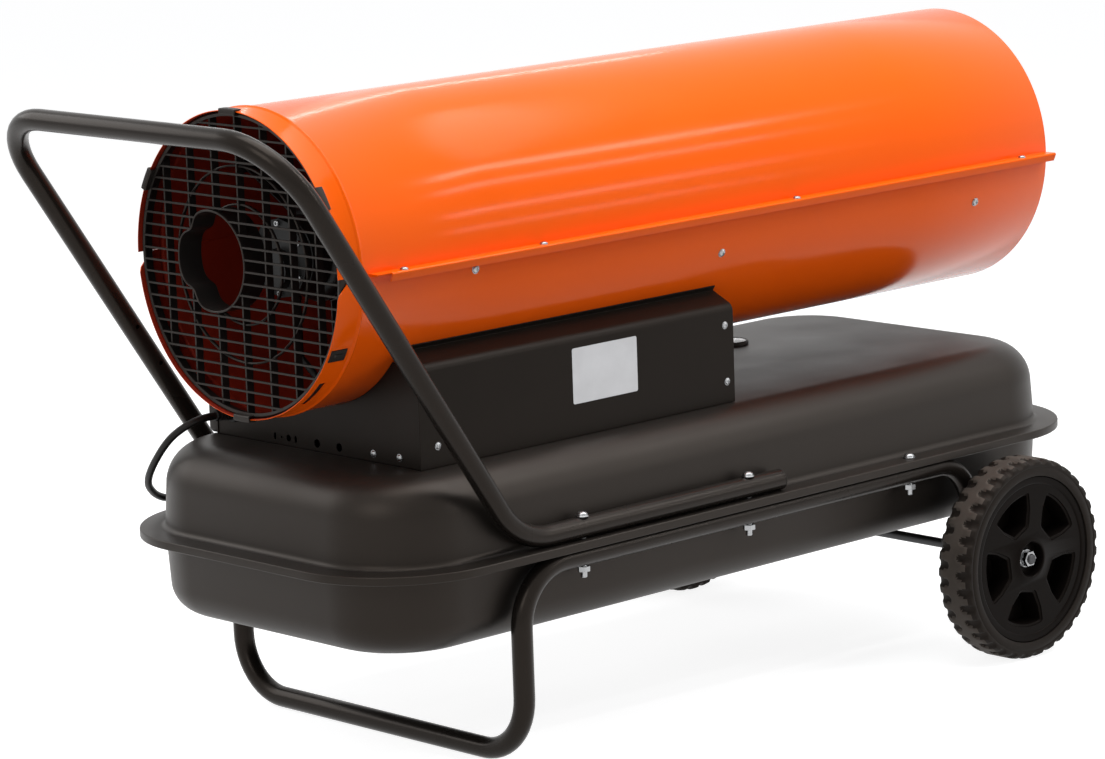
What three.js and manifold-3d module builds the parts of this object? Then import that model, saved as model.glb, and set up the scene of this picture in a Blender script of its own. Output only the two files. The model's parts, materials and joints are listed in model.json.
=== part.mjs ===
// Diesel forced air heater: a direct fired space heater on two wheels and a tubular foot.
// Lengths are millimetres. The machine is drawn square in its own frame: X runs from the air inlet to the
// hot outlet, Y runs across it, and Z runs up from the seam between the two halves of the fuel tank.
// The whole machine then leans until its foot tube and its wheels stand on one floor.

import * as THREE from "three";
import { mergeVertices } from "three/addons/utils/BufferGeometryUtils.js";
import Module from "manifold-3d";

const wasm = await Module();
wasm.setup();

// Clearances that all pieces share
const seat = 0.3;
const overrun = 4;
const weld = 0.001;
const roundSteps = 16;
const smallSteps = 12;
const footSteps = 2;

// Casing: two half shells of sheet, closed along the sides by flanges
const casingRadius = 176.6;
const casingLength = 1205;
const casingLift = 55.9;
const casingWall = 1.2;
const casingSteps = 20;
const beadPlace = 32;
const beadWidth = 8;
const beadHeight = 1.6;
const casingFlangeStart = 45;
const casingFlangeWidth = 17;
const casingLipDepth = 9;
const casingLipTuck = 4;
const casingCornerCut = 20;
const hoseHoleFrontPlace = 184;
const hoseHoleRearPlace = 300;

// Inlet grille: a moulded disc with bars, two rings and a collar round a service window
const grilleSetback = 5;
const grilleDepth = 13;
const grilleRimWidth = 5;
const grilleClearance = 1;
const barPitch = 13.8;
const barThickness = 2.2;
const barDepth = 3;
const ribPitch = 43.9;
const ribThickness = 2.6;
const ringRadii = [114, 70];
const ringThickness = 2.4;
const ringDepth = 4;
const ringInset = 1;
const windowRadius = 57;
const windowOffset = 49;
const windowPinch = 9;
const windowPinchAngle = 46;
const windowPinchSpread = 14;
const windowWall = 2.5;
const windowSteps = 36;
const collarDepth = 33;
const clipTurns = [30, 90, 150, 270];
const clipWidth = 28;
const clipReach = 10;
const clipThickness = 2;
const clipGap = 0.5;

// Fuel tank: two pressed halves, hemmed together at a flange
const tankStart = -23;
const tankEnd = 1206;
const tankFlangeHalfWidth = 266;
const tankCornerRadius = 144;
const tankFlangeWidth = 34;
const tankFlangeThickness = 7;
const tankWall = 1.5;
const tankTop = 103;
const tankBottom = 100;
const tankTopRounding = 50;
const tankBottomRounding = 38;
const tankDraft = 3;
const casingHeight = tankTop + casingLift + casingRadius;
const cornerSteps = 5;
const roundingSteps = 3;
const innerRoundingSteps = 2;

// Filler, cap and gauge on the tank
const fillerPlace = 800;
const fillerAside = 105;
const fillerRadius = 27;
const fillerWall = 2;
const fillerHeight = 14;
const fillerFlangeRadius = 36;
const fillerReach = 16;
const capRadius = 34;
const capHeight = 24;
const capWall = 3;
const capLugs = 8;
const capLugDepth = 4;
const gaugePlace = 893;
const gaugeAside = 95;
const gaugeRadius = 24;
const gaugeBezel = 3;
const gaugeHeight = 8;
const gaugeEdge = 1;
const gaugeBarrelRadius = 17;
const gaugeBarrelDepth = 22;
const gaugeDialDepth = 4;
const gaugeLensThickness = 1.4;
const needleLength = 14;
const needleWidth = 2.4;
const needleThickness = 0.8;
const needleHubRadius = 2.6;
const needlePinRadius = 1;

// Tubes of the handle and of the wheeled frame
const tubeRadius = 12.5;
const tubeWall = 1.5;
const tubeSides = 8;
const tubeBoreSides = 6;
const tubeAside = 249.3;
const runEnd = 616.7;
const legPlace = 189;
const handleBarPlace = -140.7;
const handleBarHeight = 506.4;
const handleBend = 88;
const handleBendSteps = 4;
const footBarHeight = -235;
const footBend = 70;
const footBendSteps = 4;
const rearBendPlace = 938;
const rearBend = 60;
const rearBendSteps = 3;
const tubeRearOverhang = 16;
const plugHeadThickness = 3;
const plugSpigot = 14;

// Wheels and axle
const axlePlace = 998;
const axleHeight = -142;
const axleRadius = 6;
const axleSides = 8;
const wheelRadius = 127;
const wheelWidth = 50;
const wheelGap = 10.5;
const rimRadius = 105;
const rimSetback = 3;
const tyreBeadDepth = 9;
const tyreBeadWidth = 30;
const tyreCrown = 4;
const tyreSteps = 48;
const rimSteps = 24;
const treadNotchLength = 12;
const treadNotchDepth = 5;
const rimDishRadius = 95;
const pocketCount = 5;
const pocketFirstTurn = 28;
const pocketInner = 39;
const pocketWaist = 60;
const pocketOuter = 86;
const pocketInnerHalf = 15;
const pocketWaistHalf = 28.5;
const pocketOuterHalf = 35;
const pocketSteps = 4;
const pocketDepth = 30;
const hubRecessRadius = 22;
const hubRecessDepth = 12;
const rimDish = 3;
const nutWidth = 18;
const nutHeight = 8;
const nutWasherRadius = 12.5;
const nutWasherThickness = 2;
const axleThreadProud = 3;
const hubBossRadius = 20;

// Flange bolts that hold the handle and the frame to the tank
const boltPlaces = [289.5, 563.6, 849.8];
const boltRadius = 4;
const boltSides = 6;
const boltWasherSides = 8;
const boltHoleClearance = 0.6;
const boltHeadWidth = 13;
const boltHeadHeight = 4.5;
const boltWasherRadius = 8;
const boltWasherThickness = 1.6;
const boltNutHeight = 6.5;
const boltTail = 7;

// Control box between tank and casing
const boxStart = 109;
const boxLength = 507;
const boxOverhang = 3.4;
const boxHalfWidth = casingRadius + boxOverhang;
const boxWall = 1.2;
const boxLedgeRise = 10.3;
const boxTopBend = 12;
const boxBendSteps = 4;
const boxBendTurn = 75;
const boxLedge = 34;
const boxLip = 8;
const saddleCutSteps = 12;
const plateHoleRow = 10;
const plateHoleAsides = [0, -38.6];
const plateHoleRadius = 5;
const plateSmallHoleAside = 50.8;
const plateSmallHoleRadius = 4;
const plateHoleSteps = 8;
const plateSlotAsides = [75.2, 38.3];
const plateSlotWidth = 4;
const plateSlotHeight = 8;

// Controls on the far side
const consoleStart = 0;
const consoleLength = 158;
const consoleDepth = 18;
const consoleHeight = 106;
const consoleRise = 0;
const consoleWall = 2.5;
const consoleTaper = 4;
const knobPlace = 53;
const knobHeight = 64;
const knobRadius = 19;
const knobDepth = 15;
const knobShaftRadius = 3;
const knobFlutes = 10;
const knobFluteDepth = 2;
const thermostatRadius = 15;
const thermostatLength = 24;
const switchPlace = 116;
const switchHeight = 64;
const switchWidth = 22;
const switchLength = 30;
const switchFrame = 4;
const switchBodyDepth = 18;
const switchWall = 2;
const switchTravel = 14;
const rockerDepth = 8;
const rockerGap = 0.8;
const rockerTipRise = 4.4;
const rockerMiddleRise = 2.4;

// Things inside the control box
const transformerPlace = 300;
const transformerAside = -95;
const transformerLength = 110;
const transformerWidth = 62;
const transformerHeight = 48;
const transformerFoot = 12;
const transformerTerminalRadius = 6;
const transformerTerminalHeight = 14;
const boardPlace = 180;
const boardAside = 45;
const boardLength = 120;
const boardWidth = 80;
const boardThickness = 1.6;
const boardStandoff = 5;
const boardPostInset = 12;
const boardPostSides = 6;
const relayPlaces = [24, 60];
const relayLength = 24;
const relayWidth = 18;
const relayHeight = 16;
const pickupPlace = 430;
const pickupAside = 60;
const pickupRadius = 4;
const pickupFlangeRadius = 17;
const pickupFlangeThickness = 2.5;
const pickupHoleRadius = 11;
const pickupClearance = 8;
const filterRadius = 15;
const filterHeight = 18;
const filterNeckRadius = 4.5;
const filterNeck = 5;
const hoseRadius = 4;
const hoseSides = 6;
const hoseBend = 10;
const hoseBendSteps = 2;
const hoseHoleClearance = 2;
const airHoseAside = -26;
const fuelHoseAside = 26;
const airHoseDrop = 30;

// Motor, fan and air pump
const motorPlace = 104;
const motorLength = 100;
const motorRadius = 57;
const motorBellLength = 14;
const motorBellRadius = 48;
const motorFins = 8;
const motorFinDepth = 3;
const shaftRadius = 7;
const shaftSides = 12;
const shaftStart = 71;
const shaftEnd = 268;
const fanPlace = 240;
const fanRadius = 158;
const fanHubRadius = 42;
const fanHubLength = 26;
const fanBlades = 6;
const bladeRootChord = 66;
const bladeTipChord = 96;
const bladeRootAngle = 38;
const bladeTipAngle = 22;
const bladeCamber = 7;
const bladeThickness = 1.8;
const bladeSections = 3;
const bladeChordSteps = 3;
const bracketPlace = 140;
const bracketLength = 30;
const bracketWall = 2;
const bracketLegs = 3;
const bracketFirstLeg = 30;
const bracketFoot = 22;
const pumpPlace = 76;
const pumpLength = 27.7;
const pumpRadius = 46;
const pumpWall = 6;
const pumpOffset = 3;
const rotorRadius = 32;
const pumpCoverThickness = 10;
const pumpCapRadius = 24;
const pumpCapHeight = 12;
const pumpCapSink = 1;
const pumpChamberGap = 1;

// Combustion chamber and burner
const chamberPlace = 350;
const chamberLength = 680;
const chamberRadius = 128;
const chamberWall = 1.5;
const chamberSteps = 24;
const noseLength = 62;
const noseRadius = 96;
const noseLip = 10;
const airHoles = 6;
const airHoleRadius = 9;
const airHolePlace = 120;
const headCollar = 18;
const headHoleRadius = 32;
const swirlSlots = 6;
const swirlInner = 52;
const swirlOuter = 96;
const swirlWidth = 9;
const targetPlace = 600;
const targetRadius = 68;
const targetDish = 14;
const targetThickness = 2;
const targetArms = 3;
const targetArmWidth = 18;
const saddlePlaces = [90, 560];
const saddleWidth = 30;
const saddleWall = 2;
const saddleHalfAngle = 42;
const saddleSteps = 8;
const saddleFoot = 20;
const burnerRadius = 40;
const burnerFlange = 3;
const burnerBarrelRadius = 22;
const burnerBarrelLength = 26;
const burnerBoreRadius = 9;
const burnerSideHole = 5;
const electrodeAside = 14;
const electrodeRadius = 3.2;
const electrodeBack = 8;
const electrodeClampLength = 4;
const electrodeReach = 30;
const electrodeTipRadius = 1.4;
const electrodeTipLength = 10;
const nozzleRadius = 8.5;
const nozzleReach = 16;
const nozzleBack = 60;
const nozzleTipRadius = 4;
const cellRadius = 5;
const cellLength = 30;
const cellCollar = 2;
const cellGap = 3;

// Power cord, with its strain relief and plug
const cordRadius = 4.5;
const cordSides = 8;
const cordSteps = 34;
const glandPlace = 148;
const glandHeight = 30;
const glandRadius = 9;
const glandTipRadius = 6.4;
const glandLength = 26;
const glandFlangeRadius = 12;
const glandFlange = 4;
const glandNeck = 9;
const glandTail = 10;
const coilMeanDiameter = 90;
const coilPitch = 9.7;
const coilTurnsPerLayer = 2;
const coilStepsPerTurn = 18;
const coilSides = 6;
const plugNeckLength = 24;
const plugNeckRadius = 8;
const plugLength = 34;
const plugRadius = 13.5;
const plugWaist = 11.5;
const bladeWidth = 6.3;
const bladePlateThickness = 1.6;
const bladeLength = 18;
const bladeSpacing = 12.7;
const groundPinRadius = 2.4;
const groundPinLength = 20;
const groundPinDrop = 8;

// Finishes
const finish = (color, roughness, metalness) => ({ color, roughness, metalness });
const orangePaint = finish(0xff6414, 0.25, 0);
const tankPaint = finish(0x2a2826, 0.5, 0);
const blackPaint = finish(0x1a1918, 0.4, 0);
const zinc = finish(0xc9ccd0, 0.3, 1);
const steel = finish(0x8d9096, 0.45, 1);
const chromed = finish(0xd8dadd, 0.12, 1);
const blackPlastic = finish(0x201f1e, 0.55, 0);
const rubber = finish(0x2b2a29, 0.85, 0);
const aluminium = finish(0xb4b7ba, 0.4, 1);
const brass = finish(0xb99a4b, 0.35, 1);
const ceramic = finish(0xefece2, 0.3, 0);
const greenBoard = finish(0x2e6b3f, 0.5, 0);
const redPlastic = finish(0xb02020, 0.35, 0);
const clearPlastic = finish(0xe8eef2, 0.1, 0);
const filterPlastic = finish(0xd9d4c4, 0.3, 0);

// Solids: a closed mesh becomes a solid that can be joined and cut, and turns back into a mesh

function solid(geometry) {
  const bare = geometry.index ? geometry.toNonIndexed() : geometry.clone();
  for (const name of Object.keys(bare.attributes)) {
    if (name !== "position") bare.deleteAttribute(name);
  }
  const merged = mergeVertices(bare, weld);
  const corners = merged.index.array;
  const faces = [];
  for (let i = 0; i < corners.length; i += 3) {
    const [a, b, c] = corners.slice(i, i + 3);
    if (a !== b && b !== c && c !== a) faces.push(a, b, c);
  }
  const build = (triVerts) =>
    new wasm.Manifold(
      new wasm.Mesh({
        numProp: 3,
        vertProperties: new Float32Array(merged.attributes.position.array),
        triVerts: new Uint32Array(triVerts),
      }),
    );
  const made = build(faces);
  return made.volume() < 0 ? build(faces.reverse()) : made;
}

function geometryOf(shape) {
  const mesh = shape.getMesh();
  const geometry = new THREE.BufferGeometry();
  const places = new Float32Array(mesh.numVert * 3);
  for (let i = 0; i < mesh.numVert; i += 1) {
    places.set(mesh.vertProperties.subarray(i * mesh.numProp, i * mesh.numProp + 3), i * 3);
  }
  geometry.setAttribute("position", new THREE.BufferAttribute(places, 3));
  geometry.setIndex(new THREE.BufferAttribute(mesh.triVerts, 1));
  return geometry;
}

const joined = (...solids) => solids.flat().reduce((whole, part) => whole.add(part));
const cut = (whole, ...cutters) => cutters.flat().reduce((rest, cutter) => rest.subtract(cutter), whole);

// Axes as unit vectors, and the turn that lays a shape drawn in a plane across each of them
const axes = {
  x: [new THREE.Vector3(0, 1, 0), new THREE.Vector3(0, 0, 1), new THREE.Vector3(1, 0, 0)],
  y: [new THREE.Vector3(1, 0, 0), new THREE.Vector3(0, 0, 1), new THREE.Vector3(0, 1, 0)],
  z: [new THREE.Vector3(1, 0, 0), new THREE.Vector3(0, 1, 0), new THREE.Vector3(0, 0, 1)],
};

function across(axis, start = 0) {
  const matrix = new THREE.Matrix4().makeBasis(...axes[axis]);
  return matrix.setPosition(axes[axis][2].clone().multiplyScalar(start));
}

// A flat outline, with holes if it has any, drawn out along an axis from one place to another
function prism(axis, outline, from, to, holes = []) {
  const shape = new THREE.Shape(outline.map(([u, v]) => new THREE.Vector2(u, v)));
  for (const hole of holes) {
    shape.holes.push(new THREE.Path(hole.map(([u, v]) => new THREE.Vector2(u, v))));
  }
  const geometry = new THREE.ExtrudeGeometry(shape, { depth: to - from, bevelEnabled: false });
  return solid(geometry.applyMatrix4(across(axis, from)));
}

// A profile of [place along the axis, radius] pairs spun round an axis through (u, v)
function spun(axis, profile, steps, u = 0, v = 0) {
  const points = profile.map(([along, radius]) => new THREE.Vector2(radius, along));
  const geometry = new THREE.LatheGeometry(points, steps).rotateX(Math.PI / 2);
  geometry.applyMatrix4(across(axis));
  const shift = axes[axis][0].clone().multiplyScalar(u).addScaledVector(axes[axis][1], v);
  return solid(geometry.translate(shift.x, shift.y, shift.z));
}

const disc = (axis, radius, from, to, steps, u = 0, v = 0) =>
  spun(axis, [[from, 0], [from, radius], [to, radius], [to, 0]], steps, u, v);

const pipe = (axis, outer, inner, from, to, steps, u = 0, v = 0) =>
  spun(axis, [[from, inner], [from, outer], [to, outer], [to, inner], [from, inner]], steps, u, v);

const block = (x0, x1, y0, y1, z0, z1) => {
  const geometry = new THREE.BoxGeometry(x1 - x0, y1 - y0, z1 - z0);
  return solid(geometry.translate((x0 + x1) / 2, (y0 + y1) / 2, (z0 + z1) / 2));
};

// A regular polygon's corners, by the width across its flats
function polygon(sides, acrossFlats, u = 0, v = 0) {
  const radius = acrossFlats / 2 / Math.cos(Math.PI / sides);
  return Array.from({ length: sides }, (_, i) => {
    const angle = (2 * Math.PI * i) / sides;
    return [u + radius * Math.cos(angle), v + radius * Math.sin(angle)];
  });
}

// Points of an arc in a plane, in degrees
function arc(u, v, radius, from, to, steps) {
  return Array.from({ length: steps + 1 }, (_, i) => {
    const angle = THREE.MathUtils.degToRad(from + ((to - from) * i) / steps);
    return [u + radius * Math.cos(angle), v + radius * Math.sin(angle)];
  });
}

// A radius grown so that an arc's flat steps stay outside a circle, or shrunk so that a circle's flat steps
// stay inside it
const outsideOf = (radius, degreesPerStep) => radius / Math.cos(THREE.MathUtils.degToRad(degreesPerStep / 2));
const insideOf = (radius, degreesPerStep) => radius * Math.cos(THREE.MathUtils.degToRad(degreesPerStep / 2));

// A piece of a ring round X, between two radii and two angles
const sector = (inner, outer, from, to, steps, x0, x1, height = 0) =>
  prism("x", [...arc(0, height, outer, from, to, steps), ...arc(0, height, inner, to, from, steps)], x0, x1);

const turnedX = (shape, degrees, height = 0) =>
  shape.translate([0, 0, -height]).rotate([degrees, 0, 0]).translate([0, 0, height]);

// Rings of equally many points, skinned one after another and closed at both ends
function loft(rings, flatten = ([x, y]) => new THREE.Vector2(x, y)) {
  const count = rings[0].length;
  const places = rings.flat().flat();
  const faces = [];
  for (let r = 0; r + 1 < rings.length; r += 1) {
    for (let i = 0; i < count; i += 1) {
      const a = r * count + i;
      const b = r * count + ((i + 1) % count);
      faces.push(a, b, b + count, a, b + count, a + count);
    }
  }
  const last = (rings.length - 1) * count;
  const cap = (ring) => {
    const outline = ring.map(flatten);
    const turned = THREE.ShapeUtils.area(outline) < 0;
    if (turned) outline.reverse();
    const order = THREE.ShapeUtils.triangulateShape(outline, []);
    return order.map((face) => face.map((i) => (turned ? count - 1 - i : i)));
  };
  const lowIsLeft = THREE.ShapeUtils.area(rings[0].map(flatten)) > 0;
  for (const [a, b, c] of cap(rings[0])) faces.push(...(lowIsLeft ? [a, c, b] : [a, b, c]));
  const endIsLeft = THREE.ShapeUtils.area(rings[rings.length - 1].map(flatten)) > 0;
  for (const [a, b, c] of cap(rings[rings.length - 1])) {
    faces.push(...(endIsLeft ? [a, b, c] : [a, c, b]).map((i) => i + last));
  }
  const geometry = new THREE.BufferGeometry();
  geometry.setAttribute("position", new THREE.BufferAttribute(new Float32Array(places), 3));
  geometry.setIndex(faces);
  return solid(geometry);
}

// A line through given places, so that a tube along it has a ring at each of them and no more
class PlacedLine extends THREE.Curve {
  constructor(places) {
    super();
    this.places = places;
    this.headings = places.map((place, i) => {
      const before = places[Math.max(i - 1, 0)];
      const after = places[Math.min(i + 1, places.length - 1)];
      return after.clone().sub(before).normalize();
    });
  }

  get steps() {
    return this.places.length - 1;
  }

  getPointAt(share, target = new THREE.Vector3()) {
    return target.copy(this.places[Math.round(share * this.steps)]);
  }

  getTangentAt(share, target = new THREE.Vector3()) {
    return target.copy(this.headings[Math.round(share * this.steps)]);
  }
}

// A line of straight runs and round bends, with places only at the ends of runs and inside bends
class BentLine extends PlacedLine {
  constructor(corners, bends, stepsPerBend) {
    const points = corners.map((corner) => new THREE.Vector3(...corner));
    super([points[0]]);
    this.headings = [points[1].clone().sub(points[0]).normalize()];
    for (let i = 1; i + 1 < points.length; i += 1) {
      const inward = points[i].clone().sub(points[i - 1]).normalize();
      const outward = points[i + 1].clone().sub(points[i]).normalize();
      const turn = inward.angleTo(outward);
      const radius = bends[(i - 1) % bends.length];
      const reach = radius * Math.tan(turn / 2);
      const start = points[i].clone().addScaledVector(inward, -reach);
      const side = outward.clone().addScaledVector(inward, -outward.dot(inward)).normalize();
      const steps = stepsPerBend[(i - 1) % stepsPerBend.length];
      for (let k = 0; k <= steps; k += 1) {
        const angle = (turn * k) / steps;
        const place = start.clone().addScaledVector(inward, radius * Math.sin(angle));
        this.places.push(place.addScaledVector(side, radius * (1 - Math.cos(angle))));
        const heading = inward.clone().multiplyScalar(Math.cos(angle));
        this.headings.push(heading.addScaledVector(side, Math.sin(angle)));
      }
    }
    this.places.push(points[points.length - 1]);
    this.headings.push(this.headings[this.headings.length - 1].clone());
  }
}

function tube(line, radius, sides, bore = 0, boreSides = 0, steps = line.steps) {
  const round = (size, count) =>
    Array.from({ length: count }, (_, i) => {
      const angle = (2 * Math.PI * i) / count;
      return new THREE.Vector2(size * Math.cos(angle), size * Math.sin(angle));
    });
  const shape = new THREE.Shape(round(radius, sides));
  if (bore > 0) shape.holes.push(new THREE.Path(round(bore, boreSides)));
  return solid(new THREE.ExtrudeGeometry(shape, { steps, extrudePath: line, bevelEnabled: false }));
}

// The machine: each piece is a named mesh in a group that leans as the machine stands
const machine = new THREE.Group();

function piece(name, shape, look, group = machine) {
  const mesh = new THREE.Mesh(geometryOf(shape), new THREE.MeshStandardMaterial(look));
  mesh.name = name;
  group.add(mesh);
  return mesh;
}

const sides = [
  { name: "near", sign: -1 },
  { name: "far", sign: 1 },
];

// Casing

function halfRing(x, outer, inner, up) {
  const edge = (radius, from, to) =>
    arc(0, 0, radius, from, to, casingSteps).map(([y, z]) => [
      x,
      y,
      casingHeight + up * Math.max(z, seat / 2),
    ]);
  return [...edge(outer, 0, 180), ...edge(inner, 180, 0)];
}

function halfShell(up) {
  const stations = [
    [0, 0],
    [beadPlace, 0],
    [beadPlace + beadWidth / 2, beadHeight],
    [beadPlace + beadWidth, 0],
    [casingLength, 0],
  ];
  const rings = stations.map(([x, rise]) =>
    halfRing(x, casingRadius + rise, casingRadius - casingWall + rise, up),
  );
  return loft(rings, ([, y, z]) => new THREE.Vector2(y, z));
}

function casingUpper() {
  const outer = casingRadius + casingFlangeWidth;
  const root = casingRadius - casingWall / 2;
  const level = casingHeight + seat / 2;
  const lipEnd = casingHeight - casingLipDepth;
  const flanges = sides.map(({ sign }) =>
    prism(
      "x",
      [
        [sign * root, level],
        [sign * (outer - casingWall), level],
        [sign * (outer - casingWall - casingLipTuck), lipEnd],
        [sign * (outer - casingLipTuck), lipEnd],
        [sign * outer, level + casingWall],
        [sign * root, level + casingWall],
      ],
      casingFlangeStart,
      casingLength,
    ),
  );
  return joined(halfShell(1), flanges);
}

function casingLower() {
  const outer = casingRadius + casingFlangeWidth - casingLipTuck - casingWall - seat;
  const root = casingRadius - casingWall / 2;
  const level = casingHeight - seat / 2;
  const flanges = sides.map(({ sign }) =>
    prism(
      "x",
      [
        [sign * root, level],
        [sign * outer, level],
        [sign * outer, level - casingWall],
        [sign * root, level - casingWall],
      ],
      casingFlangeStart,
      casingLength,
    ),
  );
  const corner = prism(
    "y",
    [
      [-overrun, casingHeight + overrun],
      [casingCornerCut + overrun, casingHeight + overrun],
      [-overrun, casingHeight - casingCornerCut - overrun],
    ],
    -casingRadius - overrun,
    casingRadius + overrun,
  );
  const hoseHole = hoseRadius + hoseHoleClearance;
  const holeLow = casingHeight - casingRadius - overrun;
  const holeHigh = holeLow + casingWall + 2 * overrun;
  const holes = [
    disc("z", hoseHole, holeLow, holeHigh, hoseSides, hoseHoleFrontPlace, airHoseAside),
    disc("z", hoseHole, holeLow, holeHigh, hoseSides, hoseHoleRearPlace, airHoseAside),
    disc("z", hoseHole, holeLow, holeHigh, hoseSides, hoseHoleRearPlace, fuelHoseAside),
  ];
  return cut(joined(halfShell(-1), flanges), corner, holes);
}

// Grille, held by clips that hook round the casing's front edge

const casingInside = insideOf(casingRadius - casingWall, 180 / casingSteps) - seat;
const grilleRadius = casingRadius - casingWall - grilleClearance;

function grilleClips() {
  const inner = grilleRadius - grilleRimWidth;
  const edge = casingRadius + clipGap;
  const nose = -clipGap - clipThickness;
  const outline = [
    [grilleSetback + clipThickness, inner],
    [nose, inner],
    [nose, edge + clipThickness],
    [clipReach, edge + clipThickness],
    [clipReach, edge],
    [-clipGap, edge],
    [-clipGap, grilleRadius - clipThickness],
    [grilleSetback + clipThickness, grilleRadius - clipThickness],
  ];
  const hook = prism("z", outline, casingHeight - clipWidth / 2, casingHeight + clipWidth / 2);
  return clipTurns.map((turn) => turnedX(hook, turn, casingHeight));
}

// The window is nearly a circle, pinched above and below its far side
function windowPrism(grow, from, to) {
  const outline = Array.from({ length: windowSteps }, (_, i) => {
    const turned = (360 * i) / windowSteps;
    const fromFarSide = Math.min(turned, 360 - turned);
    const pinch = windowPinch * Math.exp(-(((fromFarSide - windowPinchAngle) / windowPinchSpread) ** 2));
    const angle = THREE.MathUtils.degToRad(turned);
    const radius = windowRadius + grow - pinch;
    return [windowOffset + radius * Math.cos(angle), casingHeight + radius * Math.sin(angle)];
  });
  return prism("x", outline, from, to);
}

function inletGrille() {
  const front = grilleSetback;
  const back = grilleSetback + grilleDepth;
  const inner = grilleRadius - grilleRimWidth;
  const rim = pipe("x", grilleRadius, inner, front, back, chamberSteps, 0, casingHeight);
  const reach = grilleRadius - grilleRimWidth / 2;
  const span = (offset) => Math.sqrt(reach * reach - offset * offset);
  const barCount = Math.floor(reach / barPitch);
  const bars = [];
  for (let i = -barCount; i < barCount; i += 1) {
    const z = (i + 1 / 2) * barPitch;
    bars.push(
      block(
        front,
        front + barDepth,
        -span(z),
        span(z),
        casingHeight + z - barThickness / 2,
        casingHeight + z + barThickness / 2,
      ),
    );
  }
  const ribCount = Math.floor(reach / ribPitch);
  const ribs = [];
  for (let i = -ribCount; i <= ribCount; i += 1) {
    const y = i * ribPitch;
    ribs.push(
      block(
        front + barDepth,
        back,
        y - ribThickness / 2,
        y + ribThickness / 2,
        casingHeight - span(y),
        casingHeight + span(y),
      ),
    );
  }
  const ringFront = front + barDepth + ringInset;
  const rings = ringRadii.map((radius) =>
    pipe(
      "x",
      radius,
      radius - ringThickness,
      ringFront,
      ringFront + ringDepth,
      chamberSteps,
      0,
      casingHeight,
    ),
  );
  const collar = windowPrism(windowWall, front, front + collarDepth);
  const opening = windowPrism(0, front - overrun, front + collarDepth + overrun);
  return cut(joined(rim, bars, ribs, rings, collar, grilleClips()), opening);
}

// Tank

function tankRing(inset, z) {
  const radius = tankCornerRadius - inset;
  const reach = tankFlangeHalfWidth - tankCornerRadius;
  const low = tankStart + tankCornerRadius;
  const high = tankEnd - tankCornerRadius;
  return [
    ...arc(high, reach, radius, 0, 90, cornerSteps),
    ...arc(low, reach, radius, 90, 180, cornerSteps),
    ...arc(low, -reach, radius, 180, 270, cornerSteps),
    ...arc(high, -reach, radius, 270, 360, cornerSteps),
  ].map(([x, y]) => [x, y, z]);
}

function tankHalf(up, height, rounding) {
  const wallInset = tankFlangeWidth;
  const curve = (inset, top, radius, steps) =>
    Array.from({ length: steps + 1 }, (_, i) => {
      const angle = ((Math.PI / 2) * i) / steps;
      return tankRing(inset + radius * (1 - Math.sin(angle)), up * (top - radius * (1 - Math.cos(angle))));
    });
  const rings = [
    ...curve(wallInset, height, rounding, roundingSteps),
    tankRing(wallInset - tankDraft, up * (tankFlangeThickness / 2)),
    tankRing(0, up * (tankFlangeThickness / 2)),
    tankRing(0, up * (seat / 2)),
    tankRing(wallInset - tankDraft + tankWall, up * (seat / 2)),
    ...curve(wallInset + tankWall, height - tankWall, rounding - tankWall, innerRoundingSteps).reverse(),
  ];
  return loft(rings);
}

const boltHoles = (from, to, places = boltPlaces) =>
  places.flatMap((x) =>
    sides.map(({ sign }) =>
      disc("z", boltRadius + boltHoleClearance, from, to, boltSides, x, sign * tubeAside),
    ),
  );

function tankUpper() {
  const through = [tankTop - tankWall - overrun, tankTop + overrun];
  return cut(
    tankHalf(1, tankTop, tankTopRounding),
    boltHoles(-overrun, tankFlangeThickness + overrun),
    disc("z", fillerRadius + seat, ...through, roundSteps, fillerPlace, fillerAside),
    disc("z", gaugeBarrelRadius + seat, ...through, roundSteps, gaugePlace, gaugeAside),
    disc("z", pickupHoleRadius, ...through, smallSteps, pickupPlace, pickupAside),
  );
}

function tankLower() {
  const holes = boltHoles(-tankFlangeThickness - overrun, overrun);
  return cut(tankHalf(-1, tankBottom, tankBottomRounding), holes);
}

function fillerNeck() {
  const top = tankTop + fillerHeight;
  const flange = tankTop + seat;
  return spun(
    "z",
    [
      [tankTop - fillerReach, fillerRadius],
      [flange, fillerRadius],
      [flange, fillerFlangeRadius],
      [flange + fillerWall, fillerFlangeRadius],
      [flange + fillerWall, fillerRadius],
      [top, fillerRadius],
      [top, fillerRadius - fillerWall],
      [tankTop - fillerReach, fillerRadius - fillerWall],
      [tankTop - fillerReach, fillerRadius],
    ],
    roundSteps,
    fillerPlace,
    fillerAside,
  );
}

function fillerCap() {
  const base = tankTop + 2 * seat + fillerWall;
  const lid = tankTop + fillerHeight + seat;
  const top = base + capHeight;
  const outline = Array.from({ length: 2 * capLugs }, (_, i) => {
    const angle = (Math.PI * i) / capLugs;
    const radius = capRadius + (i % 2 === 0 ? capLugDepth : 0);
    return [fillerPlace + radius * Math.cos(angle), fillerAside + radius * Math.sin(angle)];
  });
  const dome = spun(
    "z",
    [
      [base, 0],
      [base, capRadius],
      [top - capWall, capRadius],
      [top, capRadius - 2 * capWall],
      [top, 0],
    ],
    roundSteps,
    fillerPlace,
    fillerAside,
  );
  const grip = prism("z", outline, base + capWall, top - capWall);
  const bore = disc("z", fillerRadius + seat, base - overrun, lid, roundSteps, fillerPlace, fillerAside);
  return cut(joined(dome, grip), bore);
}

// Fuel gauge: a case with a barrel in the tank, a dial recess, a needle on a pin and a lens
const gaugeFloor = tankTop + seat + gaugeHeight - gaugeDialDepth;

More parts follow.
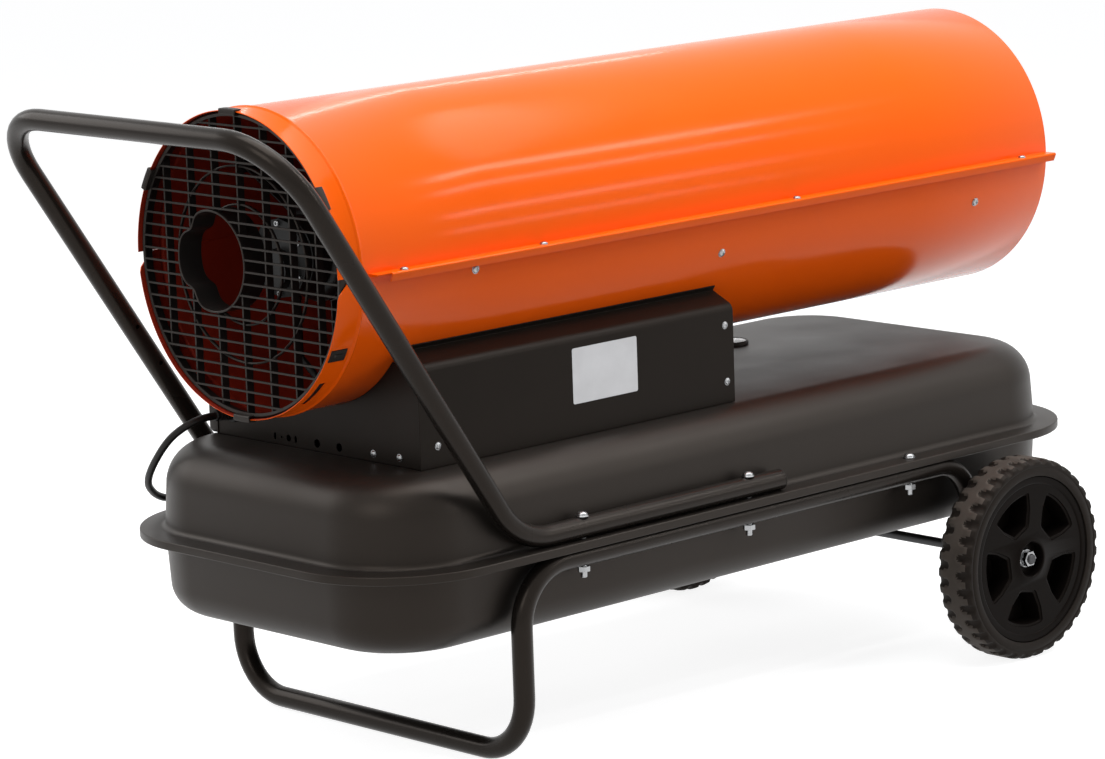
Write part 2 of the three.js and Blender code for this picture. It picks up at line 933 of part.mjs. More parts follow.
function gaugeCase() {
  const base = tankTop + seat;
  return spun(
    "z",
    [
      [tankTop - gaugeBarrelDepth, 0],
      [tankTop - gaugeBarrelDepth, gaugeBarrelRadius],
      [base, gaugeBarrelRadius],
      [base, gaugeRadius],
      [base + gaugeHeight - gaugeEdge, gaugeRadius],
      [base + gaugeHeight, gaugeRadius - gaugeEdge],
      [base + gaugeHeight, gaugeRadius - gaugeBezel],
      [gaugeFloor, gaugeRadius - gaugeBezel],
      [gaugeFloor, needlePinRadius],
      [gaugeFloor + 2 * needleThickness, needlePinRadius],
      [gaugeFloor + 2 * needleThickness, 0],
    ],
    roundSteps,
    gaugePlace,
    gaugeAside,
  );
}

function gaugeNeedle() {
  const low = gaugeFloor + seat;
  const hub = disc("z", needleHubRadius, low, low + needleThickness, smallSteps, gaugePlace, gaugeAside);
  const pointer = prism(
    "z",
    [
      [gaugePlace, gaugeAside - needleWidth / 2],
      [gaugePlace + needleLength, gaugeAside],
      [gaugePlace, gaugeAside + needleWidth / 2],
      [gaugePlace - needleLength / 3, gaugeAside],
    ],
    low,
    low + needleThickness,
  );
  const radius = needlePinRadius + seat;
  const hole = disc("z", radius, low - overrun, low + overrun, smallSteps, gaugePlace, gaugeAside);
  return cut(joined(hub, pointer), hole);
}

function gaugeLens() {
  const top = tankTop + seat + gaugeHeight;
  const radius = gaugeRadius - gaugeBezel - seat;
  return disc("z", radius, top - gaugeLensThickness, top, roundSteps, gaugePlace, gaugeAside);
}

// Handle and frame

const runHeight = tankFlangeThickness / 2 + seat + tubeRadius;
const tubeBore = tubeRadius - tubeWall;

function handle() {
  const half = [
    [runEnd, runHeight],
    [legPlace, runHeight],
    [handleBarPlace, handleBarHeight],
  ];
  const corners = [
    ...half.map(([x, z]) => [x, -tubeAside, z]),
    ...half.reverse().map(([x, z]) => [x, tubeAside, z]),
  ];
  const line = new BentLine(corners, [handleBend], [handleBendSteps]);
  const reach = tubeRadius + overrun;
  const drilled = boltHoles(runHeight - reach, runHeight + reach, boltPlaces.slice(0, 2));
  return cut(tube(line, tubeRadius, tubeSides, tubeBore, tubeBoreSides), drilled);
}

const axleDirection = new THREE.Vector2(axlePlace - rearBendPlace, axleHeight + runHeight).normalize();

function footFrame() {
  const axle = new THREE.Vector2(axlePlace, axleHeight);
  const end = axleDirection.clone().multiplyScalar(tubeRearOverhang).add(axle);
  const half = [
    [end.x, end.y],
    [rearBendPlace, -runHeight],
    [legPlace, -runHeight],
    [legPlace, footBarHeight],
  ];
  const corners = [
    ...half.map(([x, z]) => [x, -tubeAside, z]),
    ...half.reverse().map(([x, z]) => [x, tubeAside, z]),
  ];
  const bends = [rearBend, footBend, footBend, footBend, footBend, rearBend];
  const steps = [rearBendSteps, ...Array(4).fill(footBendSteps), rearBendSteps];
  const line = new BentLine(corners, bends, steps);
  const reach = tubeAside + tubeRadius + overrun;
  const axleHole = disc("y", axleRadius + seat, -reach, reach, axleSides, axlePlace, axleHeight);
  const drilled = boltHoles(-runHeight - tubeRadius - overrun, -runHeight + tubeRadius + overrun);
  return cut(tube(line, tubeRadius, tubeSides, tubeBore, tubeBoreSides), axleHole, drilled);
}

function handleEndPlug(sign) {
  const y = sign * tubeAside;
  const head = runEnd + seat;
  const spigot = tubeBore * Math.cos(Math.PI / tubeBoreSides) - seat;
  return joined(
    spun(
      "x",
      [
        [head, 0],
        [head, tubeRadius],
        [head + plugHeadThickness / 2, tubeRadius],
        [head + plugHeadThickness, tubeRadius - plugHeadThickness / 2],
        [head + plugHeadThickness, 0],
      ],
      tubeSides,
      y,
      runHeight,
    ),
    disc("x", spigot, runEnd - plugSpigot, head + plugHeadThickness / 2, tubeSides, y, runHeight),
  );
}

// Flange bolts: head, washer, shank and nut

function flangeBolt(x, sign) {
  const y = sign * tubeAside;
  const held = boltPlaces.indexOf(x) < 2;
  const top = (held ? runHeight + tubeRadius : tankFlangeThickness / 2) + seat;
  const bottom = -runHeight - tubeRadius - seat;
  const headLow = top + boltWasherThickness;
  return joined(
    disc("z", boltWasherRadius, top, headLow, boltWasherSides, x, y),
    prism("z", polygon(6, boltHeadWidth, x, y), headLow, headLow + boltHeadHeight),
    disc("z", boltRadius, bottom - boltNutHeight - boltTail, headLow, boltSides, x, y),
    prism("z", polygon(6, boltHeadWidth, x, y), bottom - boltNutHeight, bottom),
  );
}

// Wheels

const wheelInner = tubeAside + tubeRadius + wheelGap;
const wheelOuter = wheelInner + wheelWidth;
const hubInner = tubeAside + tubeRadius + seat;

// A wheel piece is drawn with its outer face towards +Y and is mirrored for the near side
const mirrored = (shape, sign) => (sign > 0 ? shape : shape.mirror([0, 1, 0]));

// The tyre is spun from one section, and every other step of each shoulder is drawn in as a tread notch
function wheelTyre(sign) {
  const low = wheelInner;
  const high = wheelOuter;
  const centre = (low + high) / 2;
  const shoulder = wheelRadius - tyreCrown;
  const inner = rimRadius + seat;
  const section = [
    [low, inner],
    [low, shoulder],
    [low + treadNotchLength, wheelRadius],
    [high - treadNotchLength, wheelRadius],
    [high, shoulder],
    [high, inner],
    [centre + tyreBeadWidth / 2, inner],
    [centre, inner - tyreBeadDepth],
    [centre - tyreBeadWidth / 2, inner],
    [low, inner],
  ];
  const points = section.map(([along, radius]) => new THREE.Vector2(radius, along));
  const geometry = new THREE.LatheGeometry(points, tyreSteps);
  const places = geometry.attributes.position;
  const drawnIn = (shoulder - treadNotchDepth) / shoulder;
  for (let step = 0; step <= tyreSteps; step += 1) {
    const corner = step * section.length + (step % 2 === 0 ? 1 : 4);
    places.setX(corner, places.getX(corner) * drawnIn);
    places.setZ(corner, places.getZ(corner) * drawnIn);
  }
  return mirrored(solid(geometry.translate(axlePlace, 0, axleHeight)), sign);
}

function wheelRim(sign) {
  const low = wheelInner + rimSetback;
  const high = wheelOuter - rimSetback;
  const centre = (wheelInner + wheelOuter) / 2;
  const bore = axleRadius + seat;
  const body = spun(
    "y",
    [
      [hubInner, bore],
      [hubInner, hubBossRadius],
      [low, hubBossRadius],
      [low, rimRadius],
      [centre - tyreBeadWidth / 2, rimRadius],
      [centre, rimRadius - tyreBeadDepth],
      [centre + tyreBeadWidth / 2, rimRadius],
      [high, rimRadius],
      [high - rimDish, rimDishRadius],
      [high - rimDish, pocketInner],
      [high, hubRecessRadius + rimDish],
      [high, hubRecessRadius],
      [high - hubRecessDepth, hubRecessRadius],
      [high - hubRecessDepth, bore],
      [hubInner, bore],
    ],
    rimSteps,
    axlePlace,
    axleHeight,
  );
  const reach = THREE.MathUtils.radToDeg(Math.asin(pocketOuterHalf / pocketOuter));
  const outline = [
    [pocketInner, -pocketInnerHalf],
    [pocketWaist, -pocketWaistHalf],
    ...arc(0, 0, pocketOuter, -reach, reach, pocketSteps),
    [pocketWaist, pocketWaistHalf],
    [pocketInner, pocketInnerHalf],
  ];
  const pocket = prism("y", outline, high - pocketDepth, high + overrun);
  const pockets = Array.from({ length: pocketCount }, (_, i) =>
    pocket.rotate([0, pocketFirstTurn + (360 * i) / pocketCount, 0]).translate([axlePlace, 0, axleHeight]),
  );
  return mirrored(cut(body, pockets), sign);
}

function axle() {
  const washer = wheelOuter - rimSetback - hubRecessDepth + seat;
  const reach = washer + nutWasherThickness + nutHeight + axleThreadProud;
  return disc("y", axleRadius, -reach, reach, axleSides, axlePlace, axleHeight);
}

function axleNut(sign) {
  const low = wheelOuter - rimSetback - hubRecessDepth + seat;
  const high = low + nutWasherThickness + nutHeight;
  const washer = disc("y", nutWasherRadius, low, low + nutWasherThickness, smallSteps, axlePlace, axleHeight);
  const hex = prism("y", polygon(6, nutWidth, axlePlace, axleHeight), low + nutWasherThickness / 2, high);
  const bore = disc("y", axleRadius + seat, low - overrun, high + overrun, axleSides, axlePlace, axleHeight);
  return mirrored(cut(joined(washer, hex), bore), sign);
}

// Control box: a saddle of bent sheet, a cover on the near side and a cover with the console on the far side

const boxFloor = tankTop + seat;
const boxEnd = boxStart + boxLength;
const casingOutside = casingRadius + seat;
const ledgeInner = boxHalfWidth - boxLedge;
const ledgeTop = casingHeight - Math.sqrt(casingOutside ** 2 - ledgeInner ** 2);
const boxSideTop = ledgeTop - boxLedgeRise;

// The cover's line across the machine, moved inwards by an inset: side, rounded bend and rising ledge
function coverLine(inset) {
  const bendY = boxHalfWidth - boxTopBend;
  const bendZ = boxSideTop - boxTopBend;
  const bend = arc(bendY, bendZ, boxTopBend - inset, 0, boxBendTurn, boxBendSteps);
  return [[boxHalfWidth - inset, boxFloor], ...bend];
}

function sideCover(sign) {
  const up = [(casingHeight - ledgeTop) / casingOutside, ledgeInner / casingOutside];
  const away = [up[1], -up[0]];
  const at = (along, off) => [
    ledgeInner + up[0] * along + away[0] * off,
    ledgeTop + up[1] * along + away[1] * off,
  ];
  const lip = [at(boxWall, boxWall), at(boxLip, boxWall), at(boxLip, 0), at(0, 0)];
  const outline = [...coverLine(0), ...lip, ...coverLine(boxWall).reverse()];
  return prism("x", outline.map(([y, z]) => [sign * y, z]), boxStart - boxWall, boxEnd + boxWall);
}

function saddlePlateOutline() {
  const inset = boxWall + seat;
  const far = coverLine(inset);
  const rise = far[far.length - 1][1];
  const angle = THREE.MathUtils.radToDeg(Math.asin((casingHeight - rise) / casingOutside));
  const step = (180 - 2 * angle) / saddleCutSteps;
  const hollow = arc(0, casingHeight, outsideOf(casingOutside, step), -angle, angle - 180, saddleCutSteps);
  return [...far, ...hollow, ...far.map(([y, z]) => [-y, z]).reverse()];
}

function saddleBase() {
  const outline = saddlePlateOutline();
  const start = boxStart;
  const low = boxFloor;
  const row = low + plateHoleRow;
  const plates = [
    prism("x", outline, start, start + boxWall),
    prism("x", outline, boxEnd - boxWall, boxEnd),
  ];
  const side = boxHalfWidth - boxWall - seat;
  const floor = block(start, boxEnd, -side, side, low, low + boxWall);
  const cutters = [
    ...plateHoleAsides.map((aside) =>
      disc("x", plateHoleRadius, start - overrun, start + boxWall + overrun, plateHoleSteps, aside, row),
    ),
    disc(
      "x",
      plateSmallHoleRadius,
      start - overrun,
      start + boxWall + overrun,
      plateHoleSteps,
      plateSmallHoleAside,
      row,
    ),
    ...plateSlotAsides.map((aside) =>
      block(
        start - overrun,
        start + boxWall + overrun,
        aside - plateSlotWidth / 2,
        aside + plateSlotWidth / 2,
        row - plateSlotHeight / 2,
        row + plateSlotHeight / 2,
      ),
    ),
    disc(
      "x",
      glandNeck + seat,
      start - overrun,
      start + boxWall + overrun,
      smallSteps,
      glandPlace,
      low + glandHeight,
    ),
    disc(
      "z",
      pickupFlangeRadius + seat,
      low - overrun,
      low + boxWall + overrun,
      smallSteps,
      pickupPlace,
      pickupAside,
    ),
  ];
  return cut(joined(plates, floor), cutters);
}

// Console on the far side cover, with the thermostat knob and the power switch

const consoleLow = boxStart + consoleStart;
const consoleFace = boxHalfWidth + seat + consoleDepth;
const consoleFloor = boxFloor + consoleRise;
const knobX = consoleLow + knobPlace;
const knobZ = consoleFloor + knobHeight;
const switchX = consoleLow + switchPlace;
const switchZ = consoleFloor + switchHeight;

function farCover() {
  const radius = thermostatRadius + seat;
  const inside = boxHalfWidth - overrun;
  const hole = disc("y", radius, inside, boxHalfWidth + overrun, smallSteps, knobX, knobZ);
  const opening = block(
    switchX - switchWidth / 2 - switchFrame,
    switchX + switchWidth / 2 + switchFrame,
    boxHalfWidth - overrun,
    boxHalfWidth + overrun,
    switchZ - switchLength / 2 - switchFrame,
    switchZ + switchLength / 2 + switchFrame,
  );
  return cut(sideCover(1), hole, opening);
}

function consoleHousing() {
  const rect = (inset) => {
    const x0 = consoleLow + inset;
    const x1 = consoleLow + consoleLength - inset;
    const z0 = consoleFloor + inset;
    const z1 = consoleFloor + consoleHeight - inset;
    return [[x0, z0], [x1, z0], [x1, z1], [x0, z1]];
  };
  const back = boxHalfWidth + seat;
  const ringAt = (inset, y) => rect(inset).map(([x, z]) => [x, y, z]);
  const flatten = ([x, , z]) => new THREE.Vector2(x, z);
  const shoulder = ringAt(0, consoleFace - consoleTaper);
  const outside = loft([ringAt(0, back), shoulder, ringAt(consoleTaper, consoleFace)], flatten);
  const hollow = loft(
    [ringAt(consoleWall, back - overrun), ringAt(consoleWall + consoleTaper / 2, consoleFace - consoleWall)],
    flatten,
  );
  const shaftHole = disc("y", knobShaftRadius + seat, back, consoleFace + overrun, smallSteps, knobX, knobZ);
  const window = block(
    switchX - switchWidth / 2,
    switchX + switchWidth / 2,
    back,
    consoleFace + overrun,
    switchZ - switchLength / 2,
    switchZ + switchLength / 2,
  );
  return cut(outside, hollow, shaftHole, window);
}

function thermostatBody() {
  const front = consoleFace - consoleWall - seat;
  return disc("y", thermostatRadius, front - thermostatLength, front, smallSteps, knobX, knobZ);
}

function thermostatKnob() {
  const back = consoleFace + seat;
  const skirt = spun(
    "y",
    [
      [consoleFace - consoleWall, 0],
      [consoleFace - consoleWall, knobShaftRadius],
      [back, knobShaftRadius],
      [back, knobRadius],
      [back + knobDepth / 3, knobRadius],
      [back + knobDepth / 3, 0],
    ],
    roundSteps,
    knobX,
    knobZ,
  );
  const outline = Array.from({ length: 2 * knobFlutes }, (_, i) => {
    const angle = (Math.PI * i) / knobFlutes;
    const radius = knobRadius - (i % 2 === 0 ? knobFluteDepth : 2 * knobFluteDepth);
    return [knobX + radius * Math.cos(angle), knobZ + radius * Math.sin(angle)];
  });
  return joined(skirt, prism("y", outline, back + knobDepth / 4, back + knobDepth));
}

// The switch body holds the rocker between two cheeks; the rocker turns about X
const switchBack = consoleFace - switchBodyDepth;
const rockerPivot = consoleFace - rockerDepth / 3;

function switchBody() {
  const w = switchWidth / 2 - seat;
  const l = switchLength / 2 - seat;
  const outer = block(
    switchX - w,
    switchX + w,
    switchBack,
    consoleFace + switchWall / 2,
    switchZ - l,
    switchZ + l,
  );
  const flange = block(
    switchX - w - switchWall,
    switchX + w + switchWall,
    consoleFace + seat,
    consoleFace + seat + switchWall / 2,
    switchZ - l - switchWall,
    switchZ + l + switchWall,
  );
  const well = block(
    switchX - w + switchWall,
    switchX + w - switchWall,
    consoleFace - rockerDepth - switchWall,
    consoleFace + overrun,
    switchZ - l + switchWall,
    switchZ + l - switchWall,
  );
  return cut(joined(outer, flange), well);
}

function rocker() {
  const w = switchWidth / 2 - seat - switchWall - rockerGap;
  const l = switchLength / 2 - seat - switchWall - rockerGap;
  const outline = [
    [rockerPivot - rockerDepth / 2, 0],
    [rockerPivot, -l],
    [rockerPivot + rockerTipRise, -l],
    [rockerPivot + rockerMiddleRise, 0],
    [rockerPivot + rockerTipRise, l],
    [rockerPivot, l],
  ];
  const body = prism("x", outline, switchX - w, switchX + w);
  const tilted = body.translate([0, -rockerPivot, 0]).rotate([-switchTravel / 2, 0, 0]);
  return tilted.translate([0, rockerPivot, switchZ]);
}

// Inside the control box

function ignitionTransformer() {
  const low = boxFloor + boxWall + seat;
  const x0 = transformerPlace;
  const x1 = x0 + transformerLength;
  const half = transformerWidth / 2;
  const y = transformerAside;
  const body = block(x0, x1, y - half, y + half, low, low + transformerHeight);
  const reach = transformerFoot;
  const foot = block(x0 - reach, x1 + reach, y - half / 2, y + half / 2, low, low + boxWall * 2);
  const terminals = [-1, 1].map((side) =>
    disc(
      "z",
      transformerTerminalRadius,
      low,
      low + transformerHeight + transformerTerminalHeight,
      8,
      (x0 + x1) / 2 + (side * transformerLength) / 4,
      y,
    ),
  );
  return joined(body, foot, terminals);
}

function controlBoard() {
  const low = boxFloor + boxWall + seat;
  const level = low + boardStandoff;
  const x0 = boardPlace;
  const y0 = boardAside - boardWidth / 2;
  const board = block(x0, x0 + boardLength, y0, y0 + boardWidth, level, level + boardThickness);
  const posts = [x0 + boardPostInset, x0 + boardLength - boardPostInset].flatMap((x) =>
    [y0 + boardPostInset, y0 + boardWidth - boardPostInset].map((y) =>
      disc("z", boardStandoff / 2, low, level + boardThickness / 2, boardPostSides, x, y),
    ),
  );
  const relays = relayPlaces.map((place) => {
    const x = x0 + place;
    const y = boardAside - relayWidth / 2;
    return block(x, x + relayLength, y, y + relayWidth, level, level + boardThickness + relayHeight);
  });
  return joined(board, posts, relays);
}

const pickupFlangeTop = tankTop + seat + pickupFlangeThickness;
const filterTop = pickupFlangeTop + 2 * filterNeck + filterHeight;

function fuelFilter() {
  const shoulder = pickupFlangeTop + filterNeck;
  return spun(
    "z",
    [
      [-tankBottom + tankWall + pickupClearance, 0],
      [-tankBottom + tankWall + pickupClearance, pickupRadius],
      [tankTop - 2 * tankWall, pickupRadius],
      [tankTop - 2 * tankWall, pickupHoleRadius - seat],
      [tankTop + seat, pickupHoleRadius - seat],
      [tankTop + seat, pickupFlangeRadius],
      [pickupFlangeTop, pickupFlangeRadius],
      [pickupFlangeTop, filterNeckRadius],
      [shoulder, filterNeckRadius],
      [shoulder, filterRadius],
      [shoulder + filterHeight, filterRadius],
      [shoulder + filterHeight, filterNeckRadius],
      [filterTop, filterNeckRadius],
      [filterTop, 0],
    ],
    smallSteps,
    pickupPlace,
    pickupAside,
  );
}

// Motor, fan and pump, all on the casing's axis

function motorBody() {
  const end = motorPlace + motorLength;
  const body = spun(
    "x",
    [
      [motorPlace, shaftRadius + seat],
      [motorPlace, motorBellRadius],
      [motorPlace + motorBellLength, motorRadius],
      [end - motorBellLength, motorRadius],
      [end, motorBellRadius],
      [end, shaftRadius + seat],
      [motorPlace, shaftRadius + seat],
    ],
    roundSteps,
    0,
    casingHeight,
  );
  const grooves = Array.from({ length: motorFins }, (_, i) =>
    turnedX(
      block(
        bracketPlace + bracketLength + motorFinDepth,
        end - motorBellLength,
        motorRadius - motorFinDepth,
        motorRadius + overrun,
        casingHeight - motorFinDepth / 2,
        casingHeight + motorFinDepth / 2,
      ),
      (360 * i) / motorFins,
      casingHeight,
    ),
  );
  return cut(body, grooves);
}

function motorShaft() {
  return disc("x", shaftRadius, shaftStart, shaftEnd, shaftSides, 0, casingHeight);
}

function fanBlade() {
  const rings = Array.from({ length: bladeSections }, (_, i) => {
    const share = i / (bladeSections - 1);
    const radius = THREE.MathUtils.lerp(fanHubRadius - bladeCamber, fanRadius, share);
    const chord = THREE.MathUtils.lerp(bladeRootChord, bladeTipChord, Math.sqrt(share));
    const pitch = THREE.MathUtils.degToRad(THREE.MathUtils.lerp(bladeRootAngle, bladeTipAngle, share));
    const point = (along, face) => {
      const rise = bladeCamber * (1 - 4 * along * along) + (face * bladeThickness) / 2;
      const tangential = along * chord * Math.cos(pitch) - rise * Math.sin(pitch);
      const axial = along * chord * Math.sin(pitch) + rise * Math.cos(pitch);
      const angle = tangential / radius;
      return [fanPlace + axial, radius * Math.sin(angle), casingHeight + radius * Math.cos(angle)];
    };
    const places = Array.from({ length: bladeChordSteps + 1 }, (_, k) => k / bladeChordSteps - 1 / 2);
    return [...places.map((along) => point(along, -1)), ...places.reverse().map((along) => point(along, 1))];
  });
  return loft(rings, ([x, y]) => new THREE.Vector2(y, x));
}

function fan() {
  const from = fanPlace - fanHubLength / 2;
  const to = fanPlace + fanHubLength / 2;
  const hub = spun(
    "x",
    [
      [from, shaftRadius + seat],
      [from, fanHubRadius],
      [to - bladeCamber, fanHubRadius],
      [to, fanHubRadius - bladeCamber],
      [to, shaftRadius + seat],
      [from, shaftRadius + seat],
    ],
    roundSteps,
    0,
    casingHeight,
  );
  const blade = fanBlade();
  const blades = Array.from({ length: fanBlades }, (_, i) =>
    turnedX(blade, (360 * i) / fanBlades, casingHeight),
  );
  const clear = disc("x", shaftRadius + seat, from - overrun, to + overrun, roundSteps, 0, casingHeight);
  return cut(joined(hub, blades), clear);
}

function motorBracket() {
  const from = bracketPlace;
  const to = bracketPlace + bracketLength;
  const inner = motorRadius + seat;
  const outer = casingInside;
  const legHalf = THREE.MathUtils.radToDeg(bracketWall / 2 / inner);
  const footHalf = THREE.MathUtils.radToDeg(bracketFoot / 2 / outer);
  const clamp = pipe("x", inner + bracketWall, inner, from, to, roundSteps, 0, casingHeight);
  const legs = Array.from({ length: bracketLegs }, (_, i) => {
    const angle = bracketFirstLeg + (360 / bracketLegs) * i;
    const half = bracketWall / 2;
    const leg = turnedX(
      block(from, to, inner + half, outer - half, casingHeight - half, casingHeight + half),
      angle,
      casingHeight,
    );
    const begin = angle - footHalf;
    const finish = angle + footHalf;
    const foot = sector(outer - bracketWall, outer, begin, finish, footSteps, from, to, casingHeight);
    return joined(leg, foot);
  });
  return joined(clamp, legs);
}

function pumpBody() {
  const end = pumpPlace + pumpLength;
  const shell = disc("x", pumpRadius, pumpPlace, end, roundSteps, 0, casingHeight);
  const well = disc(
    "x",
    rotorRadius + pumpOffset + pumpChamberGap,
    pumpPlace - overrun,
    end - pumpWall,
    roundSteps,
    pumpOffset,
    casingHeight,
  );
  const bore = disc("x", shaftRadius + seat, pumpPlace, end + overrun, shaftSides, 0, casingHeight);
  return cut(shell, well, bore);
}

function pumpRotor() {
  const from = pumpPlace + seat;
  const to = pumpPlace + pumpLength - pumpWall - seat;
  const body = pipe("x", rotorRadius, shaftRadius + seat, from, to, roundSteps, 0, casingHeight);
  const slots = Array.from({ length: 4 }, (_, i) =>
    turnedX(
      block(
        from - overrun,
        to + overrun,
        rotorRadius / 2,
        rotorRadius + overrun,
        casingHeight - pumpOffset / 2,
        casingHeight + pumpOffset / 2,
      ),
      90 * i,
      casingHeight,
    ),
  );
  return cut(body, slots);
}

function pumpCover() {
  const end = pumpPlace - seat;
  const from = end - pumpCoverThickness;
  const plate = disc("x", pumpRadius, from, end, roundSteps, 0, casingHeight);
  const low = casingHeight - pumpCapRadius / 2;
  const cap = disc("x", pumpCapRadius, from - pumpCapHeight, from + pumpCapSink, smallSteps, 0, low);
  const recess = disc("x", shaftRadius + seat, shaftStart - seat, end + overrun, shaftSides, 0, casingHeight);
  return cut(joined(plate, cap), recess);
}

// Combustion chamber, its rear head, flame target and saddles

const chamberEnd = chamberPlace + chamberLength;

function combustionChamber() {
  const w = chamberWall;
  const drum = spun(
    "x",
    [
      [chamberPlace, chamberRadius - w],
      [chamberPlace, chamberRadius],
      [chamberEnd, chamberRadius],
      [chamberEnd + noseLength, noseRadius],
      [chamberEnd + noseLength + noseLip, noseRadius],
      [chamberEnd + noseLength + noseLip, noseRadius - w],
      [chamberEnd + noseLength, noseRadius - w],
      [chamberEnd, chamberRadius - w],
      [chamberPlace, chamberRadius - w],
    ],
    chamberSteps,
    0,
    casingHeight,
  );
  const holes = Array.from({ length: airHoles }, (_, i) => {
    const hole = disc(
      "y",
      airHoleRadius,
      chamberRadius - w - overrun,
      chamberRadius + overrun,
      6,
      chamberPlace + airHolePlace,
      casingHeight,
    );
    return turnedX(hole, (360 / airHoles) * (i + 1 / 2), casingHeight);
  });
  return cut(drum, holes);
}

function rearHead() {
  const w = chamberWall;
  const collar = chamberRadius + seat;
  const back = chamberPlace - seat - w;
  const cup = spun(
    "x",
    [
      [back, headHoleRadius],
      [back, collar + w],
      [chamberPlace + headCollar, collar + w],
      [chamberPlace + headCollar, collar],
      [back + w, collar],
      [back + w, headHoleRadius],
      [back, headHoleRadius],
    ],
    chamberSteps,
    0,
    casingHeight,
  );
  const slots = Array.from({ length: swirlSlots }, (_, i) =>
    turnedX(
      block(
        back - overrun,
        back + w + overrun,
        swirlInner,
        swirlOuter,
        casingHeight - swirlWidth / 2,
        casingHeight + swirlWidth / 2,
      ),
      (360 / swirlSlots) * i,
      casingHeight,
    ),
  );
  return cut(cup, slots);
}

function flameTarget() {
  const place = chamberPlace + targetPlace;
  const t = targetThickness;
  const dish = spun(
    "x",
    [
      [place, 0],
      [place - targetDish, targetRadius],
      [place - targetDish + t, targetRadius],
      [place + t, 0],
    ],
    roundSteps,
    0,
    casingHeight,
  );
  const reach = insideOf(chamberRadius - chamberWall, 360 / chamberSteps) - seat;
  const from = place - targetDish;
  const arms = Array.from({ length: targetArms }, (_, i) => {
    const angle = 90 + (360 / targetArms) * i;
    const arm = turnedX(
      block(
        from,
        from + t,
        targetRadius - t,
        reach - t / 2,
        casingHeight - targetArmWidth / 2,
        casingHeight + targetArmWidth / 2,
      ),
      angle,
      casingHeight,
    );
    const half = THREE.MathUtils.radToDeg(targetArmWidth / 2 / reach);
    const back = from + targetArmWidth;
    const foot = sector(reach - t, reach, angle - half, angle + half, footSteps, from, back, casingHeight);
    return joined(arm, foot);
  });
  return joined(dish, arms);
}

function chamberSaddle(place) {
  const from = chamberPlace + place;
  const to = from + saddleWidth;
  const inner = outsideOf(chamberRadius + seat, (2 * saddleHalfAngle) / saddleSteps);
  const outer = casingInside;
  const cradle = sector(
    inner,
    inner + saddleWall,
    270 - saddleHalfAngle,
    270 + saddleHalfAngle,
    saddleSteps,
    from,
    to,
    casingHeight,
  );
  const footHalf = THREE.MathUtils.radToDeg(saddleFoot / 2 / outer);
  const legs = [-1, 1].map((side) => {
    const angle = 270 + side * (saddleHalfAngle - footHalf / 2);
    const half = saddleWall / 2;
    const leg = turnedX(
      block(from, to, inner + half, outer - half, casingHeight - half, casingHeight + half),
      angle,
      casingHeight,
    );
    const begin = angle - footHalf;
    const finish = angle + footHalf;
    const foot = sector(outer - saddleWall, outer, begin, finish, footSteps, from, to, casingHeight);
    return joined(leg, foot);
  });
  return joined(cradle, legs);
}

// Burner: a flanged barrel in the rear head, with nozzle, two electrodes and the flame sensor

const headBack = chamberPlace - seat - chamberWall;
const burnerBack = headBack - seat - burnerFlange;
const sensorRise = burnerBarrelRadius + cellCollar + cellRadius + cellGap;

function burnerBarrel() {
  const body = spun(
    "x",
    [
      [burnerBack - burnerBarrelLength, burnerBoreRadius],
      [burnerBack - burnerBarrelLength, burnerBarrelRadius],
      [burnerBack, burnerBarrelRadius],
      [burnerBack, burnerRadius],
      [burnerBack + burnerFlange, burnerRadius],
      [burnerBack + burnerFlange, burnerBoreRadius],
      [burnerBack - burnerBarrelLength, burnerBoreRadius],
    ],
    roundSteps,
    0,
    casingHeight,
  );
  const holes = sides.map(({ sign }) =>
    disc(
      "x",
      electrodeRadius + seat,
      burnerBack - burnerBarrelLength - overrun,
      burnerBack + burnerFlange + overrun,
      8,
      sign * electrodeAside,
      casingHeight + electrodeAside / 2,
    ),
  );
  const sensorHole = disc(
    "x",
    cellRadius + seat,
    burnerBack - overrun,
    burnerBack + burnerFlange + overrun,
    8,
    0,
    casingHeight + sensorRise,
  );
  return cut(body, holes, sensorHole);
}

function burnerNozzle() {
  const front = chamberPlace + nozzleReach;
  const radius = burnerBoreRadius - seat;
  const back = burnerBack - nozzleBack;
  return spun(
    "x",
    [
      [back, 0],
      [back, radius],
      [front - nozzleTipRadius, radius],
      [front, nozzleTipRadius],
      [front, 0],
    ],
    smallSteps,
    0,
    casingHeight,
  );
}

function sparkElectrodes() {
  const z = casingHeight + electrodeAside / 2;
  const barrelBack = burnerBack - burnerBarrelLength;
  const back = barrelBack - electrodeBack;
  const front = chamberPlace + electrodeReach;
  const rods = sides.map(({ sign }) => {
    const y = sign * electrodeAside;
    const rod = disc("x", electrodeRadius, back, front, 8, y, z);
    const line = new BentLine(
      [
        [front - electrodeTipLength, y, z],
        [front + electrodeTipLength, y, z],
        [front + electrodeTipLength + electrodeTipRadius, y - sign * electrodeTipLength, z],
      ],
      [electrodeTipRadius * 2],
      [2],
    );
    return joined(rod, tube(line, electrodeTipRadius, 6));
  });
  const clampEnd = barrelBack - seat;
  const clamp = block(
    clampEnd - electrodeClampLength,
    clampEnd,
    -electrodeAside,
    electrodeAside,
    z + burnerBoreRadius - electrodeRadius,
    z + burnerBoreRadius,
  );
  const ears = sides.map(({ sign }) =>
    block(
      clampEnd - electrodeClampLength,
      clampEnd,
      sign * electrodeAside - electrodeRadius,
      sign * electrodeAside + electrodeRadius,
      z,
      z + burnerBoreRadius,
    ),
  );
  return joined(rods, clamp, ears);
}

function flameSensor() {
  const z = casingHeight + sensorRise;
  return joined(
    disc("x", cellRadius, burnerBack - cellLength, burnerBack + burnerFlange, 8, 0, z),
    disc("x", cellRadius + cellCollar, burnerBack - cellLength / 2, burnerBack - seat, 8, 0, z),
  );
}

